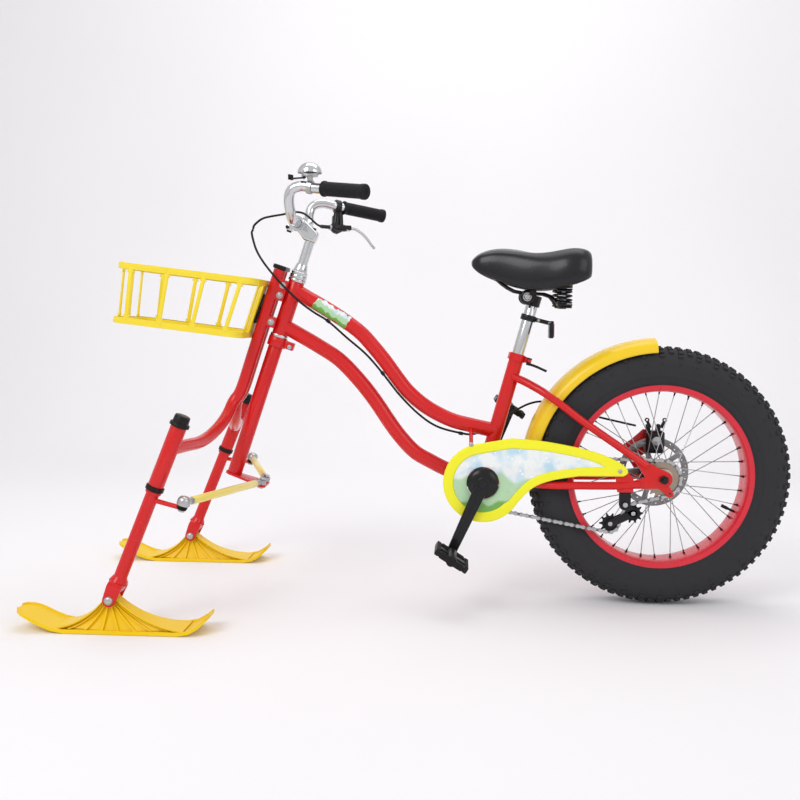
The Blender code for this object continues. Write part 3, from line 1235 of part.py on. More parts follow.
def panel_outline():
    """Outline of the recess for the printed panel."""
    return arc(BB_PLACE, PANEL_END_RADIUS, 318, 102, 9) + PANEL_TOP + PANEL_LOWER


def chain_guard():
    """Guard plate with a raised rim around the recess for its printed panel, and its two screws."""
    outer_y = GUARD_INNER_Y - GUARD_THICKNESS
    body = side_plate([guard_outline(), circle(BB_PLACE, GUARD_HOLE, 14)], GUARD_THICKNESS,
                      (GUARD_INNER_Y + outer_y) / 2)
    recess = side_plate([panel_outline()], PANEL_RECESS * 2, outer_y)
    heads = [rod(P(x, outer_y - GUARD_SCREW_HEIGHT, z), P(x, outer_y + JOIN, z), GUARD_SCREW_RADIUS, 8)
             for x, z in (GUARD_REAR_SCREW, GUARD_FRONT_SCREW)]
    return union(cut(body, recess), *heads)


# Fender
FENDER_STEPS = 10
FENDER_SECTION = [(-FENDER_HALF_WIDTH, FENDER_EDGE_DROP), (-0.041, 0.011), (-0.022, 0.003), (0, 0),
                  (0.022, 0.003), (0.041, 0.011), (FENDER_HALF_WIDTH, FENDER_EDGE_DROP)]


def fender():
    """Curved fender over the wheel's upper front with the boss that seats on the seatstay bridge."""
    mesh = bpy.data.meshes.new("fender")
    mesh.from_pydata([(FENDER_RADIUS - drop, 0, y) for y, drop in FENDER_SECTION],
                     [(i, i + 1) for i in range(len(FENDER_SECTION) - 1)], [])
    obj = add_object("fender", mesh)
    screw = obj.modifiers.new("sweep", "SCREW")
    screw.angle = FENDER_FRONT - FENDER_REAR
    screw.steps = FENDER_STEPS
    screw.render_steps = FENDER_STEPS
    shell = obj.modifiers.new("wall", "SOLIDIFY")
    shell.thickness = FENDER_THICKNESS
    shell.offset = 0
    front_way = Vector((math.cos(FENDER_FRONT), 0, math.sin(FENDER_FRONT)))
    obj.matrix_world = oriented(AXLE, SIDEWAYS, front_way)
    body = outward(bake(obj))
    bridge = P(BRIDGE[0], 0, BRIDGE[1])
    way = (bridge - AXLE).normalized()
    boss = rod(AXLE + way * (FENDER_RADIUS - 0.0005), bridge - way * (BRIDGE_RADIUS + FIT), 0.006, 8)
    return union(body, boss)


def outward(obj):
    """Object with its faces turned outwards."""
    bm = bmesh.new()
    bm.from_mesh(obj.data)
    bmesh.ops.recalc_face_normals(bm, faces=bm.faces)
    bm.to_mesh(obj.data)
    bm.free()
    return obj


# Disc caliper
CALIPER_INNER_Y = 0.0345
CALIPER_OUTER_Y = CALIPER_TAB_Y - CALIPER_TAB_THICKNESS / 2 - FIT
ARM_PIVOT = (0.010, 0.362)
CALIPER_ARM_LENGTH = 0.0345
CALIPER_ARM_THICKNESS = 0.003
CABLE_STOP = (-0.013, 0.0610, 0.3965)


def caliper_body():
    """Caliper over the rotor's edge, with its cable stop."""
    middle_y = (CALIPER_INNER_Y + CALIPER_OUTER_Y) / 2
    width = CALIPER_OUTER_Y - CALIPER_INNER_Y
    body = block((0.042, width, 0.052), P(0.001, middle_y, 0.3625), UP, ALONG, 0.005)
    stop = block((0.010, 0.0096, 0.020), P(*CABLE_STOP) - UP * 0.005)
    slot = hole(P(0, ROTOR_Y - 0.003, TYRE_RADIUS), P(0, ROTOR_Y + 0.003, TYRE_RADIUS), ROTOR_RADIUS + 0.002, 24)
    return cut(union(body, stop), slot)


def caliper_arm():
    """Arm that the brake cable pulls, with the clamp for the wire."""
    x, z = ARM_PIVOT
    tip = (x + 0.002, z + CALIPER_ARM_LENGTH)
    inner = CALIPER_OUTER_Y + RUN
    plate_y = inner + CALIPER_ARM_THICKNESS / 2
    outline = hull_outline([ARM_PIVOT, tip], 0.0060)
    arm = side_plate([outline], CALIPER_ARM_THICKNESS, plate_y)
    hub = rod(P(x, inner, z), P(x, inner + CALIPER_ARM_THICKNESS + 0.002, z), 0.0088, 10)
    clamp = rod(P(tip[0], CABLE_STOP[1] - 0.003, tip[1]), P(tip[0], inner + 0.006, tip[1]), 0.0038, 6)
    return union(arm, hub, clamp)


# Stem and handlebar
STEM_HEAD_RADIUS = 0.0125
STEM_TOP = 0.597
BAR_CLAMP_RADIUS = 0.0175
BAR_CLAMP_HALF = 0.020
PINCH_AHEAD = 0.0545
PINCH_HEIGHT = 0.5725
BAR_CENTRE = steer(BAR_HEIGHT, BAR_FORWARD)
GRIP_START = P(-0.741, 0.172, 0.910)
GRIP_END = P(-0.640, 0.235, 0.895)
GRIP_WAY = (GRIP_END - GRIP_START).normalized()
GRIP_LENGTH = (GRIP_END - GRIP_START).length
GRIP_CAP = 0.004
GRIP_STEPS = 10
BAR_BENDS = [(-0.8215, 0.062, 0.8535), (-0.8185, 0.105, 0.8525), (-0.8180, 0.132, 0.8660),
             (-0.8190, 0.146, 0.8920), (-0.8115, 0.1505, 0.9110), (-0.7900, 0.1540, 0.9180)]
BAR_RINGS = 23
STRAIGHT_START = -0.024     # along the grip's line, where the bar's straight end begins
PINCH_EAR = (0.016, 0.024, 0.020)
PINCH_BOLT_RADIUS = 0.0030


def stem():
    """Quill stem with its head and expander bolt, and the clamp for the bar with its pinch bolt."""
    quill = rod(steer(QUILL_BOTTOM), steer(STEM_TOP - 0.006), STEM_RADIUS, ROUND)
    head = rod(steer(BAR_HEIGHT - 0.032), steer(STEM_TOP), STEM_HEAD_RADIUS, ROUND)
    neck = rod(steer(BAR_HEIGHT - 0.014, -0.004), BAR_CENTRE, STEM_HEAD_RADIUS * 1.06, 10)
    clamp = rod(BAR_CENTRE - SIDEWAYS * BAR_CLAMP_HALF, BAR_CENTRE + SIDEWAYS * BAR_CLAMP_HALF,
                BAR_CLAMP_RADIUS, ROUND)
    ear = block(PINCH_EAR, steer(PINCH_HEIGHT, PINCH_AHEAD - 0.002), STEER_UP, STEER_AHEAD)
    bore = hole(BAR_CENTRE - SIDEWAYS * 0.03, BAR_CENTRE + SIDEWAYS * 0.03, BAR_RADIUS + FIT, ROUND)
    reach = PINCH_EAR[1] / 2 - JOIN
    pinch = bolt(steer(PINCH_HEIGHT, PINCH_AHEAD, -reach), steer(PINCH_HEIGHT, PINCH_AHEAD, reach),
                 PINCH_BOLT_RADIUS, 0.0062, 0.0050)
    expander = rod(steer(STEM_TOP - JOIN), steer(STEM_TOP + 0.006), 0.0075, 6)
    return union(cut(union(quill, head, neck, clamp, ear), bore), pinch, expander)


def grip_place(along, sign=1):
    place = GRIP_START + GRIP_WAY * along
    return Vector((place.x, sign * place.y, place.z))


def bar_path():
    """Places along the bar: its bends smoothed, its ends straight inside the grips."""
    side = [BAR_CENTRE + SIDEWAYS * 0.030] + [P(*bend) for bend in BAR_BENDS] + [grip_place(STRAIGHT_START)]
    other = [Vector((place.x, -place.y, place.z)) for place in reversed(side)]
    end = GRIP_LENGTH - GRIP_CAP - FIT
    return [grip_place(end, -1)] + smooth_path(other + side, BAR_RINGS) + [grip_place(end)]


def straight_on(path, target, margin):
    """Place and direction on the path's straight stretch nearest to a target, clear of its bends."""
    best = None
    for start, end in zip(path, path[1:]):
        length = (end - start).length
        way = (end - start) / length
        at = min(max((target - start).dot(way), margin), length - margin)
        place = start + way * at
        if length > 2 * margin and (best is None or (place - target).length < best[0]):
            best = ((place - target).length, place, way)
    return best[1], best[2]


def handlebar():
    return tube(bar_path(), BAR_RADIUS, 2)


def grip():
    """Far grip, a sleeve closed at its end."""
    bore = (BAR_RADIUS + FIT) / math.cos(math.pi / GRIP_STEPS)
    profile = [(0, GRIP_LENGTH), (GRIP_RADIUS - 0.003, GRIP_LENGTH), (GRIP_RADIUS, GRIP_LENGTH - 0.004),
               (GRIP_RADIUS - 0.0008, 0.010), (GRIP_RADIUS + 0.0015, 0.005), (GRIP_RADIUS + 0.0015, 0),
               (bore, 0), (bore, GRIP_LENGTH - GRIP_CAP), (0, GRIP_LENGTH - GRIP_CAP)]
    return turned(profile, GRIP_START, GRIP_WAY, GRIP_STEPS)


# Bell
BELL_X = -0.772
BELL_SIDE = -0.1590
BELL_BAR_Z = 0.9150
BELL_RADIUS = 0.0260
BELL_TOP = 0.967
BELL_HEIGHT = 0.0230
BELL_WALL = 0.0016
BELL_DISC_Z = 0.9405
BELL_LEVER_PIVOT = (-0.014, 0.008)
BELL_LEVER_REACH = 0.034


BELL_PIN_RADIUS = 0.0015
BELL_DISC_THICKNESS = 0.003
COLLAR_HALF = 0.005         # half length of the collars on the bar


def bell_place(up, x=0.0, y=0.0):
    return P(BELL_X + x, BELL_SIDE + y, up)


def bell_base():
    """Bar clamp, pillar, disc, the post that holds the dome and the lever's pin."""
    centre, along = straight_on(bar_path(), bell_place(BELL_BAR_Z), COLLAR_HALF)
    collar = rod(centre - along * COLLAR_HALF, centre + along * COLLAR_HALF, BAR_RADIUS + 0.0035, 12)
    under = BELL_DISC_Z - BELL_DISC_THICKNESS
    pillar = rod(centre + UP * 0.0125, bell_place(under + 0.001), 0.0060, 8)
    disc = rod(bell_place(under), bell_place(BELL_DISC_Z), 0.0180, 12)
    post = rod(bell_place(BELL_DISC_Z - 0.001), bell_place(BELL_TOP - BELL_WALL - 0.0012), 0.0030, 6)
    pin = rod(bell_place(under + 0.001, *BELL_LEVER_PIVOT), bell_place(under - 0.005, *BELL_LEVER_PIVOT),
              BELL_PIN_RADIUS, 6)
    bore = hole(centre - along * 0.02, centre + along * 0.02, BAR_RADIUS + FIT, 12)
    return cut(union(collar, pillar, disc, post, pin), bore)


def bell_dome():
    low = BELL_TOP - BELL_HEIGHT
    outer = [(0, BELL_HEIGHT)]
    inner = []
    for degrees in (28, 56, 90):
        angle = math.radians(degrees)
        outer.append((BELL_RADIUS * math.sin(angle), BELL_HEIGHT * math.cos(angle)))
        inner.append(((BELL_RADIUS - BELL_WALL) * math.sin(angle), (BELL_HEIGHT - BELL_WALL) * math.cos(angle)))
    return turned(outer + inner[::-1] + [(0, BELL_HEIGHT - BELL_WALL)], bell_place(low), UP, 14)


def bell_lever():
    """Thumb lever under the bell's disc."""
    thickness = 0.0025
    middle = BELL_DISC_Z - BELL_DISC_THICKNESS - RUN - thickness / 2
    reach = (-BELL_LEVER_REACH * 0.9, BELL_LEVER_REACH * 0.43)
    pin_hole = circle((0, 0), (BELL_PIN_RADIUS + RUN) / math.cos(math.pi / 6), 6)
    centre = bell_place(middle, *BELL_LEVER_PIVOT)
    arm = plate([hull_outline([(0, 0), reach], 0.0042), pin_hole], thickness, centre, UP, ALONG)
    tip = centre + Vector((reach[0], reach[1], 0.003))
    return union(arm, block((0.004, 0.014, 0.011), tip, UP, Vector((reach[0], reach[1], 0))))


# Brake lever
LEVER_COLLAR = -0.0150     # along the bar, before the far grip's start
LEVER_PIVOT = P(-0.7270, 0.1700, 0.8600)
BLADE_TIP = P(-0.6640, 0.2140, 0.8140)
BLADE_RADIUS = 0.0032
ADJUSTER_START = P(-0.7570, 0.1540, 0.8600)
ADJUSTER_TIP = P(-0.7890, 0.1310, 0.8610)
LEVER_PIN = Vector((-0.25, -0.43, -0.87)).cross(GRIP_WAY).normalized()
LEVER_PIN_RADIUS = 0.0025
LEVER_SLOT_HALF = 0.0052
LEVER_SLOT_RADIUS = 0.0125


def lever_bracket():
    """Brake lever perch: bar collar, forked body with the pivot pin and barrel adjuster."""
    centre = grip_place(LEVER_COLLAR)
    collar = rod(centre - GRIP_WAY * COLLAR_HALF, centre + GRIP_WAY * COLLAR_HALF, BAR_RADIUS + 0.0045, 12)
    neck = rod(centre + (LEVER_PIVOT - centre).normalized() * (BAR_RADIUS + 0.002),
               LEVER_PIVOT.lerp(ADJUSTER_START, 0.6), 0.0070, 8)
    body = rod(LEVER_PIVOT - (ADJUSTER_START - LEVER_PIVOT).normalized() * 0.005, ADJUSTER_START, 0.0085, 8)
    barrel = rod(ADJUSTER_START.lerp(ADJUSTER_TIP, -0.1), ADJUSTER_TIP, 0.0046, 8)
    bore = hole(centre - GRIP_WAY * 0.02, centre + GRIP_WAY * 0.02, BAR_RADIUS + FIT, 12)
    half = LEVER_PIN * LEVER_SLOT_HALF
    slot = rod(LEVER_PIVOT - half, LEVER_PIVOT + half, LEVER_SLOT_RADIUS, 14)
    pin = rod(LEVER_PIVOT - LEVER_PIN * 0.007, LEVER_PIVOT + LEVER_PIN * 0.007, LEVER_PIN_RADIUS, 6)
    return union(cut(union(collar, neck, body, barrel), bore, slot), pin)


def lever_blade():
    """Brake lever blade, curved below the grip."""
    way = (BLADE_TIP - LEVER_PIVOT).normalized()
    middle = LEVER_PIVOT.lerp(BLADE_TIP, 0.5) - LEVER_PIN.cross(way) * 0.004
    blade = tube(smooth_path([LEVER_PIVOT + way * 0.004, middle, BLADE_TIP], 7), BLADE_RADIUS, 2)
    half = LEVER_PIN * (LEVER_SLOT_HALF - RUN)
    hub = rod(LEVER_PIVOT - half, LEVER_PIVOT + half, 0.0072, 10)
    pin_hole = hole(LEVER_PIVOT - half * 3, LEVER_PIVOT + half * 3, LEVER_PIN_RADIUS + RUN, 6)
    return cut(union(hub, blade), pin_hole)


# Brake cable
CABLE_STEERING = [(-0.7902, 0.1302, 0.8610), (-0.7990, 0.1180, 0.8660), (-0.8090, 0.0950, 0.8760),
                  (-0.8220, 0.0650, 0.8850), (-0.8400, 0.0400, 0.8850), (-0.8620, 0.0180, 0.8770),
                  (-0.8850, 0.0020, 0.8710), (-0.9040, -0.0100, 0.8640)]
CABLE_FRAME = [(-0.9160, -0.0230, 0.7970), (-0.9000, -0.0310, 0.7700), (-0.8780, -0.0400, 0.7430),
               (-0.8550, -0.0440, 0.7180), (-0.8310, -0.0370, 0.6930), (-0.8090, -0.0250, 0.6720),
               (-0.7820, -0.0130, 0.6520), (-0.7530, -0.0080, 0.6340), (-0.7090, -0.0060, 0.5960),
               (-0.6650, -0.0060, 0.5590), (-0.6270, -0.0060, 0.5160), (-0.5870, -0.0120, 0.4670),
               (-0.5410, -0.0100, 0.4220), (-0.4990, -0.0050, 0.3950), (-0.4470, 0.0000, 0.3810),
               (-0.4200, 0.0080, 0.3780), (-0.3920, 0.0240, 0.3860), (-0.3600, 0.0340, 0.4060),
               (-0.3160, 0.0400, 0.4340), (-0.2860, 0.0540, 0.4470), (-0.2580, 0.0730, 0.4500),
               (-0.2250, 0.0815, 0.4430), (-0.1850, 0.0830, 0.4320), (-0.1280, 0.0780, 0.4160),
               (-0.0770, 0.0700, 0.4050), (-0.0400, 0.0630, 0.3975)]
STEERING_POINTS = 12
FRAME_POINTS = 40
CABLE_GAP = 0.0020          # between a cable's end face and what it meets


def cable_split_place():
    """Where the cable passes from the handlebar's side to the frame's, heading down."""
    return steer(CABLE_SPLIT, 0.1285, -0.0175)


def steering_cable_path():
    end = cable_split_place() + STEER_UP * (CABLE_GAP / 2)
    return smooth_path([P(*place) for place in CABLE_STEERING] + [end + STEER_UP * 0.010, end], STEERING_POINTS)


def frame_cable_path():
    start = cable_split_place() - STEER_UP * (CABLE_GAP / 2)
    stop = P(CABLE_STOP[0] - 0.005 - CABLE_GAP, CABLE_STOP[1], CABLE_STOP[2])
    route = [start, start - STEER_UP * 0.010] + [P(*place) for place in CABLE_FRAME]
    return smooth_path(route + [stop - ALONG * 0.008, stop], FRAME_POINTS)


# Seat post and its collar
COLLAR_HEIGHT = 0.015
COLLAR_RADIUS = 0.0205
POST_TOP_HEIGHT = 0.132     # above the seat tube's top
EAR_HALF = 0.008
QR_HEIGHT = -0.0085
QR_BACK = 0.0275
QR_SIDE = -0.0138
QR_LENGTH = 0.044
QR_ROD_RADIUS = 0.0025
QR_PIN_RADIUS = 0.0014
QR_EYE_HALF = 0.0030
QR_HUB_RADIUS = 0.0048


def seat_post():
    """Chromed seat post, from inside the seat tube up to the saddle clamp."""
    return rod(seat(-SEAT_POST_LENGTH / 2), seat(POST_TOP_HEIGHT), SEAT_POST_RADIUS, ROUND)


def qr_place(height=0.0, back=0.0, side=0.0):
    """Place given from the quick-release lever's hinge."""
    return seat(QR_HEIGHT + height, QR_BACK + back, QR_SIDE + side)


def seat_collar():
    """Split collar around the seat tube's top, its ears to the rear, with the rod, nut and eye for the lever."""
    low = -COLLAR_HEIGHT - 0.001
    high = -0.001
    band = rod(seat(low), seat(high), COLLAR_RADIUS, ROUND)
    ears = block((0.018, EAR_HALF * 2, COLLAR_HEIGHT - 0.002), seat((low + high) / 2, COLLAR_RADIUS + 0.004),
                 SEAT_UP, SEAT_BACK)
    bore = hole(seat(low - 0.01), seat(high + 0.01), SEAT_TUBE_RADIUS + FIT, ROUND)
    slot = block((0.04, 0.002, 0.04), seat(low, COLLAR_RADIUS + 0.015), SEAT_UP, SEAT_BACK)
    far_face = EAR_HALF - QR_SIDE
    shaft = rod(qr_place(), qr_place(side=far_face + 0.0045), QR_ROD_RADIUS, 8)
    nut = rod(qr_place(side=far_face - JOIN), qr_place(side=far_face + 0.006), 0.0062, 8)
    eye = rod(qr_place(-QR_EYE_HALF), qr_place(QR_EYE_HALF), 0.0040, 8)
    pin_hole = hole(qr_place(-0.01), qr_place(0.01), QR_PIN_RADIUS + RUN, 6)
    return cut(union(cut(union(band, ears), bore, slot), shaft, nut, eye), pin_hole)


def qr_lever():
    """Quick-release lever, a fork and pin around the rod's eye with a curved handle to the rear."""
    hub = rod(qr_place(-0.0105), qr_place(0.0065), QR_HUB_RADIUS, 10)
    gap = rod(qr_place(-QR_EYE_HALF - RUN), qr_place(QR_EYE_HALF + RUN), QR_HUB_RADIUS * 1.4, 10)
    pin = rod(qr_place(-0.005), qr_place(0.005), QR_PIN_RADIUS, 6)
    handle = tube(smooth_path([qr_place(-0.0072, 0.002, -0.001), qr_place(-0.0080, 0.018, -0.0040),
                               qr_place(-0.0120, QR_LENGTH, -0.0020)], 5), 0.0032, 1)
    return union(cut(hub, gap), pin, handle)


# Saddle
CLAMP_X = -0.2925
CLAMP_Z = 0.700
BARREL_RADIUS = 0.0105
RAIL_SIDE = 0.021
RAIL_RADIUS = 0.0035
RAIL_POINTS = 27
SPRING_X = -0.2235
SPRING_SIDE = 0.056
SPRING_BOTTOM = 0.6760
SPRING_TOP = 0.7105
SPRING_COIL_RADIUS = 0.0150
SPRING_WIRE_RADIUS = 0.0023
SPRING_TURNS = 4
SPRING_POINTS = 8           # for each turn
CUP_RIM = SPRING_COIL_RADIUS + SPRING_WIRE_RADIUS
BASE_GAP = 0.0003
# Each row of the saddle: x, half width, lowest edge, top at the sides, top in the middle
SADDLE_ROWS = [(-0.4260, 0.014, 0.7530, 0.7700, 0.7750), (-0.4080, 0.026, 0.7450, 0.7820, 0.7920),
               (-0.3750, 0.034, 0.7330, 0.7860, 0.8010), (-0.3300, 0.047, 0.7160, 0.7850, 0.8010),
               (-0.2850, 0.071, 0.7080, 0.7810, 0.7950), (-0.2400, 0.094, 0.7110, 0.7850, 0.7910),
               (-0.2000, 0.101, 0.7190, 0.7880, 0.7900), (-0.1680, 0.086, 0.7350, 0.7750, 0.7790)]
BASE_SHARE = 0.86           # width of the base shell beside the cushion's width
BASE_THICKNESS = 0.007
BASE_ARCH = 0.0045          # rise of the base shell's underside between its side walls
RAIL_NOSE_Z = 0.7335 + BASE_ARCH - RAIL_RADIUS - FIT


def saddle_section(x, half, low, side_top, top):
    """Closed outline across the cushion: flat below, drawn in at the foot, crowned on top."""
    foot = low + BASE_THICKNESS + BASE_GAP
    belly = foot + (side_top - foot) * 0.45
    right = [(half * 0.88, foot), (half * 0.95, belly), (half, side_top - 0.010),
             (half * 0.84, side_top), (half * 0.42, (side_top + top) / 2 + 0.002)]
    outline = [(0, foot)] + right + [(0, top)] + [(-y, z) for y, z in reversed(right)]
    return [P(x, y, z) for y, z in outline]


def saddle_pad():
    """Cushion with its crown and drawn-in sides."""
    return loft([saddle_section(*row) for row in SADDLE_ROWS], 1)


def saddle_base():
    """Base shell under the cushion, following its lower edge, with the springs' upper cups."""
    sections = []
    for x, half, low, _, _ in SADDLE_ROWS[1:]:
        width = half * BASE_SHARE
        right = [(width * 0.78, low + BASE_ARCH), (width * 0.84, low), (width * 0.96, low),
                 (width, low + BASE_THICKNESS)]
        sections.append([P(x, y, z) for y, z in right + [(-y, z) for y, z in reversed(right)]])
    cups = [rod(P(SPRING_X, side * SPRING_SIDE, SPRING_TOP + FIT), P(SPRING_X, side * SPRING_SIDE, 0.7205),
                CUP_RIM, 10) for side in (-1, 1)]
    return union(loft(sections), *cups)


def rail_path():
    """Places along the rail wire, from the near spring through the clamp and the nose to the far spring."""
    foot = SPRING_BOTTOM - 0.0062
    half = [(-0.2080, 0.060, foot), (SPRING_X, SPRING_SIDE, foot), (-0.2320, 0.044, foot),
            (-0.2440, 0.029, 0.6880), (-0.2600, RAIL_SIDE, 0.6975), (CLAMP_X, RAIL_SIDE, CLAMP_Z),
            (-0.3300, RAIL_SIDE, 0.7040), (-0.3600, 0.0155, 0.7215), (-0.3745, 0.011, RAIL_NOSE_Z)]
    near = [P(x, -y, z) for x, y, z in half]
    far = [P(x, y, z) for x, y, z in reversed(half)]
    return smooth_path(near + [P(-0.3810, 0, RAIL_NOSE_Z)] + far, RAIL_POINTS)


def saddle_rails():
    """Rail wire with the lower cups of both springs."""
    cups = []
    for side in (-1, 1):
        top = P(SPRING_X, side * SPRING_SIDE, SPRING_BOTTOM - FIT)
        cups.append(rod(top - UP * 0.004, top, CUP_RIM, 10))
    return union(tube(rail_path(), RAIL_RADIUS, 1), *cups)


def spring_route():
    """Places along the far spring's helix, its ends flattened into closed turns."""
    places = []
    count = SPRING_TURNS * SPRING_POINTS
    low = SPRING_BOTTOM + SPRING_WIRE_RADIUS
    high = SPRING_TOP - SPRING_WIRE_RADIUS
    for i in range(count + 1):
        angle = 2 * math.pi * i / SPRING_POINTS
        rise = low + (high - low) * i / count
        places.append(P(SPRING_X + SPRING_COIL_RADIUS * math.cos(angle),
                        SPRING_SIDE + SPRING_COIL_RADIUS * math.sin(angle), rise))
    return places


def least_coil_gap():
    """Smallest gap between one turn of the spring's wire and the next."""
    places = spring_route()
    least = min((b - a).length for i, a in enumerate(places)
                for b in places[i + SPRING_POINTS - 1:])
    return least - 2 * SPRING_WIRE_RADIUS


def saddle_spring():
    return tube(spring_route(), SPRING_WIRE_RADIUS, 1)


def saddle_clamp():
    """Clamp on the seat post: a sleeve with a cross barrel around the rails, and its nuts."""
    top = seat(POST_TOP_HEIGHT)
    low = seat(POST_TOP_HEIGHT - 0.020)
    end = RAIL_SIDE + 0.008
    sleeve = rod(low, top + SEAT_UP * 0.004, SEAT_POST_RADIUS + 0.0035, ROUND)
    barrel = rod(P(CLAMP_X, -end, CLAMP_Z), P(CLAMP_X, end, CLAMP_Z), BARREL_RADIUS, 12)
    nuts = [rod(P(CLAMP_X, side * (end - 0.001), CLAMP_Z), P(CLAMP_X, side * (end + 0.006), CLAMP_Z), 0.0070, 6)
            for side in (-1, 1)]
    post = hole(low - SEAT_UP * 0.01, top + SEAT_UP * FIT, SEAT_POST_RADIUS + FIT, ROUND)
    path = rail_path()
    channels = []
    for side in (-1, 1):
        inside = [i for i, place in enumerate(path)
                  if abs(place.x - AXLE_X - CLAMP_X) < BARREL_RADIUS + 0.004 and side * place.y > 0]
        stretch = path[inside[0] - 1:inside[-1] + 2]
        channels.append(tube(stretch, (RAIL_RADIUS + FIT) / math.cos(math.pi / 6), 1))
    return cut(union(sleeve, barrel, *nuts), post, *channels)


REFLECTOR_HEIGHT = 0.083    # of its clamp above the seat tube's top
REFLECTOR_PLACE = P(-0.2490, 0, 0.6180)
REFLECTOR_RADIUS = 0.0175
REFLECTOR_DEPTH = 0.008
REFLECTOR_WAY = Vector((math.cos(math.radians(9.8)), 0, -math.sin(math.radians(9.8))))


def reflector():
    """Reflector with the arm and the clamp that hold it behind the seat post."""
    band = rod(seat(REFLECTOR_HEIGHT - 0.006), seat(REFLECTOR_HEIGHT + 0.006), SEAT_POST_RADIUS + 0.0030, ROUND)
    arm = block((0.032, 0.010, 0.004), seat(REFLECTOR_HEIGHT, SEAT_POST_RADIUS + 0.0175), SEAT_UP, SEAT_BACK)
    disc = rod(REFLECTOR_PLACE - REFLECTOR_WAY * (REFLECTOR_DEPTH / 2),
               REFLECTOR_PLACE + REFLECTOR_WAY * (REFLECTOR_DEPTH / 2), REFLECTOR_RADIUS, ROUND)
    bore = hole(seat(REFLECTOR_HEIGHT - 0.02), seat(REFLECTOR_HEIGHT + 0.02), SEAT_POST_RADIUS + FIT, ROUND)
    neck = rod(seat(REFLECTOR_HEIGHT, SEAT_POST_RADIUS + 0.028), REFLECTOR_PLACE, 0.004, 6)
    return cut(union(band, arm, neck, disc), bore)


# Nodes, each with the place of the joint that its body turns or slides on
FRAME = P(-AXLE_X, 0, 0)
STEER_JOINT = steer(0)
SEAT_JOINT = seat(0)

FRAME_NODES = [("front_frame", front_frame, RED), ("rear_frame", rear_frame, RED),
               ("post_cap", post_cap, BLACK), ("basket", basket, YELLOW),
               ("basket_strap", basket_strap, DARK_STEEL), ("hub_axle", hub_axle, STEEL),
               ("bottom_bracket", bottom_bracket, DARK_STEEL), ("chain", chain, STEEL),
               ("tensioner_hanger", tensioner_hanger, DARK_STEEL), ("chain_guard", chain_guard, LEMON),
               ("fender", fender, YELLOW), ("caliper_body", caliper_body, DARK_STEEL),
               ("seat_collar", seat_collar, DARK_STEEL)]
STEERING_NODES = [("steering_column", steering_column, RED), ("stem", stem, CHROME),
                  ("handlebar", handlebar, CHROME), ("bell_base", bell_base, STEEL),
                  ("bell_dome", bell_dome, CHROME), ("lever_bracket", lever_bracket, BLACK)]
WHEEL_NODES = [("tyre", tyre, RUBBER), ("rim", rim, DARK_RED), ("spoked_hub", spoked_hub, ALLOY),
               ("rotor", rotor, STEEL), ("freewheel", freewheel, STEEL)]
SADDLE_NODES = [("seat_post", seat_post, CHROME), ("saddle_pad", saddle_pad, VINYL),
                ("saddle_base", saddle_base, BLACK), ("saddle_rails", saddle_rails, DARK_STEEL),
                ("saddle_clamp", saddle_clamp, DARK_STEEL), ("reflector", reflector, REFLECTOR)]
for nodes, joint in ((FRAME_NODES, FRAME), (STEERING_NODES, STEER_JOINT), (WHEEL_NODES, AXLE),
                     (SADDLE_NODES, SEAT_JOINT)):
    for name, make, finish in nodes:
        part(name, make(), finish, joint)

part("cable_steering", tube(steering_cable_path(), CABLE_RADIUS, 2), RUBBER, STEER_JOINT)
part("cable_frame", tube(frame_cable_path(), CABLE_RADIUS, 2), RUBBER, FRAME)
part("bell_lever", bell_lever(), BLACK, bell_place(BELL_DISC_Z, *BELL_LEVER_PIVOT))
part("lever_blade", lever_blade(), ALLOY, LEVER_PIVOT)
part("qr_lever", qr_lever(), STEEL, qr_place())
part("crank_spindle", crank_spindle(), DARK_STEEL, BB)
part("tensioner_cage", tensioner_cage(), BLACK, P(CAGE_PIVOT[0], 0, CAGE_PIVOT[1]))
part("guide_pulley", pulley(GUIDE_PULLEY), BLACK, P(GUIDE_PULLEY[0], CHAIN_Y, GUIDE_PULLEY[1]))
part("tension_pulley", pulley(TENSION_PULLEY), BLACK, P(TENSION_PULLEY[0], CHAIN_Y, TENSION_PULLEY[1]))
part("caliper_arm", caliper_arm(), STEEL, P(ARM_PIVOT[0], CALIPER_OUTER_Y, ARM_PIVOT[1]))

for name, span in zip(("upper_post_clamp", "lower_post_clamp"), POST_CLAMPS):
    part(name, post_clamp(*span), RED, FRAME)
PAIRS = [("leg", lower_leg, RED, leg(-1, 0), leg(1, 0)), ("ski", ski, ORANGE_YELLOW, leg(-1, 0), leg(1, 0)),
         ("tie_rod", tie_rod, PALE_YELLOW, pitman_place(-1, 0), pitman_place(1, 0)),
         ("ski_frame", ski_frame, RED, FRAME, FRAME), ("leg_bush", leg_bush, BLACK, FRAME, FRAME),
         ("grip", grip, RUBBER, STEER_JOINT, STEER_JOINT),
         ("saddle_spring", saddle_spring, DARK_STEEL, SEAT_JOINT, SEAT_JOINT)]
for name, make, finish, near_joint, far_joint in PAIRS:
    far = make()
    part(name + "_near", mirrored(far), finish, near_joint)
    part(name + "_far", far, finish, far_joint)
for side, sign in (("near", -1), ("far", 1)):
    part("crank_" + side, crank(sign), BLACK, BB)
    part("pedal_" + side, pedal(sign), BLACK, pedal_place(sign, PEDAL_INNER))

print("least gap between the turns of a saddle spring: %.2f mm" % (least_coil_gap() * 1000))
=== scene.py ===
"""Snow bike with steered skis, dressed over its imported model.

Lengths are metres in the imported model's frame: +X to the rear, +Y away from the chain, +Z up.
"""
from __future__ import annotations

import json
import logging
import math
from dataclasses import dataclass
from enum import Enum
from typing import Iterable, Sequence

import bmesh
import bpy
from mathutils import Matrix, Vector

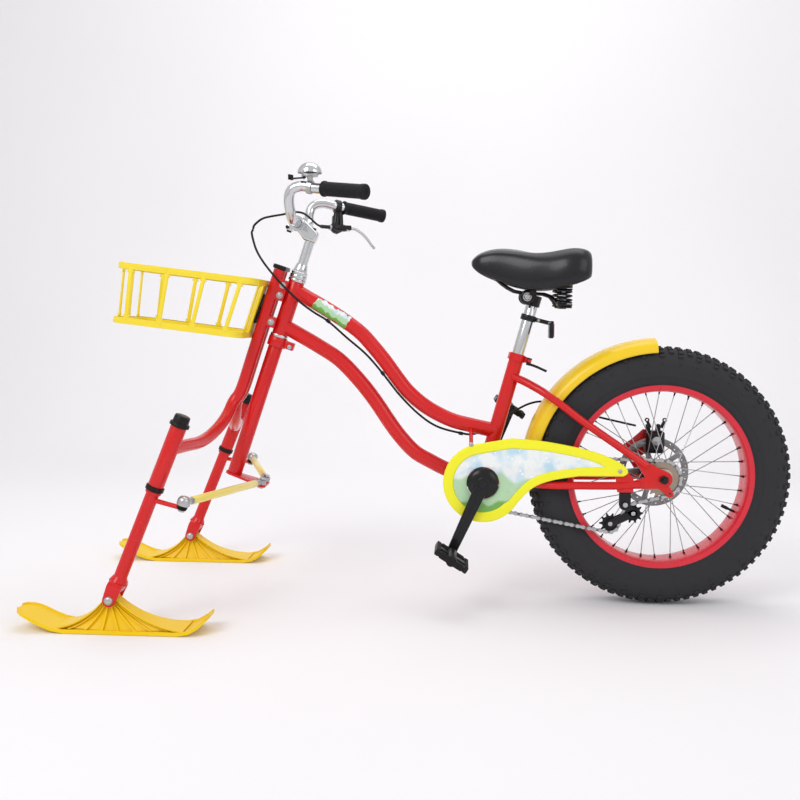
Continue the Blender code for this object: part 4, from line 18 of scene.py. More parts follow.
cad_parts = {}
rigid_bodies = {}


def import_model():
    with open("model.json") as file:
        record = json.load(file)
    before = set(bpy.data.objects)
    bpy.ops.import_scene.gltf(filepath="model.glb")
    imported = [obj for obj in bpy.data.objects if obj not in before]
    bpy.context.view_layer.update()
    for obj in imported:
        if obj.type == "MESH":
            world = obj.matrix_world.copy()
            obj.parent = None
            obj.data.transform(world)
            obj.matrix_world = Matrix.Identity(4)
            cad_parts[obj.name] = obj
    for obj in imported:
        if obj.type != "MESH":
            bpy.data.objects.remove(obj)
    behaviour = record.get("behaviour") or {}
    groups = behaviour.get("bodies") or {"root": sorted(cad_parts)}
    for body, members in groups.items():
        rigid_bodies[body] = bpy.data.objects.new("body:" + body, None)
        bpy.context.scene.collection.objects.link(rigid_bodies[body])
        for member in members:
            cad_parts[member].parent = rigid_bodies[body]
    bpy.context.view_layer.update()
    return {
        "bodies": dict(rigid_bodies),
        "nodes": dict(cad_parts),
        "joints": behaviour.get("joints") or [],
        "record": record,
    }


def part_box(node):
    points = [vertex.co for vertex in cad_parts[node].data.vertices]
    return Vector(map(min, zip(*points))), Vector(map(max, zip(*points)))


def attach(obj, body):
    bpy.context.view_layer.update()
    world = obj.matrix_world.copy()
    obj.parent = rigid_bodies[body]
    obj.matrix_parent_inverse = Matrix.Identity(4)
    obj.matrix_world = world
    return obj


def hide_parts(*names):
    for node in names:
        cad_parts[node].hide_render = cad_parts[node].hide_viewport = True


LOG = logging.getLogger("snow_bike")

Tree = bpy.types.NodeTree
Socket = bpy.types.NodeSocket
# What a shader input takes: a value, or the socket that is joined to it
Fed = float | Sequence[float] | Socket
Outline = Sequence[tuple[float, float]]

UP = Vector((0, 0, 1))
ACROSS = Vector((0, 1, 0))
REARWARD = Vector((1, 0, 0))
AXLE_X = 0.529
WHEEL_RADIUS = 0.2925
HUB = Vector((AXLE_X, 0, WHEEL_RADIUS))
SKI_Y = 0.305
# Where the tie rods' balls stand from the axes that they turn about
BALL_AHEAD = -0.070
BALL_OUT = 0.024
# Distance behind the rear axle and height of each axis that runs across the bike
AXLE = (0, WHEEL_RADIUS)
CRANK = (-0.397, 0.279)
GUIDE = (-0.063, 0.214)
TENSION = (-0.113, 0.190)
HANGER = (-0.083, 0.235)
STEER_UP = Vector((math.sin(math.radians(18.2)), 0, math.cos(math.radians(18.2))))
STEER_AHEAD = Vector((-STEER_UP.z, 0, STEER_UP.x))
LEG_UP = Vector((math.sin(math.radians(21.8)), 0, math.cos(math.radians(21.8))))
LEG_AHEAD = Vector((-LEG_UP.z, 0, LEG_UP.x))
SEAT_UP = Vector((0.26082, 0, 0.96539))
SEAT_BACK = Vector((0.96539, 0, -0.26082))
SIDES = (("near", -1), ("far", 1))


def at(x: float, y: float, z: float) -> Vector:
    """Place given by its distance behind the rear axle, across and up."""
    return Vector((AXLE_X + x, y, z))


def steer(height: float, ahead: float = 0.0, side: float = 0.0) -> Vector:
    """Place along the steering axis, ahead of it and beside it."""
    return at(-0.971, side, 0.282) + STEER_UP * height + STEER_AHEAD * ahead


def leg(sign: int, height: float, ahead: float = 0.0, out: float = 0.0) -> Vector:
    """Place along a leg from its ski pivot, ahead of it and outwards."""
    return at(-1.157, sign * (SKI_Y + out), 0.064) + LEG_UP * height + LEG_AHEAD * ahead


def seat(height: float, back: float = 0.0, side: float = 0.0) -> Vector:
    """Place along the seat tube from its top, behind it and beside it."""
    return at(-0.320, side, 0.564) + SEAT_UP * height + SEAT_BACK * back


def on_wheel(radius: float, angle: float, y: float) -> Vector:
    """Place at a radius and angle about the rear axle."""
    return at(radius * math.cos(angle), y, WHEEL_RADIUS + radius * math.sin(angle))


def arc(centre: Sequence[float], radius: float, start: float, end: float, steps: int) -> list[tuple[float, float]]:
    """Places on an arc in a flat plane.

    Args:
        centre: middle of the arc.
        radius: its radius.
        start: first angle in degrees.
        end: last angle in degrees.
        steps: number of chords.

    Returns:
        The places, both ends included.
    """
    turn = [math.radians(start + (end - start) * i / steps) for i in range(steps + 1)]
    return [(centre[0] + radius * math.cos(a), centre[1] + radius * math.sin(a)) for a in turn]


def smooth_path(points: Sequence[Vector], count: int) -> list[Vector]:
    """Evenly spaced places on a smooth curve through given points.

    Args:
        points: places that the curve goes through.
        count: number of places on it.

    Returns:
        The evenly spaced places.
    """
    ends = [points[0] * 2 - points[1], *points, points[-1] * 2 - points[-2]]
    fine = []
    for a, b, c, d in zip(ends, ends[1:], ends[2:], ends[3:]):
        for step in range(16):
            t = step / 16
            fine.append(0.5 * (2 * b + (c - a) * t + (2 * a - 5 * b + 4 * c - d) * t * t
                               + (3 * b - a - 3 * c + d) * t ** 3))
    fine.append(points[-1])
    travelled = [0.0]
    for before, after in zip(fine, fine[1:]):
        travelled.append(travelled[-1] + (after - before).length)
    path = []
    spot = 0
    for i in range(count):
        goal = travelled[-1] * i / (count - 1)
        while spot < len(fine) - 2 and travelled[spot + 1] < goal:
            spot += 1
        share = (goal - travelled[spot]) / max(travelled[spot + 1] - travelled[spot], 1e-9)
        path.append(fine[spot].lerp(fine[spot + 1], share))
    return path


def axes_frame(place: Vector, x: Vector, y: Vector, z: Vector) -> Matrix:
    """Matrix that stands at a place with the three axes given."""
    return Matrix.Translation(place) @ Matrix((x, y, z)).transposed().to_4x4()


def turned_frame(place: Vector, z_axis: Vector, x_hint: Vector | None = None) -> Matrix:
    """Matrix that stands at a place with its Z axis along a direction.

    Args:
        place: where it stands.
        z_axis: direction of its Z axis.
        x_hint: direction near which its X axis lies.

    Returns:
        The placing matrix.
    """
    z = z_axis.normalized()
    hint = x_hint or (REARWARD if abs(z.x) < 0.9 else ACROSS)
    x = (hint - z * hint.dot(z)).normalized()
    return axes_frame(place, x, z.cross(x), z)


class Shape:
    """A bmesh that grows by simple solids and becomes one piece."""

    def __init__(self) -> None:
        """Starts empty."""
        self.bm = bmesh.new()

    def _take(self, other: bmesh.types.BMesh, matrix: Matrix | None = None) -> None:
        """Adds another bmesh, placed by a matrix.

        Args:
            other: the bmesh, which is freed.
            matrix: its place, or None where it already is.
        """
        if matrix is not None:
            bmesh.ops.transform(other, matrix=matrix, verts=other.verts)
        mesh = bpy.data.meshes.new("part")
        other.to_mesh(mesh)
        other.free()
        self.bm.from_mesh(mesh)
        bpy.data.meshes.remove(mesh)

    def rod(self, start: Vector, end: Vector, radius: float, sides: int = 24, end_radius: float | None = None,
            bevel: float = 0.0) -> Shape:
        """Cylinder or cone between two places, with rounded ends if bevelled.

        Args:
            start: middle of its first end.
            end: middle of its other end.
            radius: radius at the first end.
            sides: number of faces round it.
            end_radius: radius at the other end, if it differs.
            bevel: width of the softened rims.

        Returns:
            This shape.
        """
        other = bmesh.new()
        bmesh.ops.create_cone(other, cap_ends=True, segments=sides, radius1=radius,
                              radius2=radius if end_radius is None else end_radius, depth=(end - start).length)
        if bevel:
            rims = [e for e in other.edges if len(e.link_faces) == 2
                    and any(len(f.verts) == sides for f in e.link_faces)]
            bmesh.ops.bevel(other, geom=rims, offset=bevel, segments=2, profile=0.5, affect="EDGES", material=-1)
        self._take(other, turned_frame((start + end) / 2, end - start))
        return self

    def block(self, size: Sequence[float], centre: Vector, z_axis: Vector = UP, x_hint: Vector | None = None,
              bevel: float = 0.0015, segments: int = 2) -> Shape:
        """Box with bevelled edges.

        Args:
            size: its three sides.
            centre: its middle.
            z_axis: direction of its third side.
            x_hint: direction near which its first side lies.
            bevel: width of the softened edges.
            segments: fineness of the softened edges.

        Returns:
            This shape.
        """
        other = bmesh.new()
        bmesh.ops.create_cube(other, size=1.0)
        bmesh.ops.scale(other, vec=size, verts=other.verts)
        if bevel:
            bmesh.ops.bevel(other, geom=list(other.edges), offset=bevel, segments=segments, profile=0.5,
                            affect="EDGES", material=-1)
        self._take(other, turned_frame(centre, z_axis, x_hint))
        return self

    def turned(self, profile: Outline, centre: Vector, axis: Vector, steps: int = 48,
               angle: float = 2 * math.pi, x_hint: Vector | None = None) -> Shape:
        """Profile of radius and height, spun about an axis.

        Args:
            profile: radius and height of each point.
            centre: place of height 0 on the axis.
            axis: direction of the axis.
            steps: number of steps in the spin.
            angle: how far it turns.
            x_hint: direction of the start of the spin.

        Returns:
            This shape.
        """
        other = bmesh.new()
        verts = [other.verts.new((max(radius, 1e-6), 0, height)) for radius, height in profile]
        edges = [other.edges.new(pair) for pair in zip(verts, verts[1:])]
        full = abs(angle - 2 * math.pi) < 1e-6
        bmesh.ops.spin(other, geom=verts + edges, cent=(0, 0, 0), axis=(0, 0, 1), angle=angle, steps=steps,
                       use_merge=full, use_duplicate=False)
        bmesh.ops.remove_doubles(other, verts=other.verts, dist=1e-5)
        bmesh.ops.recalc_face_normals(other, faces=other.faces)
        self._take(other, turned_frame(centre, axis, x_hint))
        return self

    def tube(self, path: Sequence[Vector], radius: float, detail: int = 4, closed: bool = False) -> Shape:
        """Round tube along a path, made from a bevelled curve.

        Args:
            path: places along its middle.
            radius: its radius.
            detail: fineness round it.
            closed: whether its ends meet.

        Returns:
            This shape.
        """
        curve = bpy.data.curves.new("path", "CURVE")
        curve.dimensions = "3D"
        curve.bevel_depth = radius
        curve.bevel_resolution = detail
        curve.use_fill_caps = not closed
        spline = curve.splines.new("POLY")
        spline.points.add(len(path) - 1)
        for point, place in zip(spline.points, path):
            point.co = (*place, 1)
        spline.use_cyclic_u = closed
        self._curve(curve, None)
        return self

    def plate(self, outlines: Sequence[Outline], thickness: float, matrix: Matrix,
              bevel: float = 0.0006, rounds: int = 1) -> Shape:
        """Flat plate with holes and softened edges, made from a filled flat curve.

        Args:
            outlines: outer outline and holes, in the plate's plane.
            thickness: full thickness.
            matrix: place of the plate's middle.
            bevel: radius of its edges.
            rounds: fineness of its edges.

        Returns:
            This shape.
        """
        curve = bpy.data.curves.new("outline", "CURVE")
        curve.dimensions = "2D"
        curve.fill_mode = "BOTH"
        curve.extrude = thickness / 2 - bevel
        curve.bevel_depth = bevel
        curve.bevel_resolution = rounds
        curve.offset = -bevel
        for outline in outlines:
            spline = curve.splines.new("POLY")
            spline.points.add(len(outline) - 1)
            for point, (x, y) in zip(spline.points, outline):
                point.co = (x, y, 0, 1)
            spline.use_cyclic_u = True
        self._curve(curve, matrix)
        return self

    def side_plate(self, outlines: Sequence[Outline], thickness: float, y: float,
                   bevel: float = 0.0006, rounds: int = 1) -> Shape:
        """Plate that stands across the bike, its outlines given behind the axle and up."""
        return self.plate(outlines, thickness, turned_frame(at(0, y, 0), -ACROSS, REARWARD), bevel,
                          rounds)

    def _curve(self, curve: bpy.types.Curve, matrix: Matrix | None) -> None:
        """Adds a curve's mesh.

        Args:
            curve: the curve, which is removed.
            matrix: place of its mesh.
        """
        holder = bpy.data.objects.new("curve", curve)
        mesh = bpy.data.meshes.new_from_object(holder)
        bpy.data.objects.remove(holder)
        bpy.data.curves.remove(curve)
        other = bmesh.new()
        other.from_mesh(mesh)
        bpy.data.meshes.remove(mesh)
        bmesh.ops.remove_doubles(other, verts=other.verts, dist=1e-5)
        bmesh.ops.recalc_face_normals(other, faces=other.faces)
        self._take(other, matrix)

    def sections(self, loops: Sequence[Sequence[Vector]], capped: bool = True) -> Shape:
        """Skin over closed loops of equal length, extruded from the first to the last.

        Args:
            loops: places around each loop.
            capped: whether both ends are closed.

        Returns:
            This shape.
        """
        other = bmesh.new()
        verts = [other.verts.new(place) for place in loops[0]]
        edges = [other.edges.new((verts[i - 1], verts[i])) for i in range(len(verts))]
        if capped:
            other.faces.new(verts)
        for loop in loops[1:]:
            step = bmesh.ops.extrude_edge_only(other, edges=edges)
            edges = [e for e in step["geom"] if isinstance(e, bmesh.types.BMEdge)]
            following = {}
            for face in [f for f in step["geom"] if isinstance(f, bmesh.types.BMFace)]:
                for edge in face.edges:
                    ends = [v in verts for v in edge.verts]
                    if ends[0] != ends[1]:
                        old, new = edge.verts if ends[0] else reversed(edge.verts)
                        following[old] = new
            verts = [following[v] for v in verts]
            for vert, place in zip(verts, loop):
                vert.co = place
        if capped:
            other.faces.new(verts)
        bmesh.ops.recalc_face_normals(other, faces=other.faces)
        self._take(other)
        return self

    def piece(self, name: str, finish: Finish, body: str, replaces: Iterable[str] = (),
              sharp: float = 38.0) -> bpy.types.Object:
        """Finished piece that rides on a body.

        Args:
            name: the piece's name.
            finish: its material.
            body: the body that it moves with.
            replaces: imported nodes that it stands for.
            sharp: angle in degrees past which an edge stays sharp.

        Returns:
            The new object.
        """
        mesh = bpy.data.meshes.new(name)
        self.bm.to_mesh(mesh)
        self.bm.free()
        mesh.shade_smooth()
        mesh.set_sharp_from_angle(angle=math.radians(sharp))
        obj = bpy.data.objects.new(name, mesh)
        bpy.context.scene.collection.objects.link(obj)
        obj.data.materials.append(finish.material())
        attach(obj, body)
        for node in replaces:
            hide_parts(node)
        LOG.info("%s rides on %s", name, body)
        return obj


class Grain(Enum):
    """How the fine relief of a finish looks."""

    ORANGE_PEEL = "soft noise"
    LEATHER = "cells"
    BRUSHED = "long streaks"
    SPANGLE = "flat crystals"


def feed(node: bpy.types.Node, inputs: dict[str | int, Fed]) -> None:
    """Feeds inputs of a node.

    Args:
        node: the node.
        inputs: for each input by name or number, its value or the socket that is joined to it.
    """
    for name, value in inputs.items():
        if isinstance(value, bpy.types.NodeSocket):
            node.id_data.links.new(value, node.inputs[name])
        else:
            node.inputs[name].default_value = value


def add_node(tree: Tree, kind: str, inputs: dict[str | int, Fed] | None = None) -> bpy.types.Node:
    """Adds a shader node and feeds its inputs.

    Args:
        tree: the tree that it goes in.
        kind: its type, without the word that all of them begin with.
        inputs: value or socket for each input.

    Returns:
        The node.
    """
    node = tree.nodes.new("ShaderNode" + kind)
    feed(node, inputs or {})
    return node


def maths(tree: Tree, operation: str, *values: Fed) -> Socket:
    """Works out one operation of a maths node.

    Args:
        tree: the tree that the node goes in.
        operation: the operation.
        values: value or socket for each of its inputs.

    Returns:
        The result.
    """
    node = add_node(tree, "Math")
    node.operation = operation
    feed(node, dict(enumerate(values)))
    return node.outputs[0]


def ramp(tree: Tree, value: Socket, low: float, high: float, to_low: float = 0.0, to_high: float = 1.0) -> Socket:
    """Carries a value from one range to another.

    Args:
        tree: the tree that the node goes in.
        value: the value.
        low: start of its range.
        high: end of its range.
        to_low: result at the start.
        to_high: result at the end.

    Returns:
        The result.
    """
    return add_node(tree, "MapRange", {"Value": value, "From Min": low, "From Max": high, "To Min": to_low,
                                       "To Max": to_high}).outputs["Result"]


def noise(tree: Tree, where: Socket, scale: Fed, detail: float) -> Socket:
    """Soft noise at some coordinates."""
    return add_node(tree, "TexNoise", {"Vector": where, "Scale": scale, "Detail": detail}).outputs["Fac"]


def blended(tree: Tree, share: Socket, first: Fed, second: Fed) -> Socket:
    """Mixes two colours.

    Args:
        tree: the tree that the node goes in.
        share: 0 for the first colour, 1 for the second.
        first: a colour or its socket.
        second: a colour or its socket.

    Returns:
        The mixed colour.
    """
    node = tree.nodes.new("ShaderNodeMix")
    node.data_type = "RGBA"
    feed(node, {"Factor": share, "A": first, "B": second})
    return node.outputs["Result"]


def detail_group() -> Tree:
    """Shader group with patches, fine grain and scratches, built once.

    Returns:
        The node group.
    """
    name = "surface_detail"
    if name in bpy.data.node_groups:
        return bpy.data.node_groups[name]
    group = bpy.data.node_groups.new(name, "ShaderNodeTree")
    group.interface.new_socket("Vector", in_out="INPUT", socket_type="NodeSocketVector")
    for label in ("Patch Scale", "Grain Scale", "Cells", "Stretch"):
        group.interface.new_socket(label, in_out="INPUT", socket_type="NodeSocketFloat")
    for label in ("Patch", "Grain", "Scratch"):
        group.interface.new_socket(label, in_out="OUTPUT", socket_type="NodeSocketFloat")
    entry = group.nodes.new("NodeGroupInput").outputs
    streaks = add_node(group, "VectorMath", {0: entry["Vector"], 1: add_node(
        group, "CombineXYZ", {0: entry["Stretch"], 1: 1, 2: 1}).outputs[0]})
    streaks.operation = "MULTIPLY"
    cells = add_node(group, "TexVoronoi", {"Vector": streaks.outputs[0], "Scale": entry["Grain Scale"]})
    cells.feature = "SMOOTH_F1"
    fine = noise(group, streaks.outputs[0], entry["Grain Scale"], 4)
    grain = add_node(group, "Mix", {"Factor": entry["Cells"], "A": fine, "B": cells.outputs["Distance"]})
    wave = add_node(group, "TexNoise", {"Vector": entry["Vector"], "Scale": 38, "Detail": 6, "Distortion": 2.5})
    feed(group.nodes.new("NodeGroupOutput"), {
        "Patch": noise(group, entry["Vector"], entry["Patch Scale"], 3), "Grain": grain.outputs["Result"],
        "Scratch": ramp(group, wave.outputs["Fac"], 0.66, 0.72)})
    return group


@dataclass(frozen=True)
class Finish:
    """One finish of the bike: its colours, gloss and relief."""

    name: str
    slot: str
    colour: tuple[float, float, float]
    shade: tuple[float, float, float]
    rough: tuple[float, float]
    metallic: float = 0.0
    coat: float = 0.0
    patch: float = 9.0
    grain: float = 300.0
    bump: float = 0.05
    relief: Grain = Grain.ORANGE_PEEL
    scuff: float = 0.15
    sheen: float = 0.5

    def material(self) -> bpy.types.Material:
        """Procedural material of this finish, built at its first use.

        Returns:
            The material.
        """
        if self.name in bpy.data.materials:
            return bpy.data.materials[self.name]
        material = bpy.data.materials.new(self.name)
        material.use_nodes = True
        tree = material.node_tree
        detail = tree.nodes.new("ShaderNodeGroup")
        detail.node_tree = detail_group()
        feed(detail, {"Vector": add_node(tree, "TexCoord").outputs["Object"], "Patch Scale": self.patch,
                      "Grain Scale": self.grain,
                      "Cells": 1.0 if self.relief in (Grain.LEATHER, Grain.SPANGLE) else 0.0,
                      "Stretch": 0.06 if self.relief is Grain.BRUSHED else 1.0})
        patch = detail.outputs["Patch"]
        tint = blended(tree, patch, (*self.colour, 1), (*self.shade, 1))
        rough = ramp(tree, patch, 0.3, 0.7, *self.rough)
        bump = add_node(tree, "Bump", {"Strength": self.bump, "Distance": 0.0008, "Height": detail.outputs["Grain"]})
        feed(tree.nodes["Principled BSDF"], {
            "Metallic": self.metallic, "Coat Weight": self.coat, "Coat Roughness": 0.08,
            "Specular IOR Level": self.sheen, "Base Color": self.colour_output(tree, tint),
            "Roughness": maths(tree, "MULTIPLY_ADD", detail.outputs["Scratch"], self.scuff, rough),
            "Normal": bump.outputs["Normal"]})
        return material

    def colour_output(self, tree: Tree, plain: Socket) -> Socket:
        """Colour that reaches the shader."""
        return plain


@dataclass(frozen=True)
class PrintedFinish(Finish):
    """Finish with a printed winter scene: pale sky with round flakes over rolling green slopes."""

    ground: float = 0.25
    lean: float = 0.0
    wave: float = 14.0
    swell: float = 0.020
    flakes: float = 60.0
    slope: tuple[float, float, float] = (0.16, 0.42, 0.07)
    far_slope: tuple[float, float, float] = (0.45, 0.68, 0.42)
    sky: tuple[float, float, float] = (0.50, 0.72, 0.86)
    snow: tuple[float, float, float] = (0.93, 0.94, 0.95)
    bare: tuple[float, float, float] | None = None
    middle: float = 0.0
    half: float = 0.0

    def hills(self, tree: Tree, where: Socket, level: float, phase: float, soft: float) -> Socket:
        """Mask that is 1 under a rolling skyline.

        Args:
            tree: the tree that the nodes go in.
            where: the turned coordinates.
            level: height of the skyline.
            phase: shift of the skyline's roll.
            soft: height over which it fades.

        Returns:
            The mask.
        """
        split = add_node(tree, "SeparateXYZ", {0: where}).outputs
        roll = tree.nodes.new("ShaderNodeTexNoise")
        roll.noise_dimensions = "1D"
        feed(roll, {"W": maths(tree, "ADD", split["X"], phase), "Scale": self.wave, "Detail": 1})
        line = maths(tree, "MULTIPLY_ADD", roll.outputs["Fac"], -self.swell, split["Z"])
        return ramp(tree, line, level + soft, level)

    def colour_output(self, tree: Tree, plain: Socket) -> Socket:
        """Colour of the printed scene.

        Args:
            tree: the tree that the nodes go in.
            plain: the plain colour.

        Returns:
            The printed colour.
        """
        where = add_node(tree, "Mapping", {"Vector": add_node(tree, "TexCoord").outputs["Object"],
                                           "Rotation": (0, self.lean, 0)}).outputs["Vector"]
        cloud = ramp(tree, noise(tree, where, self.wave * 1.5, 2), 0.46, 0.66)
        spots = add_node(tree, "TexVoronoi", {"Vector": where, "Scale": self.flakes})
        near = self.ground - self.swell * 0.8
        layers = [(cloud, self.sky), (ramp(tree, spots.outputs["Distance"], 0.20, 0.15), self.snow),
                  (self.hills(tree, where, self.ground, 0.31, self.swell * 0.15), self.far_slope),
                  (self.hills(tree, where, near, 0.07, self.swell * 0.10), self.slope)]
        if self.bare is not None:
            layers.append((self.ragged_edge(tree, where), self.bare))
        for mask, tone in layers:
            plain = blended(tree, mask, plain, (*tone, 1))
        return plain

    def ragged_edge(self, tree: Tree, where: Socket) -> Socket:
        """Mask that is 1 outside the print's ragged outline, at its two ends and along the tube's edges.

        Args:
            tree: the tree that the nodes go in.
            where: the turned coordinates.

        Returns:
            The mask.
        """
        torn, rough = 0.045, noise(tree, where, 95, 1)
        along = add_node(tree, "SeparateXYZ", {0: where}).outputs["X"]
        away = maths(tree, "ABSOLUTE", maths(tree, "SUBTRACT", along, self.middle))
        ends = maths(tree, "MULTIPLY_ADD", rough, torn, -torn / 2 - self.half)
        outside = maths(tree, "GREATER_THAN", maths(tree, "ADD", away, ends), 0.0)
        facing = add_node(tree, "SeparateXYZ", {0: add_node(tree, "TexCoord").outputs["Normal"]})
        side = maths(tree, "ABSOLUTE", facing.outputs["Y"])
        return maths(tree, "MAXIMUM", outside,
                     maths(tree, "LESS_THAN", side, maths(tree, "MULTIPLY_ADD", rough, 1.3, -0.10)))


RED = Finish("red_gloss_paint", "red_paint", (0.70, 0.010, 0.010), (0.60, 0.006, 0.008), (0.20, 0.28), coat=0.15,
             grain=160, bump=0.03, sheen=0.35)
RIM_RED = Finish("red_rim_lacquer", "red_rim_paint", (0.74, 0.026, 0.045), (0.64, 0.016, 0.035), (0.24, 0.32),
                 coat=0.15, grain=400, bump=0.02, sheen=0.35)
YELLOW = Finish("yellow_moulded_plastic", "yellow_plastic", (0.92, 0.74, 0.045), (0.88, 0.68, 0.035), (0.30, 0.40),
                grain=900, bump=0.10, sheen=0.30)
FENDER = Finish("golden_fender_plastic", "yellow_plastic", (0.92, 0.64, 0.02), (0.88, 0.56, 0.015), (0.22, 0.32),
                coat=0.15, grain=700, bump=0.05, sheen=0.30)
LEMON = Finish("lemon_guard_plastic", "lemon_plastic", (0.93, 0.91, 0.03), (0.90, 0.86, 0.025), (0.28, 0.38),
               grain=800, bump=0.07, sheen=0.30)
SKI = Finish("golden_ski_plastic", "ski_plastic", (0.93, 0.64, 0.004), (0.88, 0.57, 0.004), (0.32, 0.42),
             grain=900, bump=0.12, sheen=0.25)
PALE = Finish("pale_yellow_paint", "pale_paint", (0.90, 0.76, 0.18), (0.86, 0.70, 0.15), (0.26, 0.34), coat=0.3,
              grain=200, bump=0.03)
CHROME = Finish("polished_chrome", "chrome", (0.66, 0.67, 0.68), (0.58, 0.59, 0.61), (0.08, 0.17), metallic=1.0,
                grain=60, bump=0.010, scuff=0.12)
ZINC = Finish("zinc_plated_steel", "zinc_steel", (0.52, 0.52, 0.52), (0.42, 0.42, 0.44), (0.26, 0.42),
              metallic=1.0, grain=500, bump=0.10, relief=Grain.SPANGLE)
ALLOY = Finish("brushed_alloy", "alloy", (0.60, 0.61, 0.63), (0.50, 0.51, 0.54), (0.24, 0.38), metallic=1.0,
               grain=900, bump=0.08, relief=Grain.BRUSHED)
SPOKE = Finish("drawn_spoke_steel", "alloy", (0.36, 0.36, 0.37), (0.28, 0.28, 0.29), (0.24, 0.36), metallic=1.0,
               grain=900, bump=0.05, relief=Grain.BRUSHED)
CHAIN_STEEL = Finish("oiled_chain_steel", "zinc_steel", (0.22, 0.22, 0.22), (0.14, 0.14, 0.14), (0.34, 0.50),
                     metallic=0.9, grain=600, bump=0.10)
DISC_STEEL = Finish("worn_brake_steel", "zinc_steel", (0.30, 0.29, 0.29), (0.20, 0.20, 0.20), (0.28, 0.40),
                    metallic=1.0, grain=900, bump=0.10, relief=Grain.BRUSHED)
COG_STEEL = Finish("bronzed_cog_steel", "zinc_steel", (0.42, 0.34, 0.27), (0.28, 0.23, 0.19), (0.32, 0.46),
                   metallic=1.0, grain=600, bump=0.10)
DARK_STEEL = Finish("dark_oxide_steel", "dark_steel", (0.030, 0.030, 0.032), (0.018, 0.017, 0.017), (0.30, 0.46),
                    metallic=0.6, grain=600, bump=0.10, sheen=0.3)
BLACK = Finish("black_moulded_plastic", "black_plastic", (0.006, 0.006, 0.007), (0.010, 0.010, 0.011),
               (0.34, 0.48), grain=900, bump=0.12, sheen=0.22)
SATIN_BLACK = Finish("satin_black_enamel", "black_plastic", (0.005, 0.005, 0.006), (0.008, 0.008, 0.009),
                     (0.20, 0.30), coat=0.15, grain=500, bump=0.05, sheen=0.25)
RUBBER = Finish("black_grip_rubber", "rubber", (0.006, 0.006, 0.008), (0.010, 0.010, 0.012), (0.46, 0.60),
                grain=700, bump=0.18, sheen=0.20)
TYRE = Finish("tyre_rubber", "tyre_rubber", (0.006, 0.006, 0.009), (0.010, 0.010, 0.013), (0.38, 0.52), grain=500,
              bump=0.16, patch=14, sheen=0.10)
VINYL = Finish("saddle_vinyl", "black_vinyl", (0.004, 0.004, 0.006), (0.007, 0.007, 0.010), (0.22, 0.32),
               coat=0.10, grain=420, bump=0.22, relief=Grain.LEATHER, sheen=0.35)
LENS = Finish("red_reflector_lens", "reflector_red", (0.62, 0.015, 0.015), (0.45, 0.01, 0.01), (0.08, 0.16),
              coat=1.0, grain=260, bump=0.6, relief=Grain.SPANGLE)
TUBE_PRINT = PrintedFinish("printed_tube_sleeve", "red_paint", (0.88, 0.89, 0.88), (0.76, 0.82, 0.84),
                           (0.22, 0.30), coat=0.15, grain=400, bump=0.02, ground=0.4240, lean=math.radians(-33.5),
                           wave=70.0, swell=0.014, flakes=170.0,
                           bare=(0.65, 0.008, 0.009), middle=-0.5395, half=0.043, sheen=0.35)
PANEL_PRINT = PrintedFinish("printed_guard_panel", "lemon_plastic", (0.90, 0.91, 0.90), (0.82, 0.87, 0.89),
                            (0.24, 0.32), coat=0.3, grain=500, bump=0.03, ground=0.254, wave=16.0, swell=0.060,
                            flakes=62.0)


FRAME: dict = {}


def dress_node(name: str, finish: Finish) -> None:
    """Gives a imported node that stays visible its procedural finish.

    Args:
        name: the node.
        finish: its material.
    """
    obj = FRAME["nodes"][name]
    for place in obj.material_slots:
        place.material = finish.material()
    if not obj.material_slots:
        obj.data.materials.append(finish.material())
    LOG.info("%s keeps its packed shape", name)


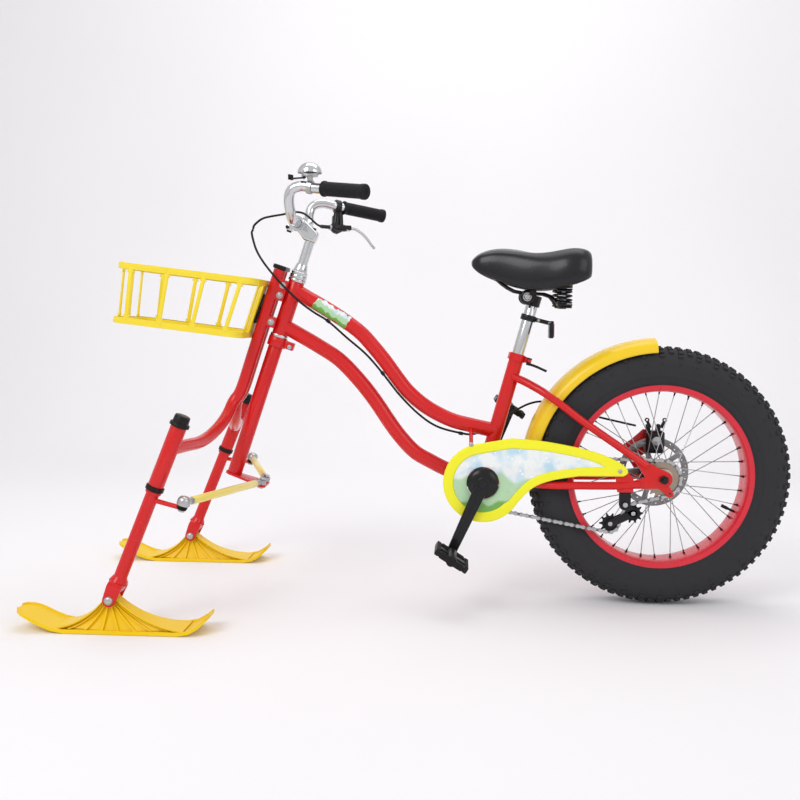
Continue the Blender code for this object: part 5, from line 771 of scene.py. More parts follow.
@dataclass
class MainFrame:
    """Welded tubes between the head tube, the seat and the rear wheel."""

    tube_radius: float = 0.0170
    seat_tube_radius: float = 0.0166
    stay_radius: float = 0.0085
    chainstay_radius: float = 0.0090
    stay_y: float = 0.069

    def main_tubes(self) -> None:
        """Builds the head tube, both main tubes, the seat tube and the shell."""
        top = [(-0.832, 0.705), (-0.807, 0.690), (-0.772, 0.670), (-0.726, 0.642), (-0.680, 0.609), (-0.648, 0.575),
               (-0.620, 0.541), (-0.595, 0.507), (-0.567, 0.473), (-0.525, 0.439), (-0.472, 0.412),
               (-0.426, 0.400), (-0.368, 0.388)]
        down = [(-0.859, 0.624), (-0.819, 0.602), (-0.772, 0.575), (-0.726, 0.545), (-0.680, 0.498),
                (-0.645, 0.454), (-0.610, 0.403), (-0.584, 0.369), (-0.552, 0.336), (-0.517, 0.316),
                (-0.478, 0.297), (-0.440, 0.287), (-0.397, 0.279)]
        shape = Shape()
        paths = [smooth_path([at(x, 0, z) for x, z in route], 48) for route in (top, down)]
        for path in paths:
            shape.tube(path, self.tube_radius, 6)
        shape.rod(steer(0.337), steer(0.465), 0.0180, 36, bevel=0.001)
        shape.rod(at(-0.397, 0, 0.279), seat(0), self.seat_tube_radius, 36)
        shape.rod(at(-0.397, -0.034, 0.279), at(-0.397, 0.034, 0.279), 0.0210, 36, bevel=0.0008)
        shape.rod(at(-0.424, -0.005, 0.395), at(-0.424, -0.0737, 0.365), 0.0045, 12)
        shape.piece("main_frame_tubes", RED, "frame", ["front_frame"])
        Shape().tube(paths[0][4:13], self.tube_radius + 0.00035, 6).piece("top_tube_print", TUBE_PRINT, "frame")
        cups = Shape()
        for low, high in ((0.3312, 0.338), (0.464, 0.4708)):
            cups.rod(steer(low), steer(high), 0.0205, 36, bevel=0.0015)
        cups.piece("headset_cups", CHROME, "frame")

    def rear_triangle(self) -> None:
        """Builds the stays, bridges, dropouts and tabs."""
        chainstay = [(-0.392, 0.030, 0.279), (-0.335, 0.038, 0.277), (-0.308, 0.0445, 0.276),
                     (-0.270, 0.0580, 0.275), (-0.240, 0.0665, 0.275), (-0.205, self.stay_y, 0.2755),
                     (-0.100, self.stay_y, 0.277), (-0.052, self.stay_y, 0.281)]
        seatstay = [(-0.330, 0.012, 0.512), (-0.300, 0.034, 0.499), (-0.262, 0.056, 0.478), (-0.225, 0.0662, 0.453),
                    (-0.170, self.stay_y, 0.412), (-0.038, self.stay_y, 0.3225)]
        shape = Shape()
        for _, sign in SIDES:
            for route, radius in ((seatstay, self.stay_radius), (chainstay, self.chainstay_radius)):
                shape.tube(smooth_path([at(x, sign * y, z) for x, y, z in route], 30), radius, 4)
            outline = arc(AXLE, 0.019, 60, -50, 14) + arc((0.014, 0.261), 0.0085, 0, -180, 10)
            outline += [(-0.012, 0.2720), (-0.078, 0.2705), (-0.078, 0.2850), (-0.040, 0.2960), (-0.064, 0.3330),
                        (-0.056, 0.3420), (-0.012, 0.3180)]
            eye = arc((0.014, 0.261), 0.0030, 0, 345, 12)
            shape.side_plate([outline, eye], 0.005, sign * self.stay_y)
        shape.rod(at(-0.272, -0.054, 0.484), at(-0.272, 0.054, 0.484), 0.006, 16)
        shape.block((0.026, 0.074, 0.005), at(-0.338, 0, 0.277))
        shape.side_plate([[(-0.101, 0.263), (-0.066, 0.263), (-0.066, 0.292), (-0.086, 0.318), (-0.108, 0.318)]],
                         0.004, -0.0715)
        shape.side_plate([[(-0.078, 0.345), (-0.040, 0.316), (-0.006, 0.340), (-0.006, 0.384), (-0.022, 0.390),
                           (-0.048, 0.366)]], 0.004, 0.0685)
        shape.piece("rear_stays_and_dropouts", RED, "frame", ["rear_frame"])
        screws = Shape()
        for z in (0.348, 0.376):
            screws.rod(at(-0.014, 0.0702, z), at(-0.014, 0.0745, z), 0.0048, 6, bevel=0.0005)
        screws.piece("caliper_screws", ZINC, "frame")

    def ski_carriers(self) -> None:
        """Builds the twin posts with their arms, sleeves and gussets, and the caps on the sleeves."""
        for side, sign in SIDES:
            route = [steer(h, 0.0425, sign * 0.0150) for h in (0.478, 0.38, 0.28, 0.190)]
            route += [at(x, sign * y, z) for x, y, z in [(-0.9690, 0.0190, 0.4485), (-0.9775, 0.0400, 0.4215),
                      (-0.9860, 0.0700, 0.4005), (-0.9945, 0.1000, 0.3865), (-1.0030, 0.1400, 0.3755),
                      (-1.0105, 0.1800, 0.3715), (-1.0200, 0.2400, 0.3730)]]
            route.append(leg(sign, 0.333))
            shape = Shape().tube(smooth_path(route, 60), 0.0135, 5)
            shape.rod(leg(sign, 0.252), leg(sign, 0.383), 0.0165, 32, bevel=0.001)
            gusset = [(0.010, 0.000), (0.012, -0.055), (0.018, -0.044), (0.028, -0.034), (0.050, -0.020),
                      (0.082, -0.012), (0.090, 0.000)]
            inwards = -ACROSS * sign
            shape.plate([gusset], 0.004, axes_frame(leg(sign, 0.337), inwards, LEG_UP, inwards.cross(LEG_UP)))
            shape.piece("ski_carrier_" + side, RED, "frame", ["ski_frame_" + side])
            cap = [(0, 0.4073), (0.0130, 0.4073), (0.0150, 0.4065), (0.0160, 0.4045), (0.0168, 0.3915),
                   (0.0195, 0.3908), (0.0205, 0.3895), (0.0205, 0.3842), (0.0170, 0.3833)]
            shape = Shape().turned(cap, leg(sign, 0), LEG_UP, 40)
            shape.turned([(0.0136, 0.2422), (0.0183, 0.2422), (0.0190, 0.2430), (0.0190, 0.2510), (0.0183, 0.2517),
                          (0.0136, 0.2517)], leg(sign, 0), LEG_UP, 40)
            shape.piece("sleeve_caps_" + side, BLACK, "frame", ["leg_bush_" + side])

    def clamps(self) -> None:
        """Builds the spacer clamps between the posts and the head tube, with their bolts."""
        shape, bolts = Shape(), Shape()
        for low, high in ((0.3475, 0.3715), (0.4110, 0.4590)):
            shape.block((0.0360, 0.0500, high - low), steer((low + high) / 2, 0.0310), STEER_UP, STEER_AHEAD, 0.0025)
            shape.block((0.0080, 0.0180, high - low - 0.004), steer((low + high) / 2, 0.0535), STEER_UP,
                        STEER_AHEAD, 0.0015)
        for height in (0.447, 0.423, 0.3595):
            place = steer(height, 0.0235)
            bolts.turned([(0.0001, -0.0295), (0.0036, -0.0292), (0.0056, -0.0278), (0.0060, -0.0262),
                          (0.0060, -0.0250), (0.0001, -0.0250)], place, ACROSS, 24)
            bolts.rod(place + ACROSS * 0.0250, place + ACROSS * 0.0300, 0.0058, 6, bevel=0.0005)
            bolts.turned([(0.0060, -0.0254), (0.0075, -0.0254), (0.0075, -0.0246), (0.0060, -0.0246)], place, ACROSS,
                         24)
        shape.piece("post_clamps", RED, "frame", ["upper_post_clamp", "lower_post_clamp"])
        bolts.piece("post_clamp_bolts", ZINC, "frame")

    def caliper(self) -> None:
        """Builds the round adjuster, its ring and the horns on the brake caliper."""
        low, high = (Vector(corner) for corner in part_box("caliper_body"))
        middle = (low + high) / 2
        face = Vector((middle.x + 0.002, low.y, middle.z - 0.004))
        Shape().rod(face - ACROSS * 0.0022, face + ACROSS * 0.001, 0.0105, 32, bevel=0.0008).rod(
            face - ACROSS * 0.0034, face, 0.0040, 6, bevel=0.0004).piece("caliper_adjuster", ZINC, "frame")
        horns = Shape()
        for step in (-1, 1):
            foot = Vector((middle.x + step * 0.0125, low.y + 0.0065, high.z - 0.006))
            horns.rod(foot, foot + Vector((step * 0.0065, 0, 0.0150)), 0.0042, 16, 0.0034, bevel=0.0006)
            horns.turned([(0.0024, -0.0030), (0.0052, -0.0030), (0.0052, 0.0030), (0.0024, 0.0030),
                          (0.0024, -0.0030)], foot + Vector((step * 0.0075, 0, 0.0180)), ACROSS, 20)
        horns.turned([(0.0107, -0.0012), (0.0138, -0.0012), (0.0142, 0.0002), (0.0142, 0.0020), (0.0107, 0.0020),
                      (0.0107, -0.0012)], face, ACROSS, 36)
        horns.piece("caliper_horns", SATIN_BLACK, "frame")

    def build(self) -> None:
        """Builds the whole frame."""
        self.main_tubes()
        self.rear_triangle()
        self.ski_carriers()
        self.clamps()
        self.caliper()
        for name, finish in (("post_cap", BLACK), ("basket_strap", DARK_STEEL), ("bottom_bracket", DARK_STEEL),
                             ("seat_collar", RED), ("qr_lever", SATIN_BLACK), ("caliper_body", SATIN_BLACK),
                             ("caliper_arm", SATIN_BLACK), ("hub_axle", DARK_STEEL)):
            dress_node(name, finish)


@dataclass
class Skis:
    """Skis, the steered legs that carry them and the tie rods."""

    half_width: float = 0.044
    thickness: float = 0.005
    ribs: int = 8

    def sole(self, sign: int) -> Shape:
        """Sole with raised edges, turned up at the tip and the tail.

        Args:
            sign: -1 on the near side, 1 on the far one.

        Returns:
            The sole, which the fan is added to.
        """
        stations = [(-1.351, 0.014, 0.0365), (-1.346, 0.027, 0.0350), (-1.334, 0.0380, 0.0315),
                    (-1.322, 0.0420, 0.0270), (-1.310, 0.044, 0.0215), (-1.290, 0.044, 0.0120),
                    (-1.270, 0.044, 0.0045), (-1.245, 0.044, 0), (-1.120, 0.044, 0), (-1.010, 0.044, 0),
                    (-0.989, 0.044, 0.0040), (-0.978, 0.0435, 0.0100), (-0.968, 0.0425, 0.0165),
                    (-0.955, 0.0345, 0.0285), (-0.950, 0.0210, 0.0330)]
        loops = []
        for x, half, z in stations:
            inner, top = half - 0.004, z + self.thickness
            outline = [(-half, z + 0.001), (-half + 0.002, z), (half - 0.002, z), (half, z + 0.001),
                       (half, top + 0.003), (half - 0.001, top + 0.0035), (inner, top + 0.003), (inner - 0.001, top),
                       (-inner + 0.001, top), (-inner, top + 0.003), (-half + 0.001, top + 0.0035),
                       (-half, top + 0.003)]
            loops.append([at(x, sign * SKI_Y + y, height) for y, height in outline])
        return Shape().sections(loops)

    def fan_line(self, share: float, sign: int, steps: int = 12) -> list[Vector]:
        """Line down the fan from the hub to the sole.

        Args:
            share: 0 at the fan's front edge, 1 at its rear edge.
            sign: side of the bike.
            steps: number of chords.

        Returns:
            The places on the line, in the ski's middle plane.
        """
        top = Vector((-1.169 + 0.025 * share, 0, 0.0640 - 0.006 * (1 - abs(2 * share - 1))))
        foot = Vector((-1.272 + 0.272 * share, 0, 0.0075 - 0.0035 * (1 - abs(2 * share - 1))))
        sag = 0.0175 * abs(2 * share - 1) ** 1.6
        line = []
        for i in range(steps + 1):
            t = i / steps
            line.append(at(0, sign * SKI_Y, 0) + top.lerp(foot, t) - UP * sag * 4 * t * (1 - t) * (1 - 0.25 * t))
        return line

    @staticmethod
    def spread(t: float, top: float, foot: float) -> float:
        """Half width of the fan at a share of the way down."""
        return top + (foot - top) * t ** 1.5

    def tent(self, shape: Shape, sign: int, shares: Sequence[float], top: float, foot: float) -> None:
        """Adds a solid between lines down the fan.

        Args:
            shape: the shape that it goes in.
            sign: side of the bike.
            shares: the lines, as shares from front to rear.
            top: half width at the hub.
            foot: half width at the sole.
        """
        loops = []
        for share in shares:
            line = self.fan_line(share, sign)
            wide = [self.spread(i / (len(line) - 1), top, foot) for i in range(len(line))]
            loops.append([p - ACROSS * w for p, w in zip(line, wide)]
                         + [p + ACROSS * w for p, w in zip(reversed(line), reversed(wide))])
        shape.sections(loops)

    def fan(self, shape: Shape, sign: int) -> None:
        """Adds the upright fan: tapered web, flared edge lips, radiating ribs and hub.

        Args:
            shape: shape that it is added to.
            sign: -1 on the near side, 1 on the far one.
        """
        self.tent(shape, sign, [i / 16 for i in range(17)], 0.0085, 0.0250)
        for i in range(self.ribs + 1):
            share = i / self.ribs
            self.tent(shape, sign, [max(share - 0.011, 0), min(share + 0.011, 1)], 0.0155, 0.0300)
        for share, way in ((0, -1), (1, 1)):
            line = self.fan_line(share, sign)
            loops = []
            for i, place in enumerate(line):
                t = i / (len(line) - 1)
                wide = self.spread(t, 0.0145, 0.0405)
                loops.append([place + Vector((way * dx, y, dz)) for dx, y, dz in (
                    (0.0003, -wide, 0.0018), (0.0003, wide, 0.0018), (-0.0012, wide, -0.0008),
                    (-0.0012, -wide, -0.0008))])
            shape.sections(loops)
        hub = leg(sign, 0)
        shape.rod(hub - ACROSS * 0.0165, hub + ACROSS * 0.0165, 0.0125, 32, bevel=0.001)

    def carrier(self, side: str, sign: int) -> None:
        """Builds a leg with its fork, bolt, steering arm and ball stud.

        Args:
            side: near or far.
            sign: -1 on the near side, 1 on the far one.
        """
        shape = Shape().rod(leg(sign, 0.024), leg(sign, 0.380), 0.0138, 36)
        shape.rod(leg(sign, 0.2358), leg(sign, 0.2418), 0.0165, 32, bevel=0.001)
        shape.block((0.0300, 0.0440, 0.0175), leg(sign, 0.0305), LEG_UP, LEG_AHEAD, 0.0030)
        shape.rod(leg(sign, 0.036), leg(sign, 0.050), 0.0200, 36, 0.0138)
        for cheek in (-1, 1):
            matrix = axes_frame(leg(sign, 0) + ACROSS * cheek * 0.0199, LEG_AHEAD, LEG_UP, LEG_AHEAD.cross(LEG_UP))
            shape.plate([arc((0, 0), 0.0135, 180, 360, 20) + [(0.0155, 0.026), (0.0150, 0.034), (-0.0150, 0.034),
                                                              (-0.0155, 0.026)]], 0.006, matrix, 0.0012)
        ball = leg(sign, 0.2488, BALL_AHEAD, BALL_OUT)
        shape.rod(leg(sign, 0.222), ball - STEER_UP * 0.0113, 0.0050, 20)
        shape.rod(ball - STEER_UP * 0.0143, ball - STEER_UP * 0.0063, 0.0085, 28, bevel=0.001)
        shape.piece("steered_leg_" + side, RED, "leg_" + side, ["leg_" + side])
        bolts = Shape()
        for way in (-1, 1):
            bolts.turned([(0, 0.0290), (0.0040, 0.0288), (0.0072, 0.0276), (0.0090, 0.0252), (0.0096, 0.0229),
                          (0, 0.0229)], leg(sign, 0), ACROSS * way, 32)
        bolts.rod(leg(sign, 0) - ACROSS * 0.0229, leg(sign, 0) + ACROSS * 0.0229, 0.0045, 16)
        bolts.rod(ball - STEER_UP * 0.0188, ball - STEER_UP * 0.0138, 0.0072, 6, bevel=0.0006)
        bolts.rod(ball - STEER_UP * 0.0138, ball + STEER_UP * 0.0085, 0.0040, 16)
        bolts.piece("leg_bolts_" + side, ZINC, "leg_" + side)
        Shape().turned([(0.0050, -0.0150), (0.0086, -0.0150), (0.0096, -0.0140), (0.0090, -0.0126), (0.0108, -0.0112),
                        (0.0094, -0.0098), (0.0108, -0.0084), (0.0106, -0.0072), (0.0050, -0.0070)], ball, STEER_UP,
                       36).piece("ball_boot_" + side, RUBBER, "leg_" + side)

    def rods(self, side: str, sign: int) -> None:
        """Builds a tie rod with its housings.

        Args:
            side: near or far.
            sign: -1 on the near side, 1 on the far one.
        """
        inner = steer(0.0035, BALL_AHEAD, sign * BALL_OUT)
        outer = leg(sign, 0.2488, BALL_AHEAD, BALL_OUT)
        along = (outer - inner).normalized()
        Shape().rod(inner + along * 0.030, outer - along * 0.030, 0.0084, 28, bevel=0.0020).piece(
            "tie_rod_bar_" + side, PALE, "tie_rod_" + side, ["tie_rod_" + side])
        ends = Shape()
        for place, way in ((inner, along), (outer, -along)):
            ends.turned([(0.0055, -0.005), (0.0100, -0.005), (0.0105, -0.0045), (0.0105, 0.0045), (0.0100, 0.005),
                         (0.0055, 0.005), (0.0055, -0.005)], place, STEER_UP, 28)
            ends.rod(place + way * 0.008, place + way * 0.026, 0.0066, 24, 0.0058)
            ends.rod(place + way * 0.026, place + way * 0.032, 0.0080, 6, bevel=0.0006)
        ends.turned([(0.0112, -0.0052), (0.0130, -0.0050), (0.0135, -0.0030), (0.0135, 0.0040), (0.0122, 0.0090),
                     (0.0088, 0.0125), (0.0042, 0.0140), (0, 0.0143), (0, 0.0128), (0.0080, 0.0118),
                     (0.0105, 0.0080), (0.0112, 0.0040), (0.0112, -0.0052)], outer, STEER_UP, 40)
        ends.piece("rod_ends_" + side, ZINC, "tie_rod_" + side)

    def build(self) -> None:
        """Builds both skis, legs and tie rods."""
        for side, sign in SIDES:
            shape = self.sole(sign)
            self.fan(shape, sign)
            shape.piece("moulded_ski_" + side, SKI, "ski_" + side, ["ski_" + side])
            self.carrier(side, sign)
            self.rods(side, sign)


@dataclass
class Steering:
    """Column, stem, handlebar and the controls on it."""

    bar_radius: float = 0.0110

    @staticmethod
    def grip_ends(sign: int) -> tuple[Vector, Vector]:
        """Inner and outer end of a grip's middle line."""
        return at(-0.741, sign * 0.172, 0.910), at(-0.640, sign * 0.235, 0.895)

    def bar_path(self) -> list[Vector]:
        """Middle line of the bar from the near grip's end to the far one's.

        Returns:
            Places along it.
        """
        start, end = self.grip_ends(1)
        way = (end - start).normalized()
        bends = [(-0.8215, 0.062, 0.8535), (-0.8185, 0.105, 0.8525), (-0.8180, 0.132, 0.8660),
                 (-0.8190, 0.146, 0.8920), (-0.8115, 0.1505, 0.9110), (-0.7900, 0.1540, 0.9180)]
        far = [steer(0.590, 0.038) + ACROSS * 0.030] + [at(*bend) for bend in bends] + [start - way * 0.024]
        near = [Vector((p.x, -p.y, p.z)) for p in reversed(far)]
        tip = end - way * 0.014
        return [Vector((tip.x, -tip.y, tip.z))] + smooth_path(near + far, 90) + [tip]

    def column(self) -> None:
        """Builds the painted column with its clamp and arm plate, the chromed headset races and the screws."""
        shape = Shape().rod(steer(-0.007), steer(0.312), 0.0168, 40, bevel=0.001)
        shape.rod(steer(0.30), steer(0.486), 0.0127, 32)
        shape.turned([(0.0168, 0.3088), (0.0210, 0.3088), (0.0215, 0.3095), (0.0215, 0.3303), (0.0210, 0.3310),
                      (0.0168, 0.3310)], steer(0), STEER_UP, 40)
        shape.block((0.024, 0.018, 0.018), steer(0.3198, -0.029), STEER_UP, STEER_AHEAD, 0.002)
        hull = arc((BALL_AHEAD, BALL_OUT), 0.0115, 60, 180, 8)
        hull += arc((BALL_AHEAD, -BALL_OUT), 0.0115, 180, 300, 8) + arc((0, 0), 0.020, 300, 420, 12)
        shape.plate([hull], 0.005, turned_frame(steer(-0.0045), STEER_UP, STEER_AHEAD))
        shape.piece("painted_column", RED, "steering", ["steering_column"])
        race = Shape().rod(steer(0.4712), steer(0.4800), 0.0196, 36, bevel=0.0012)
        race.rod(steer(0.4800), steer(0.4880), 0.0185, 8, bevel=0.0010)
        race.rod(steer(0.4880), steer(0.5060), 0.0165, 36, 0.0125, bevel=0.0008)
        race.rod(steer(0.3262), steer(0.3308), 0.0200, 36, bevel=0.0008)
        race.piece("headset_races", CHROME, "steering")
        screws = Shape()
        for sign in (-1, 1):
            foot = steer(-0.0045, BALL_AHEAD, sign * BALL_OUT)
            screws.rod(foot - STEER_UP * 0.0065, foot - STEER_UP * 0.0025, 0.0078, 6, bevel=0.0006)
            screws.rod(foot - STEER_UP * 0.0025, foot + STEER_UP * 0.0134, 0.0040, 16)
            screws.rod(foot + STEER_UP * 0.0134, foot + STEER_UP * 0.0179, 0.0078, 6, bevel=0.0006)
        clamp = steer(0.3178, -0.0325)
        screws.rod(clamp - ACROSS * 0.013, clamp + ACROSS * 0.013, 0.0055, 6, bevel=0.0005)
        screws.piece("column_screws", ZINC, "steering")

    def stem(self) -> None:
        """Builds the quill stem and its bar clamp."""
        centre = steer(0.590, 0.038)
        shape = Shape().rod(steer(0.43), steer(0.586), 0.0111, 36)
        hull = arc((0, 0.038), 0.0172, -18, 195, 22) + [(-0.0310, 0.0128), (-0.0310, -0.0128)]
        hull += arc((-0.0115, -0.0080), 0.0066, 270, 345, 6)
        shape.plate([hull], 0.0270, turned_frame(steer(0.590), -ACROSS, STEER_UP), 0.0060, 3)
        shape.turned([(0.0116, -0.020), (0.0172, -0.020), (0.0182, -0.019), (0.0182, 0.019), (0.0172, 0.020),
                      (0.0116, 0.020), (0.0116, -0.020)], centre, ACROSS, 40)
        bolts = Shape().rod(steer(0.584), steer(0.5925), 0.0062, 6, bevel=0.0006)
        low = centre - STEER_UP * 0.0150 + STEER_AHEAD * 0.0145
        shape.block((0.014, 0.026, 0.012), low, STEER_UP, STEER_AHEAD, 0.0020)
        bolts.rod(low - STEER_UP * 0.0100, low - STEER_UP * 0.0055, 0.0060, 6, bevel=0.0005)
        bolts.rod(low + STEER_AHEAD * 0.004 - ACROSS * 0.0165, low + STEER_AHEAD * 0.004 + ACROSS * 0.0165, 0.0045, 6,
                  bevel=0.0005)
        bolts.piece("stem_bolts", DARK_STEEL, "steering")
        shape.piece("quill_stem", CHROME, "steering", ["stem"])

    def bar(self) -> None:
        """Builds the bar, the ribbed grips and the bell's dome."""
        path = self.bar_path()
        Shape().tube(path, self.bar_radius, 6).piece("swept_handlebar", CHROME, "steering", ["handlebar"])
        for side, sign in SIDES:
            start, end = self.grip_ends(sign)
            length = (end - start).length - 0.008
            profile = [(0.0113, 0), (0.0158, 0), (0.0166, 0.0008), (0.0168, 0.0040), (0.0162, 0.0050),
                       (0.0152, 0.0062)]
            count = 22
            pitch = (length - 0.026) / count
            for i in range(count):
                low = 0.012 + pitch * i
                profile += [(0.0147, low), (0.0151, low + pitch * 0.25), (0.0151, low + pitch * 0.75),
                            (0.0147, low + pitch * 0.95)]
            profile += [(0.0152, length - 0.012), (0.0162, length - 0.009), (0.0164, length - 0.002),
                        (0.0156, length), (0.0060, length), (0.0052, length - 0.0012), (0, length - 0.0012)]
            Shape().turned(profile, start, end - start, 40).piece("ribbed_grip_" + side, RUBBER, "steering",
                                                                  ["grip_" + side])
        dome = [(0.0248, 0.0004)] + [(0.0260 * math.sin(a), 0.0230 * math.cos(a))
                                    for a in (math.radians(90 - 6 * i) for i in range(15))] + [(0, 0.0230)]
        Shape().turned(dome, at(-0.772, -0.1590, 0.944), UP, 48).piece("polished_bell_dome", CHROME, "steering",
                                                                       ["bell_dome"])
        for name, finish in (("bell_base", ZINC), ("bell_lever", BLACK), ("lever_bracket", SATIN_BLACK)):
            dress_node(name, finish)
        self.lever_cover()

    def lever_cover(self) -> None:
        """Builds the moulded cover over the brake lever's arm and its cable adjuster."""
        start, end = self.grip_ends(1)
        along = (end - start).normalized()
        ring = start - along * 0.0150
        pivot = at(-0.727, 0.170, 0.860)
        stop = at(-0.757, 0.154, 0.860)
        down = (stop - ring).normalized()
        cover = Shape().turned([(0.0113, -0.0065), (0.0150, -0.0065), (0.0160, -0.0055), (0.0160, 0.0055),
                                (0.0150, 0.0065), (0.0113, 0.0065), (0.0113, -0.0065)], ring, along, 36)
        cover.rod(ring + down * 0.012, stop, 0.0072, 24, 0.0086, bevel=0.0015)
        cover.rod(stop + (stop - pivot).normalized() * 0.010, stop - (stop - pivot).normalized() * 0.012, 0.0088, 24,
                  bevel=0.0020)
        blade_axis = Vector((0.53909, -0.80626, 0.24359)).normalized()
        frame = turned_frame(stop, blade_axis, (pivot - stop).normalized())
        cover.plate([[(-0.0120, -0.0060), (-0.0060, -0.0120), (0.0040, -0.0150), (0.0150, -0.0100), (0.0180, -0.0040),
                      (0.0180, 0.0040), (0.0130, 0.0100), (0.0110, 0.0260), (-0.0040, 0.0300), (-0.0070, 0.0120),
                      (-0.0120, 0.0060)]], 0.0120, frame, 0.0020, 2)
        cover.piece("lever_cover", SATIN_BLACK, "steering")
        curve = smooth_path([at(*p) for p in ((-0.7270, 0.1700, 0.8600), (-0.7130, 0.1795, 0.8590),
                                              (-0.6970, 0.1890, 0.8500), (-0.6840, 0.1970, 0.8370),
                                              (-0.6740, 0.2030, 0.8230), (-0.6680, 0.2075, 0.8165))], 26)
        blade = Shape().tube(curve, 0.0034, 4)
        blade.rod(pivot - blade_axis * 0.0045, pivot + blade_axis * 0.0045, 0.0068, 24, bevel=0.0008)
        blade.turned([(0, -0.0046), (0.0026, -0.0038), (0.0046, 0), (0.0026, 0.0038), (0, 0.0046)], curve[-1],
                     curve[-1] - curve[-2], 24)
        blade.piece("curved_lever_blade", ALLOY, "brake_lever", ["lever_blade"])
        tip = at(-0.789, 0.131, 0.861)
        way = (tip - stop).normalized()
        Shape().rod(stop + way * 0.011, stop + way * 0.017, 0.0062, 20, bevel=0.0006).rod(
            stop + way * 0.017, tip, 0.0040, 20, 0.0034).piece("cable_adjuster", ZINC, "steering")

    def cables(self) -> None:
        """Builds the brake cable's housing in its two runs, with its clips."""
        split = steer(0.545, 0.1285, -0.0175)
        upper = [at(*p) for p in [(-0.7902, 0.1302, 0.8610), (-0.7990, 0.1180, 0.8660), (-0.8090, 0.0950, 0.8760),
                                  (-0.8220, 0.0650, 0.8850), (-0.8400, 0.0400, 0.8850), (-0.8620, 0.0180, 0.8770),
                                  (-0.8850, 0.0020, 0.8710), (-0.9040, -0.0100, 0.8640)]]
        upper += [split + STEER_UP * 0.010, split + STEER_UP * 0.0003]
        lower = [split - STEER_UP * 0.0003, split - STEER_UP * 0.010]
        lower += [at(*p) for p in [
            (-0.9160, -0.0230, 0.7970), (-0.9000, -0.0310, 0.7700), (-0.8780, -0.0400, 0.7430),
            (-0.8550, -0.0440, 0.7180), (-0.8310, -0.0370, 0.6930), (-0.8090, -0.0250, 0.6720),
            (-0.7820, -0.0130, 0.6520), (-0.7530, -0.0080, 0.6340), (-0.7090, -0.0060, 0.5960),
            (-0.6650, -0.0060, 0.5590), (-0.6270, -0.0060, 0.5160), (-0.5870, -0.0120, 0.4670),
            (-0.5410, -0.0100, 0.4220), (-0.4990, -0.0050, 0.3950), (-0.4470, 0.0000, 0.3810),
            (-0.4200, 0.0080, 0.3780), (-0.3920, 0.0240, 0.3860), (-0.3600, 0.0340, 0.4060),
            (-0.3160, 0.0400, 0.4340), (-0.2860, 0.0540, 0.4470), (-0.2580, 0.0730, 0.4500),
            (-0.2250, 0.0815, 0.4430), (-0.1850, 0.0830, 0.4320), (-0.1280, 0.0780, 0.4160),
            (-0.0770, 0.0700, 0.4050), (-0.0400, 0.0630, 0.3975)]]
        Shape().tube(smooth_path(upper, 70), 0.0025, 3).piece("brake_cable_upper", BLACK, "steering",
                                                              ["cable_steering"])
        Shape().tube(smooth_path(lower, 160), 0.0025, 3).piece("brake_cable_lower", BLACK, "frame",
                                                               ["cable_frame"])
        clips = Shape()
        for x, z, way in ((-0.753, 0.634, (0.80, 0, -0.60)), (-0.627, 0.516, (0.62, 0, -0.78)),
                          (-0.447, 0.381, (0.97, 0, -0.20))):
            along = Vector(way)
            clips.rod(at(x, -0.006, z) - along * 0.005, at(x, -0.006, z) + along * 0.005, 0.0040, 16, bevel=0.0008)
        clips.piece("cable_clips", BLACK, "frame")

    def build(self) -> None:
        """Builds the whole steering."""
        self.column()
        self.stem()
        self.bar()
        self.cables()


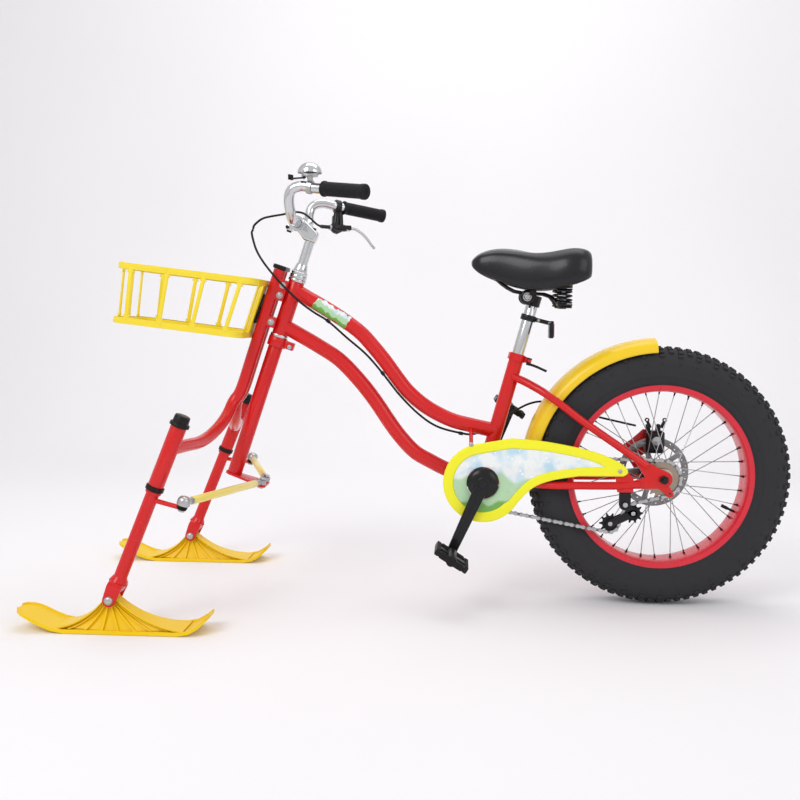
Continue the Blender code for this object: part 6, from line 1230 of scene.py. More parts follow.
@dataclass
class RearWheel:
    """Fat-tyre wheel with its disc, freewheel and fender."""

    tread_rows: int = 84
    spokes: int = 36

    def tyre(self) -> None:
        """Builds the casing, its sidewall lines and the tread blocks."""
        outer = [(0.1995, 0.0342), (0.2030, 0.0370), (0.2110, 0.0415), (0.2130, 0.0430), (0.2150, 0.0432),
                 (0.2240, 0.0460), (0.2260, 0.0474), (0.2280, 0.0474), (0.2400, 0.0486), (0.2475, 0.0486),
                 (0.2560, 0.0476), (0.2640, 0.0450), (0.2720, 0.0400), (0.2780, 0.0335), (0.2830, 0.0250),
                 (0.2860, 0.0160), (0.2875, 0.0080), (0.2878, 0)]
        profile = outer + [(radius, -y) for radius, y in reversed(outer[:-1])]
        shape = Shape().turned(profile, HUB, ACROSS, 128)
        for i in range(self.tread_rows):
            angle = 2 * math.pi * (i + 0.25) / self.tread_rows
            odd = i % 2
            flip = 1 if odd else -1
            spots = [(flip * 0.0060, 0.2898, 0.0105, 0.0110), (flip * -0.0200, 0.2868, 0.0105, 0.0110),
                     (flip * 0.0215, 0.2864, 0.0100, 0.0110)]
            pairs = [(0.0335, 0.2802, 0.0095, 0.0105)]
            if odd:
                pairs += [(0.0412, 0.2720, 0.0080, 0.0095), (0.0476, 0.2560, 0.0050, 0.0055)]
            spots += [(side * y, *rest) for y, *rest in pairs for side in (1, -1)]
            for y, radius, wide, long in spots:
                out = (on_wheel(radius, angle, y) - on_wheel(0.235, angle, y * 0.25)).normalized()
                shape.block((long, wide, 0.0046 if wide > 0.006 else 0.0020), on_wheel(radius, angle, y), out,
                            Vector((-math.sin(angle), 0, math.cos(angle))), 0.0008, 1)
        shape.piece("knobbly_tyre", TYRE, "rear_wheel", ["tyre"], sharp=50)

    def rim(self) -> None:
        """Builds the rim, the laced spokes with nipples, the hub, the disc and the valve."""
        half = [(0.2090, 0.0390), (0.2090, 0.0376), (0.1990, 0.0350)]
        inner = [(0.1955, 0.0382), (0.1935, 0.0345), (0.1915, 0.0290), (0.1913, 0.0140)]
        profile = half + [(r, -y) for r, y in reversed(half)] + [(r, -y) for r, y in inner]
        profile += list(reversed(inner)) + half[:1]
        Shape().turned(profile, HUB, ACROSS, 128).piece("lacquered_rim", RIM_RED, "rear_wheel",
                                                                           ["rim"])
        wires, nipples, hub = Shape(), Shape(), Shape()
        for i in range(self.spokes):
            side = 1 if i % 2 else -1
            lead = 1 if i % 4 < 2 else -1
            angle = 2 * math.pi * i / self.spokes
            root = on_wheel(0.0260, angle + lead * math.radians(62), side * (0.030 - lead * 0.0017))
            end = on_wheel(0.1912, angle, side * 0.003)
            way = (root - end).normalized()
            wires.rod(root, end, 0.0010, 8)
            nipples.rod(end + way * 0.008, end, 0.0018, 8)
            nipples.rod(end + way * 0.002, end - way * 0.001, 0.0030, 8)
        hub.turned([(0.0058, 0.0462), (0.0200, 0.0462), (0.0200, 0.0330), (0.0290, 0.0330), (0.0300, 0.0320),
                      (0.0300, 0.0285), (0.0285, 0.0270), (0.0190, 0.0262), (0.0172, 0.0230), (0.0165, 0),
                      (0.0172, -0.0230), (0.0190, -0.0262), (0.0285, -0.0270), (0.0300, -0.0285), (0.0300, -0.0320),
                      (0.0290, -0.0330), (0.0160, -0.0357), (0.0058, -0.0357)], HUB, ACROSS, 48)
        wires.piece("laced_spokes", SPOKE, "rear_wheel", ["spoked_hub"])
        nipples.piece("spoke_nipples", DARK_STEEL, "rear_wheel")
        hub.piece("hub_shell", SATIN_BLACK, "rear_wheel")
        valve = math.radians(-25)
        Shape().rod(on_wheel(0.1915, valve, 0), on_wheel(0.168, valve, 0), 0.0028, 14).rod(
            on_wheel(0.176, valve, 0), on_wheel(0.160, valve, 0), 0.0038, 14, bevel=0.0008).piece(
            "tyre_valve", BLACK, "rear_wheel")
        holes = [arc(AXLE, 0.008, 0, 345, 20)]
        for i in range(5):
            middle = 72 * i
            holes.append(arc(AXLE, 0.0645, middle - 31, middle + 31, 14)
                         + arc(AXLE, 0.0280, middle + 23, middle - 23, 8))
        for i in range(30):
            spot = arc(AXLE, 0.0700 + 0.004 * (i % 2), 12 * i, 12 * i + 1, 1)[0]
            holes.append(arc(spot, 0.0016, 0, 300, 5))
        Shape().side_plate([arc(AXLE, 0.080, 0, 357, 119), *holes], 0.0019, 0.0475, 0.0002).piece(
            "drilled_brake_disc", DISC_STEEL, "rear_wheel", ["rotor"])

    def fender(self) -> None:
        """Builds the fender from its section, swept about the axle."""
        half = [(0, 0), (0.008, 0.0004), (0.022, 0.0026), (0.033, 0.0062), (0.0405, 0.0105), (0.0455, 0.0165),
                (0.0478, 0.0235), (0.0484, 0.0300)]
        outside = [(0.311 - drop, y) for y, drop in half]
        inside = [(r - 0.0026, y - (0.0018 if y > 0.03 else 0)) for r, y in outside]
        profile = [(r, -y) for r, y in reversed(outside[1:])] + outside
        profile += list(reversed(inside)) + [(r, -y) for r, y in inside[1:]]
        profile.append(profile[0])
        front = math.radians(171)
        rear = math.radians(93)
        shape = Shape().turned(profile, HUB, -ACROSS, 60, front - rear,
                               Vector((math.cos(rear), 0, math.sin(rear))))
        bridge = at(-0.272, 0, 0.484)
        way = (bridge - HUB).normalized()
        shape.rod(HUB + way * 0.309, bridge - way * 0.0063, 0.006, 20)
        open_edges = [e for e in shape.bm.edges if e.is_boundary]
        bmesh.ops.holes_fill(shape.bm, edges=open_edges, sides=0)
        shape.piece("golden_fender", FENDER, "frame", ["fender"])

    def build(self) -> None:
        """Builds the wheel and the fender."""
        self.tyre()
        self.rim()
        self.fender()


@dataclass
class Drive:
    """Chain, sprockets, cranks, pedals and the chain guard."""

    pitch: float = 0.0127
    chain_y: float = -0.0545
    crank_length: float = 0.166

    def pitch_radius(self, teeth: int) -> float:
        """Radius of a sprocket's pitch circle."""
        return self.pitch / 2 / math.sin(math.pi / teeth)

    def gear(self, teeth: int, centre: tuple[float, float]) -> list[tuple[float, float]]:
        """Outline of a toothed wheel.

        Args:
            teeth: number of teeth.
            centre: its middle.

        Returns:
            The outline.
        """
        radius = self.pitch_radius(teeth)
        outline = []
        for i in range(teeth):
            for share, extra in ((-0.32, -0.0036), (-0.20, -0.0012), (-0.10, 0.0024), (0, 0.0030), (0.10, 0.0024),
                                 (0.20, -0.0012), (0.32, -0.0036)):
                angle = 2 * math.pi * (i + share) / teeth
                outline.append((centre[0] + (radius + extra) * math.cos(angle),
                                centre[1] + (radius + extra) * math.sin(angle)))
        return outline

    def route(self) -> list[Vector]:
        """Evenly spaced pin places of the closed chain.

        Returns:
            The places.
        """
        stops = [(place, self.pitch_radius(teeth), sense) for place, teeth, sense in (
            (CRANK, 28, 1), (TENSION, 10, 1), (GUIDE, 10, -1), (AXLE, 20, 1))]
        ways = []
        for (c1, r1, s1), (c2, r2, s2) in zip(stops, stops[1:] + stops[:1]):
            across = (c2[0] - c1[0], c2[1] - c1[1])
            ways.append(math.atan2(across[1], across[0]) - math.asin((s2 * r2 - s1 * r1) / math.hypot(*across)))
        line = []
        for i, (centre, radius, sense) in enumerate(stops):
            start = ways[i - 1] - sense * math.pi / 2
            turn = (sense * (ways[i] - ways[i - 1])) % (2 * math.pi)
            for k in range(25):
                angle = start + sense * turn * k / 24
                line.append(Vector((centre[0] + radius * math.cos(angle), 0, centre[1] + radius * math.sin(angle))))
        line.append(line[0])
        lengths = [(b - a).length for a, b in zip(line, line[1:])]
        count = 2 * round(sum(lengths) / self.pitch / 2)
        places = []
        spot, passed = 0, 0.0
        for i in range(count):
            goal = sum(lengths) * i / count
            while passed + lengths[spot] < goal:
                passed += lengths[spot]
                spot += 1
            places.append(at(0, self.chain_y, 0) + line[spot].lerp(line[spot + 1], (goal - passed) / lengths[spot]))
        return places

    def chain(self) -> None:
        """Builds the chain link by link."""
        places = self.route()
        shape, inner = Shape(), Shape()
        for i, place in enumerate(places):
            after = places[(i + 1) % len(places)]
            along = after - place
            reach = 0.0036 if i % 2 else 0.0026
            half = along.length / 2
            outline = arc((half, 0), 0.0042, -125, 125, 8) + [(0, 0.0024)]
            outline += arc((-half, 0), 0.0042, 55, 305, 8) + [(0, -0.0024)]
            link = shape if i % 2 else inner
            for sign in (-1, 1):
                middle = (place + after) / 2 + ACROSS * sign * reach
                link.plate([outline], 0.0009, axes_frame(
                    middle, along.normalized(), ACROSS.cross(along).normalized(), -ACROSS), 0.0001)
            shape.rod(place - ACROSS * 0.0044, place + ACROSS * 0.0044, 0.0017, 8)
            inner.rod(place - ACROSS * 0.0021, place + ACROSS * 0.0021, 0.0036, 10)
        shape.piece("linked_chain", ZINC, "frame", ["chain"])
        inner.piece("inner_chain_links", CHAIN_STEEL, "frame")

    def sprockets(self) -> None:
        """Builds the chainring, the freewheel and the jockey pulleys with their teeth."""
        holes = [arc(arc(CRANK, 0.036, 72 * i, 72 * i, 1)[0], 0.010, 0, 340, 17) for i in range(5)]
        shape = Shape().side_plate([self.gear(28, CRANK), *holes], 0.0021, self.chain_y, 0.0002)
        shape.rod(at(-0.397, -0.098, 0.279), at(-0.397, 0.098, 0.279), 0.0082, 28, bevel=0.001)
        shape.rod(at(-0.397, -0.0605, 0.279), at(-0.397, -0.0505, 0.279), 0.020, 32, bevel=0.001)
        shape.piece("toothed_chainring", DARK_STEEL, "crank", ["crank_spindle"])
        shape = Shape()
        for teeth, y in ((20, -0.0545), (18, -0.0495), (16, -0.0445)):
            shape.side_plate([self.gear(teeth, AXLE),
                              arc(AXLE, 0.012, 0, 350, 35)], 0.0018, y, 0.0002)
        shape.turned([(0.0092, -0.0645), (0.0215, -0.0645), (0.0228, -0.0635), (0.0228, -0.0370), (0.0092, -0.0362)],
                     HUB, ACROSS, 48)
        shape.piece("toothed_freewheel", COG_STEEL, "freewheel", ["freewheel"])
        for name, place in (("guide_pulley", GUIDE), ("tension_pulley", TENSION)):
            shape = Shape().side_plate([self.gear(10, place), arc(place, 0.0041, 0, 345, 23)], 0.0022,
                                       self.chain_y, 0.0002)
            shape.turned([(0.0041, -0.0602), (0.0080, -0.0602), (0.0080, -0.0488), (0.0041, -0.0488)],
                         at(place[0], 0, place[1]), ACROSS, 28)
            shape.piece("toothed_" + name, BLACK, name, [name])
        self.cage()
        dress_node("tensioner_hanger", SATIN_BLACK)

    def cage(self) -> None:
        """Builds the narrow cage plates of the tensioner and its bolts."""
        shape, bolts = Shape(), Shape()
        for y in (-0.0618, -0.0472):
            for start, end in ((HANGER, GUIDE), (GUIDE, TENSION)):
                turn = math.degrees(math.atan2(end[1] - start[1], end[0] - start[0]))
                shape.side_plate([arc(end, 0.0085, turn - 90, turn + 90, 14)
                                  + arc(start, 0.0085, turn + 90, turn + 270, 14)], 0.0016, y, 0.0003)
        shape.rod(at(HANGER[0], -0.0618, HANGER[1]), at(HANGER[0], -0.0472, HANGER[1]), 0.0065, 24)
        for x, z in (GUIDE, TENSION):
            bolts.turned([(0, -0.0660), (0.0026, -0.0658), (0.0046, -0.0648), (0.0052, -0.0632), (0.0052, -0.0626),
                          (0, -0.0626)], at(x, 0, z), ACROSS, 24)
            bolts.rod(at(x, -0.0630, z), at(x, -0.0455, z), 0.0032, 12)
            bolts.rod(at(x, -0.0464, z), at(x, -0.0440, z), 0.0048, 6, bevel=0.0004)
        shape.piece("cage_plates", SATIN_BLACK, "tensioner", ["tensioner_cage"])
        bolts.piece("cage_bolts", ZINC, "tensioner")
        Shape().turned([(0, -0.0778), (0.0028, -0.0776), (0.0052, -0.0766), (0.0062, -0.0748), (0.0062, -0.0738),
                        (0, -0.0738)], at(HANGER[0], 0, HANGER[1]), ACROSS, 24).piece("hanger_bolt", ZINC, "frame")

    def cranks(self) -> None:
        """Builds both crank arms and both pedals."""
        way = Vector((math.cos(math.radians(-113.8)), 0, math.sin(math.radians(-113.8))))
        bottom = at(CRANK[0], 0, CRANK[1])
        for side, sign in SIDES:
            out = way if sign < 0 else -way
            start = math.degrees(math.atan2(out.z, out.x))
            foot = (CRANK[0] + out.x * self.crank_length, CRANK[1] + out.z * self.crank_length)
            outline = arc(CRANK, 0.0155, start + 100, start + 260, 18)
            outline += arc(foot, 0.0110, start - 80, start + 80, 14)
            shape = Shape().side_plate([outline], 0.012, sign * 0.090, 0.0035, 3)
            shape.turned([(0, 0.0975), (0.0055, 0.0974), (0.0078, 0.0966), (0.0092, 0.0950), (0.0092, 0.0900),
                          (0, 0.0900)], bottom, ACROSS * sign, 32)
            pedal_end = bottom + out * self.crank_length
            shape.rod(pedal_end + ACROSS * sign * 0.090, pedal_end + ACROSS * sign * 0.186, 0.006, 20)
            if sign < 0:
                shape.turned([(0, -0.0925), (0.0120, -0.0922), (0.0220, -0.0905), (0.0295, -0.0878),
                              (0.0338, -0.0845), (0.0346, -0.0825), (0.0340, -0.0812), (0, -0.0812)], bottom, ACROSS,
                             64)
            shape.piece("crank_arm_" + side, SATIN_BLACK, "crank", ["crank_" + side])
            back = Vector((math.cos(math.radians(32)), 0, -math.sin(math.radians(32))))
            top = Vector((math.sin(math.radians(32)), 0, math.cos(math.radians(32))))
            middle = pedal_end + ACROSS * sign * 0.1465
            shape = Shape()
            holes = [[(x * 0.0205 - 0.0105, y * 0.0215 - 0.0110), (x * 0.0205 + 0.0105, y * 0.0215 - 0.0110),
                      (x * 0.0205 + 0.0105, y * 0.0215 + 0.0110), (x * 0.0205 - 0.0105, y * 0.0215 + 0.0110)]
                     for x in (-1, 1) for y in (-1, 1)]
            rim = [(-0.0340, -0.0440), (0.0340, -0.0440), (0.0400, -0.0380), (0.0400, 0.0380), (0.0340, 0.0440),
                   (-0.0340, 0.0440), (-0.0400, 0.0380), (-0.0400, -0.0380)]
            shape.plate([rim, *holes], 0.0110, turned_frame(middle, top, back), 0.0012, 2)
            for edge in (-1, 1):
                for i in range(9):
                    shape.block((0.0090, 0.0042, 0.0150), middle + back * edge * 0.0350
                                + ACROSS * (i - 4) * 0.0092, top, back, 0.0012, 1)
                shape.block((0.0560, 0.0060, 0.0150), middle + ACROSS * edge * 0.0405, top, back, 0.0015)
            shape.turned([(0.0065, -0.0435), (0.0108, -0.0435), (0.0113, -0.0425), (0.0113, 0.0425),
                          (0.0108, 0.0435), (0.0065, 0.0435)], middle, ACROSS, 28)
            shape.piece("platform_pedal_" + side, BLACK, "pedal_" + side, ["pedal_" + side])

    def guard(self) -> None:
        """Builds the guard plate, its printed panel and its screws."""
        def eased(places: list[tuple[float, float]], count: int) -> list[tuple[float, float]]:
            """Smooth run through an outline's places."""
            return [(p.x, p.z) for p in smooth_path([Vector((x, 0, z)) for x, z in places], count)]

        top = eased([(-0.412, 0.3657), (-0.334, 0.380), (-0.262, 0.374), (-0.188, 0.361), (-0.142, 0.349),
                     (-0.104, 0.333), (-0.083, 0.318), (-0.079, 0.306), (-0.090, 0.299)][1:], 40)
        lower = eased([(-0.186, 0.298), (-0.242, 0.288), (-0.278, 0.275), (-0.300, 0.258), (-0.318, 0.238)], 24)
        outline = arc(CRANK, 0.0880, 320, 100, 60) + top + lower
        panel = arc(CRANK, 0.0650, 316, 104, 50)
        panel += eased([(-0.334, 0.3575), (-0.262, 0.3525), (-0.194, 0.3410), (-0.156, 0.3310), (-0.130, 0.3200)], 24)
        panel += eased([(-0.188, 0.3165), (-0.250, 0.3065), (-0.293, 0.2890), (-0.320, 0.2640), (-0.340, 0.2400)], 24)
        shape = Shape().side_plate([outline, panel], 0.0075, -0.0777, 0.0032, 3)
        shape.side_plate([panel, arc(CRANK, 0.036, 0, 355, 70)], 0.0046, -0.0764, 0.0004)
        shape.piece("chain_guard_rim", LEMON, "frame", ["chain_guard"])
        Shape().side_plate([panel, arc(CRANK, 0.036, 0, 355, 70)], 0.0006, -0.0790, 0.0001).piece(
            "printed_panel", PANEL_PRINT, "frame")
        screws = Shape()
        for x, z in ((-0.097, 0.311), (-0.424, 0.365)):
            screws.turned([(0, -0.0835), (0.0030, -0.0834), (0.0048, -0.0822), (0.0052, -0.0810), (0.0052, -0.0805),
                           (0, -0.0800)], at(x, 0, z), ACROSS, 24)
        screws.piece("guard_screws", ZINC, "frame")

    def build(self) -> None:
        """Builds the whole drive."""
        self.chain()
        self.sprockets()
        self.cranks()
        self.guard()


@dataclass
class Saddle:
    """Sprung saddle on its post, with the reflector."""

    rows: tuple[tuple[float, float, float, float, float], ...] = (
        (-0.4285, 0.0100, 0.7600, 0.7720, 0.7700), (-0.4200, 0.0220, 0.7500, 0.7830, 0.7800),
        (-0.4050, 0.0300, 0.7395, 0.7920, 0.7880), (-0.3800, 0.0370, 0.7285, 0.8000, 0.7940),
        (-0.3500, 0.0440, 0.7180, 0.8010, 0.7940), (-0.3200, 0.0550, 0.7095, 0.7975, 0.7910),
        (-0.2900, 0.0700, 0.7045, 0.7900, 0.7880), (-0.2620, 0.0860, 0.7040, 0.7850, 0.7900),
        (-0.2350, 0.0980, 0.7075, 0.7845, 0.7955), (-0.2100, 0.1020, 0.7135, 0.7850, 0.8005),
        (-0.1880, 0.0990, 0.7205, 0.7840, 0.7995), (-0.1720, 0.0890, 0.7280, 0.7810, 0.7940),
        (-0.1630, 0.0700, 0.7380, 0.7750, 0.7840))

    def cushion(self) -> None:
        """Builds the padded cushion: nose, waist, two rear lobes and the tucked lower edge."""
        loops = []
        for x, half, low, crown, lobe in self.rows:
            tall = lobe - low
            side = [(0, low + 0.0120), (0.50, low + 0.0110), (0.80, low + 0.0030), (0.93, low + 0.0015),
                    (1.0, low + tall * 0.20), (1.0, low + tall * 0.48), (0.94, low + tall * 0.74),
                    (0.80, low + tall * 0.93), (0.60, lobe), (0.36, lobe * 0.55 + crown * 0.45),
                    (0.16, lobe * 0.15 + crown * 0.85), (0, crown)]
            loops.append([at(x, -share * half, z) for share, z in side]
                         + [at(x, share * half, z) for share, z in reversed(side[1:-1])])
        obj = Shape().sections(loops).piece("saddle_cushion", VINYL, "seat", ["saddle_pad"], sharp=180)
        fine = obj.modifiers.new("fine", "SUBSURF")
        fine.levels = 3
        fine.render_levels = 3

    def hardware(self) -> None:
        """Builds the seat clamp's round cheeks with their bolt, and the reflector on its bracket."""
        centre = at(-0.3035, 0, 0.6915)
        cheeks = Shape()
        for way in (-1, 1):
            cheeks.turned([(0, 0.0330), (0.0125, 0.0330), (0.0150, 0.0320), (0.0162, 0.0300), (0.0162, 0.0235),
                           (0.0150, 0.0225), (0, 0.0225)], centre, ACROSS * way, 40)
        cheeks.piece("clamp_cheeks", SATIN_BLACK, "seat")
        nuts = Shape()
        for way in (-1, 1):
            nuts.rod(centre + ACROSS * way * 0.0325, centre + ACROSS * way * 0.0375, 0.0068, 6, bevel=0.0006)
            nuts.turned([(0.0072, 0.0328), (0.0096, 0.0328), (0.0096, 0.0338), (0.0072, 0.0338), (0.0072, 0.0328)],
                        centre, ACROSS * way, 28)
        nuts.piece("clamp_nuts", ZINC, "seat")
        band = seat(0.084)
        bracket = Shape().turned([(0.0137, -0.0065), (0.0172, -0.0065), (0.0176, -0.0055), (0.0176, 0.0055),
                                  (0.0172, 0.0065), (0.0137, 0.0065), (0.0137, -0.0065)], band, SEAT_UP, 36)
        reach = Vector((0.0500, 0, -0.0120))
        bracket.block((0.0420, 0.0120, 0.0095), band + reach * 0.62, Vector((0.233, 0, 0.972)), reach, 0.0020)
        house = at(-0.2470, 0, 0.6175)
        bracket.block((0.0100, 0.0360, 0.0360), house, UP, REARWARD, 0.0025)
        bracket.block((0.0120, 0.0150, 0.0080), house + UP * 0.0170, UP, REARWARD, 0.0015)
        bracket.piece("reflector_bracket", SATIN_BLACK, "seat", ["reflector"])
        Shape().block((0.0030, 0.0310, 0.0310), house + Vector((0.0052, 0, 0)), UP, REARWARD, 0.0012).piece(
            "reflector_lens", LENS, "seat")
        screws = Shape()
        for share in (0.45, 0.95):
            place = band + reach * share
            screws.turned([(0, -0.0086), (0.0026, -0.0084), (0.0036, -0.0074), (0.0036, -0.0058), (0, -0.0058)],
                          place, ACROSS, 20)
        screws.piece("reflector_screws", ZINC, "seat")

    def springs(self) -> None:
        """Builds both coil springs as full round wire."""
        for side, sign in SIDES:
            turns, steps = 4, 96
            path = []
            for i in range(steps + 1):
                share = i / steps
                rise = min(max((share - 0.10) / 0.80, 0), 1)
                angle = 2 * math.pi * turns * share
                path.append(at(-0.2235 + 0.0150 * math.cos(angle), sign * (0.056 + 0.0150 * math.sin(angle)),
                               0.6786 + 0.0293 * rise))
            Shape().tube(path, 0.0023, 3).piece("coil_spring_" + side, SATIN_BLACK, "seat",
                                                ["saddle_spring_" + side])

    def build(self) -> None:
        """Builds the saddle, its post and the reflector."""
        self.cushion()
        self.springs()
        self.hardware()
        Shape().rod(seat(-0.1075), seat(0.132), 0.0135, 40, bevel=0.001).piece("seat_pillar", CHROME, "seat",
                                                                              ["seat_post"])
        for name, finish in (("saddle_base", BLACK), ("saddle_rails", SATIN_BLACK), ("saddle_clamp", SATIN_BLACK)):
            dress_node(name, finish)


@dataclass
class Basket:
    """Open moulded basket on the posts."""

    half_width: float = 0.120
    wall: float = 0.005
    height: float = 0.134
    rim: float = 0.014
    corner: float = 0.028
    ahead: float = 0.0615
    front: tuple[float, float] = (-1.222, 0.628)
    tilt: float = math.radians(6.6)

    @property
    def back(self) -> Vector:
        """Direction of the basket's length."""
        return Vector((math.cos(self.tilt), 0, -math.sin(self.tilt)))

    @property
    def up(self) -> Vector:
        """Direction of the basket's height."""
        return Vector((math.sin(self.tilt), 0, math.cos(self.tilt)))

    def place(self, back: float, side: float, height: float) -> Vector:
        """Place in the basket behind its front wall, beside its middle and over its floor."""
        return at(self.front[0], side, self.front[1]) + self.back * back + self.up * height

    def length(self, height: float) -> float:
        """Length to the rear wall, which is parallel to the posts."""
        reach = (self.place(0, 0, height) - steer(0)).dot(STEER_AHEAD)
        return (self.ahead - reach) / self.back.dot(STEER_AHEAD)

    def outline(self, length: float, inset: float) -> list[tuple[float, float]]:
        """Rounded rectangle of the basket's plan, drawn in by an inset.

        Args:
            length: the plan's length.
            inset: how far it is drawn in.

        Returns:
            The outline.
        """
        radius, right, side = self.corner - inset, length - self.corner, self.half_width - self.corner
        return (arc((right, side), radius, 90, 0, 8) + arc((right, -side), radius, 0, -90, 8)
                + arc((self.corner, -side), radius, -90, -180, 8) + arc((self.corner, side), radius, 180, 90, 8))

    def band(self, shape: Shape, height: float, tall: float, inset: float = 0.0) -> None:
        """Adds one rim band.

        Args:
            shape: shape that it is added to.
            height: height of its middle.
            tall: its own height.
            inset: how far its face is drawn in.
        """
        length = self.length(height + self.rim / 2)
        shape.plate([self.outline(length, inset), self.outline(length, self.wall)], tall,
                    turned_frame(self.place(0, 0, height), self.up, self.back), 0.0012)

    def bar(self, shape: Shape, low: Vector, high: Vector, outward: Vector) -> None:
        """Adds one upright with flared feet.

        Args:
            shape: shape that it is added to.
            low: place of its lower end.
            high: place of its upper end.
            outward: direction that its wall faces.
        """
        along = (high - low).normalized()
        shape.block((self.wall - 0.001, 0.0090, (high - low).length), (low + high) / 2, along, outward, 0.0012)
        for foot, way in ((low, along), (high, -along)):
            middle = foot + way * 0.0085
            for step in (-1, 1):
                slant = (way + along.cross(outward) * step * 0.55).normalized()
                shape.block((self.wall - 0.0014, 0.0038, 0.011), middle + along.cross(outward) * step * 0.0040,
                            slant, outward, 0.0008)

    def uprights(self, shape: Shape) -> None:
        """Adds all the uprights.

        Args:
            shape: shape that it is added to.
        """
        low, high, wall = self.rim / 2, self.height - self.rim / 2, self.wall / 2
        end = self.corner + 0.008
        for _, sign in SIDES:
            for i in range(4):
                feet = [self.place(end + i / 3 * (self.length(h) - 2 * end), sign * (self.half_width - wall), h)
                        for h in (low, high)]
                self.bar(shape, feet[0], feet[1], ACROSS * sign)
        for y in (-0.064, 0, 0.064):
            self.bar(shape, self.place(wall, y, low), self.place(wall, y, high), self.back)
        for y in (-0.076, 0.076):
            self.bar(shape, self.place(self.length(low) - wall - 0.001, y, low),
                     self.place(self.length(high) - wall - 0.001, y, high), self.back)

    def build(self) -> None:
        """Builds the rims, uprights, slatted floor and rear panel."""
        shape = Shape()
        low, high = self.rim / 2, self.height - self.rim / 2
        for height in (low, high):
            self.band(shape, height, self.rim, 0.0006)
            for edge in (-1, 1):
                self.band(shape, height + edge * (self.rim / 2 - 0.0014), 0.0028)
        length = self.length(0.003)
        slots = []
        for i in range(4):
            y = (i - 1.5) * 0.048
            slots.append([(0.028, y - 0.017), (length - 0.028, y - 0.017), (length - 0.028, y + 0.017),
                          (0.028, y + 0.017)])
        shape.plate([self.outline(length, self.wall / 2), *slots], 0.0040,
                    turned_frame(self.place(0, 0, 0.003), self.up, self.back), 0.0008)
        self.uprights(shape)
        bottom = (self.place(self.length(0), 0, 0.002) - steer(0)).dot(STEER_UP)
        top = (self.place(self.length(high), 0, high) - steer(0)).dot(STEER_UP)
        middle = (bottom + top) / 2
        shape.block((0.004, 0.072, top - bottom), steer(middle, self.ahead + 0.0025), STEER_UP, STEER_AHEAD, 0.0012)
        for y in (-0.030, 0.030):
            shape.block((0.005, 0.004, top - bottom - 0.004), steer(middle, self.ahead + 0.0030, y), STEER_UP,
                        STEER_AHEAD, 0.0008)
        for _, sign in SIDES:
            for height in (low, high):
                shape.block((0.0022, 0.0054, self.rim - 0.001), self.place(0.115, sign * (self.half_width - 0.0024),
                            height), self.up, self.back, 0.0004)
        shape.piece("moulded_basket", YELLOW, "frame", ["basket"])


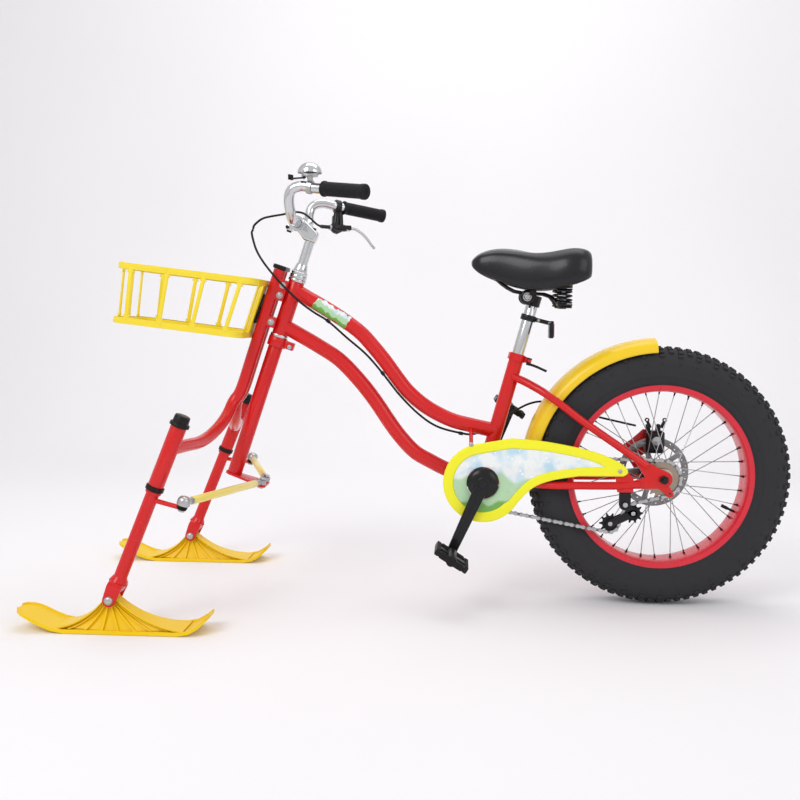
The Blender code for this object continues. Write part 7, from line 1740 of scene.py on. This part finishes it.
@dataclass
class Studio:
    """Camera at the photograph's viewing angle, pale floor and soft lamps."""

    camera_place: tuple[float, float, float] = (-0.45342, -2.25, 0.63411)
    yaw: float = 0.05939
    pitch: float = 0.07928
    roll: float = 0.00871
    focal_pixels: float = 985.7
    photo_pixels: float = 800.0
    sensor: float = 36.0

    def camera(self) -> None:
        """Places the camera."""
        data = bpy.data.cameras.new("camera")
        data.sensor_width = self.sensor
        data.lens = self.focal_pixels / self.photo_pixels * self.sensor
        data.clip_end = 100
        right = Vector((math.cos(self.yaw), math.sin(self.yaw), 0))
        ahead = Vector((-math.sin(self.yaw), math.cos(self.yaw), 0))
        look = ahead * math.cos(self.pitch) - UP * math.sin(self.pitch)
        above = UP * math.cos(self.pitch) + ahead * math.sin(self.pitch)
        x_axis = right * math.cos(self.roll) + above * math.sin(self.roll)
        y_axis = above * math.cos(self.roll) - right * math.sin(self.roll)
        obj = bpy.data.objects.new("camera", data)
        obj.matrix_world = axes_frame(at(*self.camera_place), x_axis, y_axis, -look)
        bpy.context.scene.collection.objects.link(obj)
        bpy.context.scene.camera = obj

    def lamp(self, name: str, place: Vector, aim: Vector, size: float, power: float) -> None:
        """Adds one square soft lamp.

        Args:
            name: its name.
            place: where it hangs.
            aim: place that it shines at.
            size: its side.
            power: its power in watts.
        """
        data = bpy.data.lights.new(name, "AREA")
        data.size = size
        data.energy = power
        obj = bpy.data.objects.new(name, data)
        obj.matrix_world = turned_frame(place, place - aim)
        bpy.context.scene.collection.objects.link(obj)

    def floor(self) -> None:
        """Adds the pale floor that sweeps up into a wall behind the bike."""
        run = [(-9.0, 0.0), (1.9, 0.0)] + [(1.9 + 1.3 * math.sin(a), 1.3 - 1.3 * math.cos(a)) for a in
                                           (math.radians(7.5 * i) for i in range(1, 12))] + [(3.2, 1.3), (3.2, 7.0)]
        bm = bmesh.new()
        verts = [bm.verts.new((-9.0, y, z)) for y, z in run]
        edges = [bm.edges.new(pair) for pair in zip(verts, verts[1:])]
        grown = bmesh.ops.extrude_edge_only(bm, edges=edges)["geom"]
        bmesh.ops.translate(bm, vec=(18.0, 0, 0), verts=[v for v in grown if isinstance(v, bmesh.types.BMVert)])
        bmesh.ops.recalc_face_normals(bm, faces=bm.faces)
        mesh = bpy.data.meshes.new("studio_floor")
        bm.to_mesh(mesh)
        bm.free()
        mesh.shade_smooth()
        obj = bpy.data.objects.new("studio_floor", mesh)
        material = bpy.data.materials.new("pale_floor")
        material.use_nodes = True
        tree = material.node_tree
        # The floor's colour drifts in broad soft patches between a greyer and a paler tone: painted uneven light and
        # shade on the backdrop.
        painted_light_patches = noise(tree, add_node(tree, "TexCoord").outputs["Object"], 0.8, 1)
        feed(tree.nodes["Principled BSDF"], {"Roughness": 0.9, "Base Color": blended(
            tree, painted_light_patches, (0.88, 0.865, 0.885, 1), (0.95, 0.935, 0.96, 1))})
        mesh.materials.append(material)
        bpy.context.scene.collection.objects.link(obj)

    def world(self) -> None:
        """Sets a pale sky that the camera and reflections see lighter than it lights."""
        world = bpy.data.worlds.new("studio")
        bpy.context.scene.world = world
        world.use_nodes = True
        tree = world.node_tree
        rays = add_node(tree, "LightPath").outputs
        seen = maths(tree, "MAXIMUM", rays["Is Camera Ray"], rays["Is Glossy Ray"])
        feed(tree.nodes["Background"], {"Color": (1, 1, 1, 1), "Strength": ramp(tree, seen, 0, 1, 0.60, 0.80)})

    def build(self) -> None:
        """Builds the studio."""
        bpy.context.scene.view_settings.view_transform = "Standard"
        self.camera()
        self.floor()
        self.world()
        middle = Vector((0, 0, 0.4))
        self.lamp("key_lamp", Vector((-1.9, -2.8, 2.9)), middle, 2.0, 56)
        self.lamp("fill_lamp", Vector((2.8, -2.2, 1.9)), middle, 2.2, 20)
        self.lamp("sweep_lamp", Vector((0.2, 0.9, 3.3)), Vector((0, 2.2, 0.3)), 2.6, 34)


def main() -> None:
    """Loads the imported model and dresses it."""
    logging.basicConfig(level=logging.INFO, format="%(message)s")
    FRAME.update(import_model())
    Studio().build()
    for part in (MainFrame(), Skis(), Steering(), RearWheel(), Drive(), Saddle(), Basket()):
        part.build()


if __name__ == "__main__":
    main()
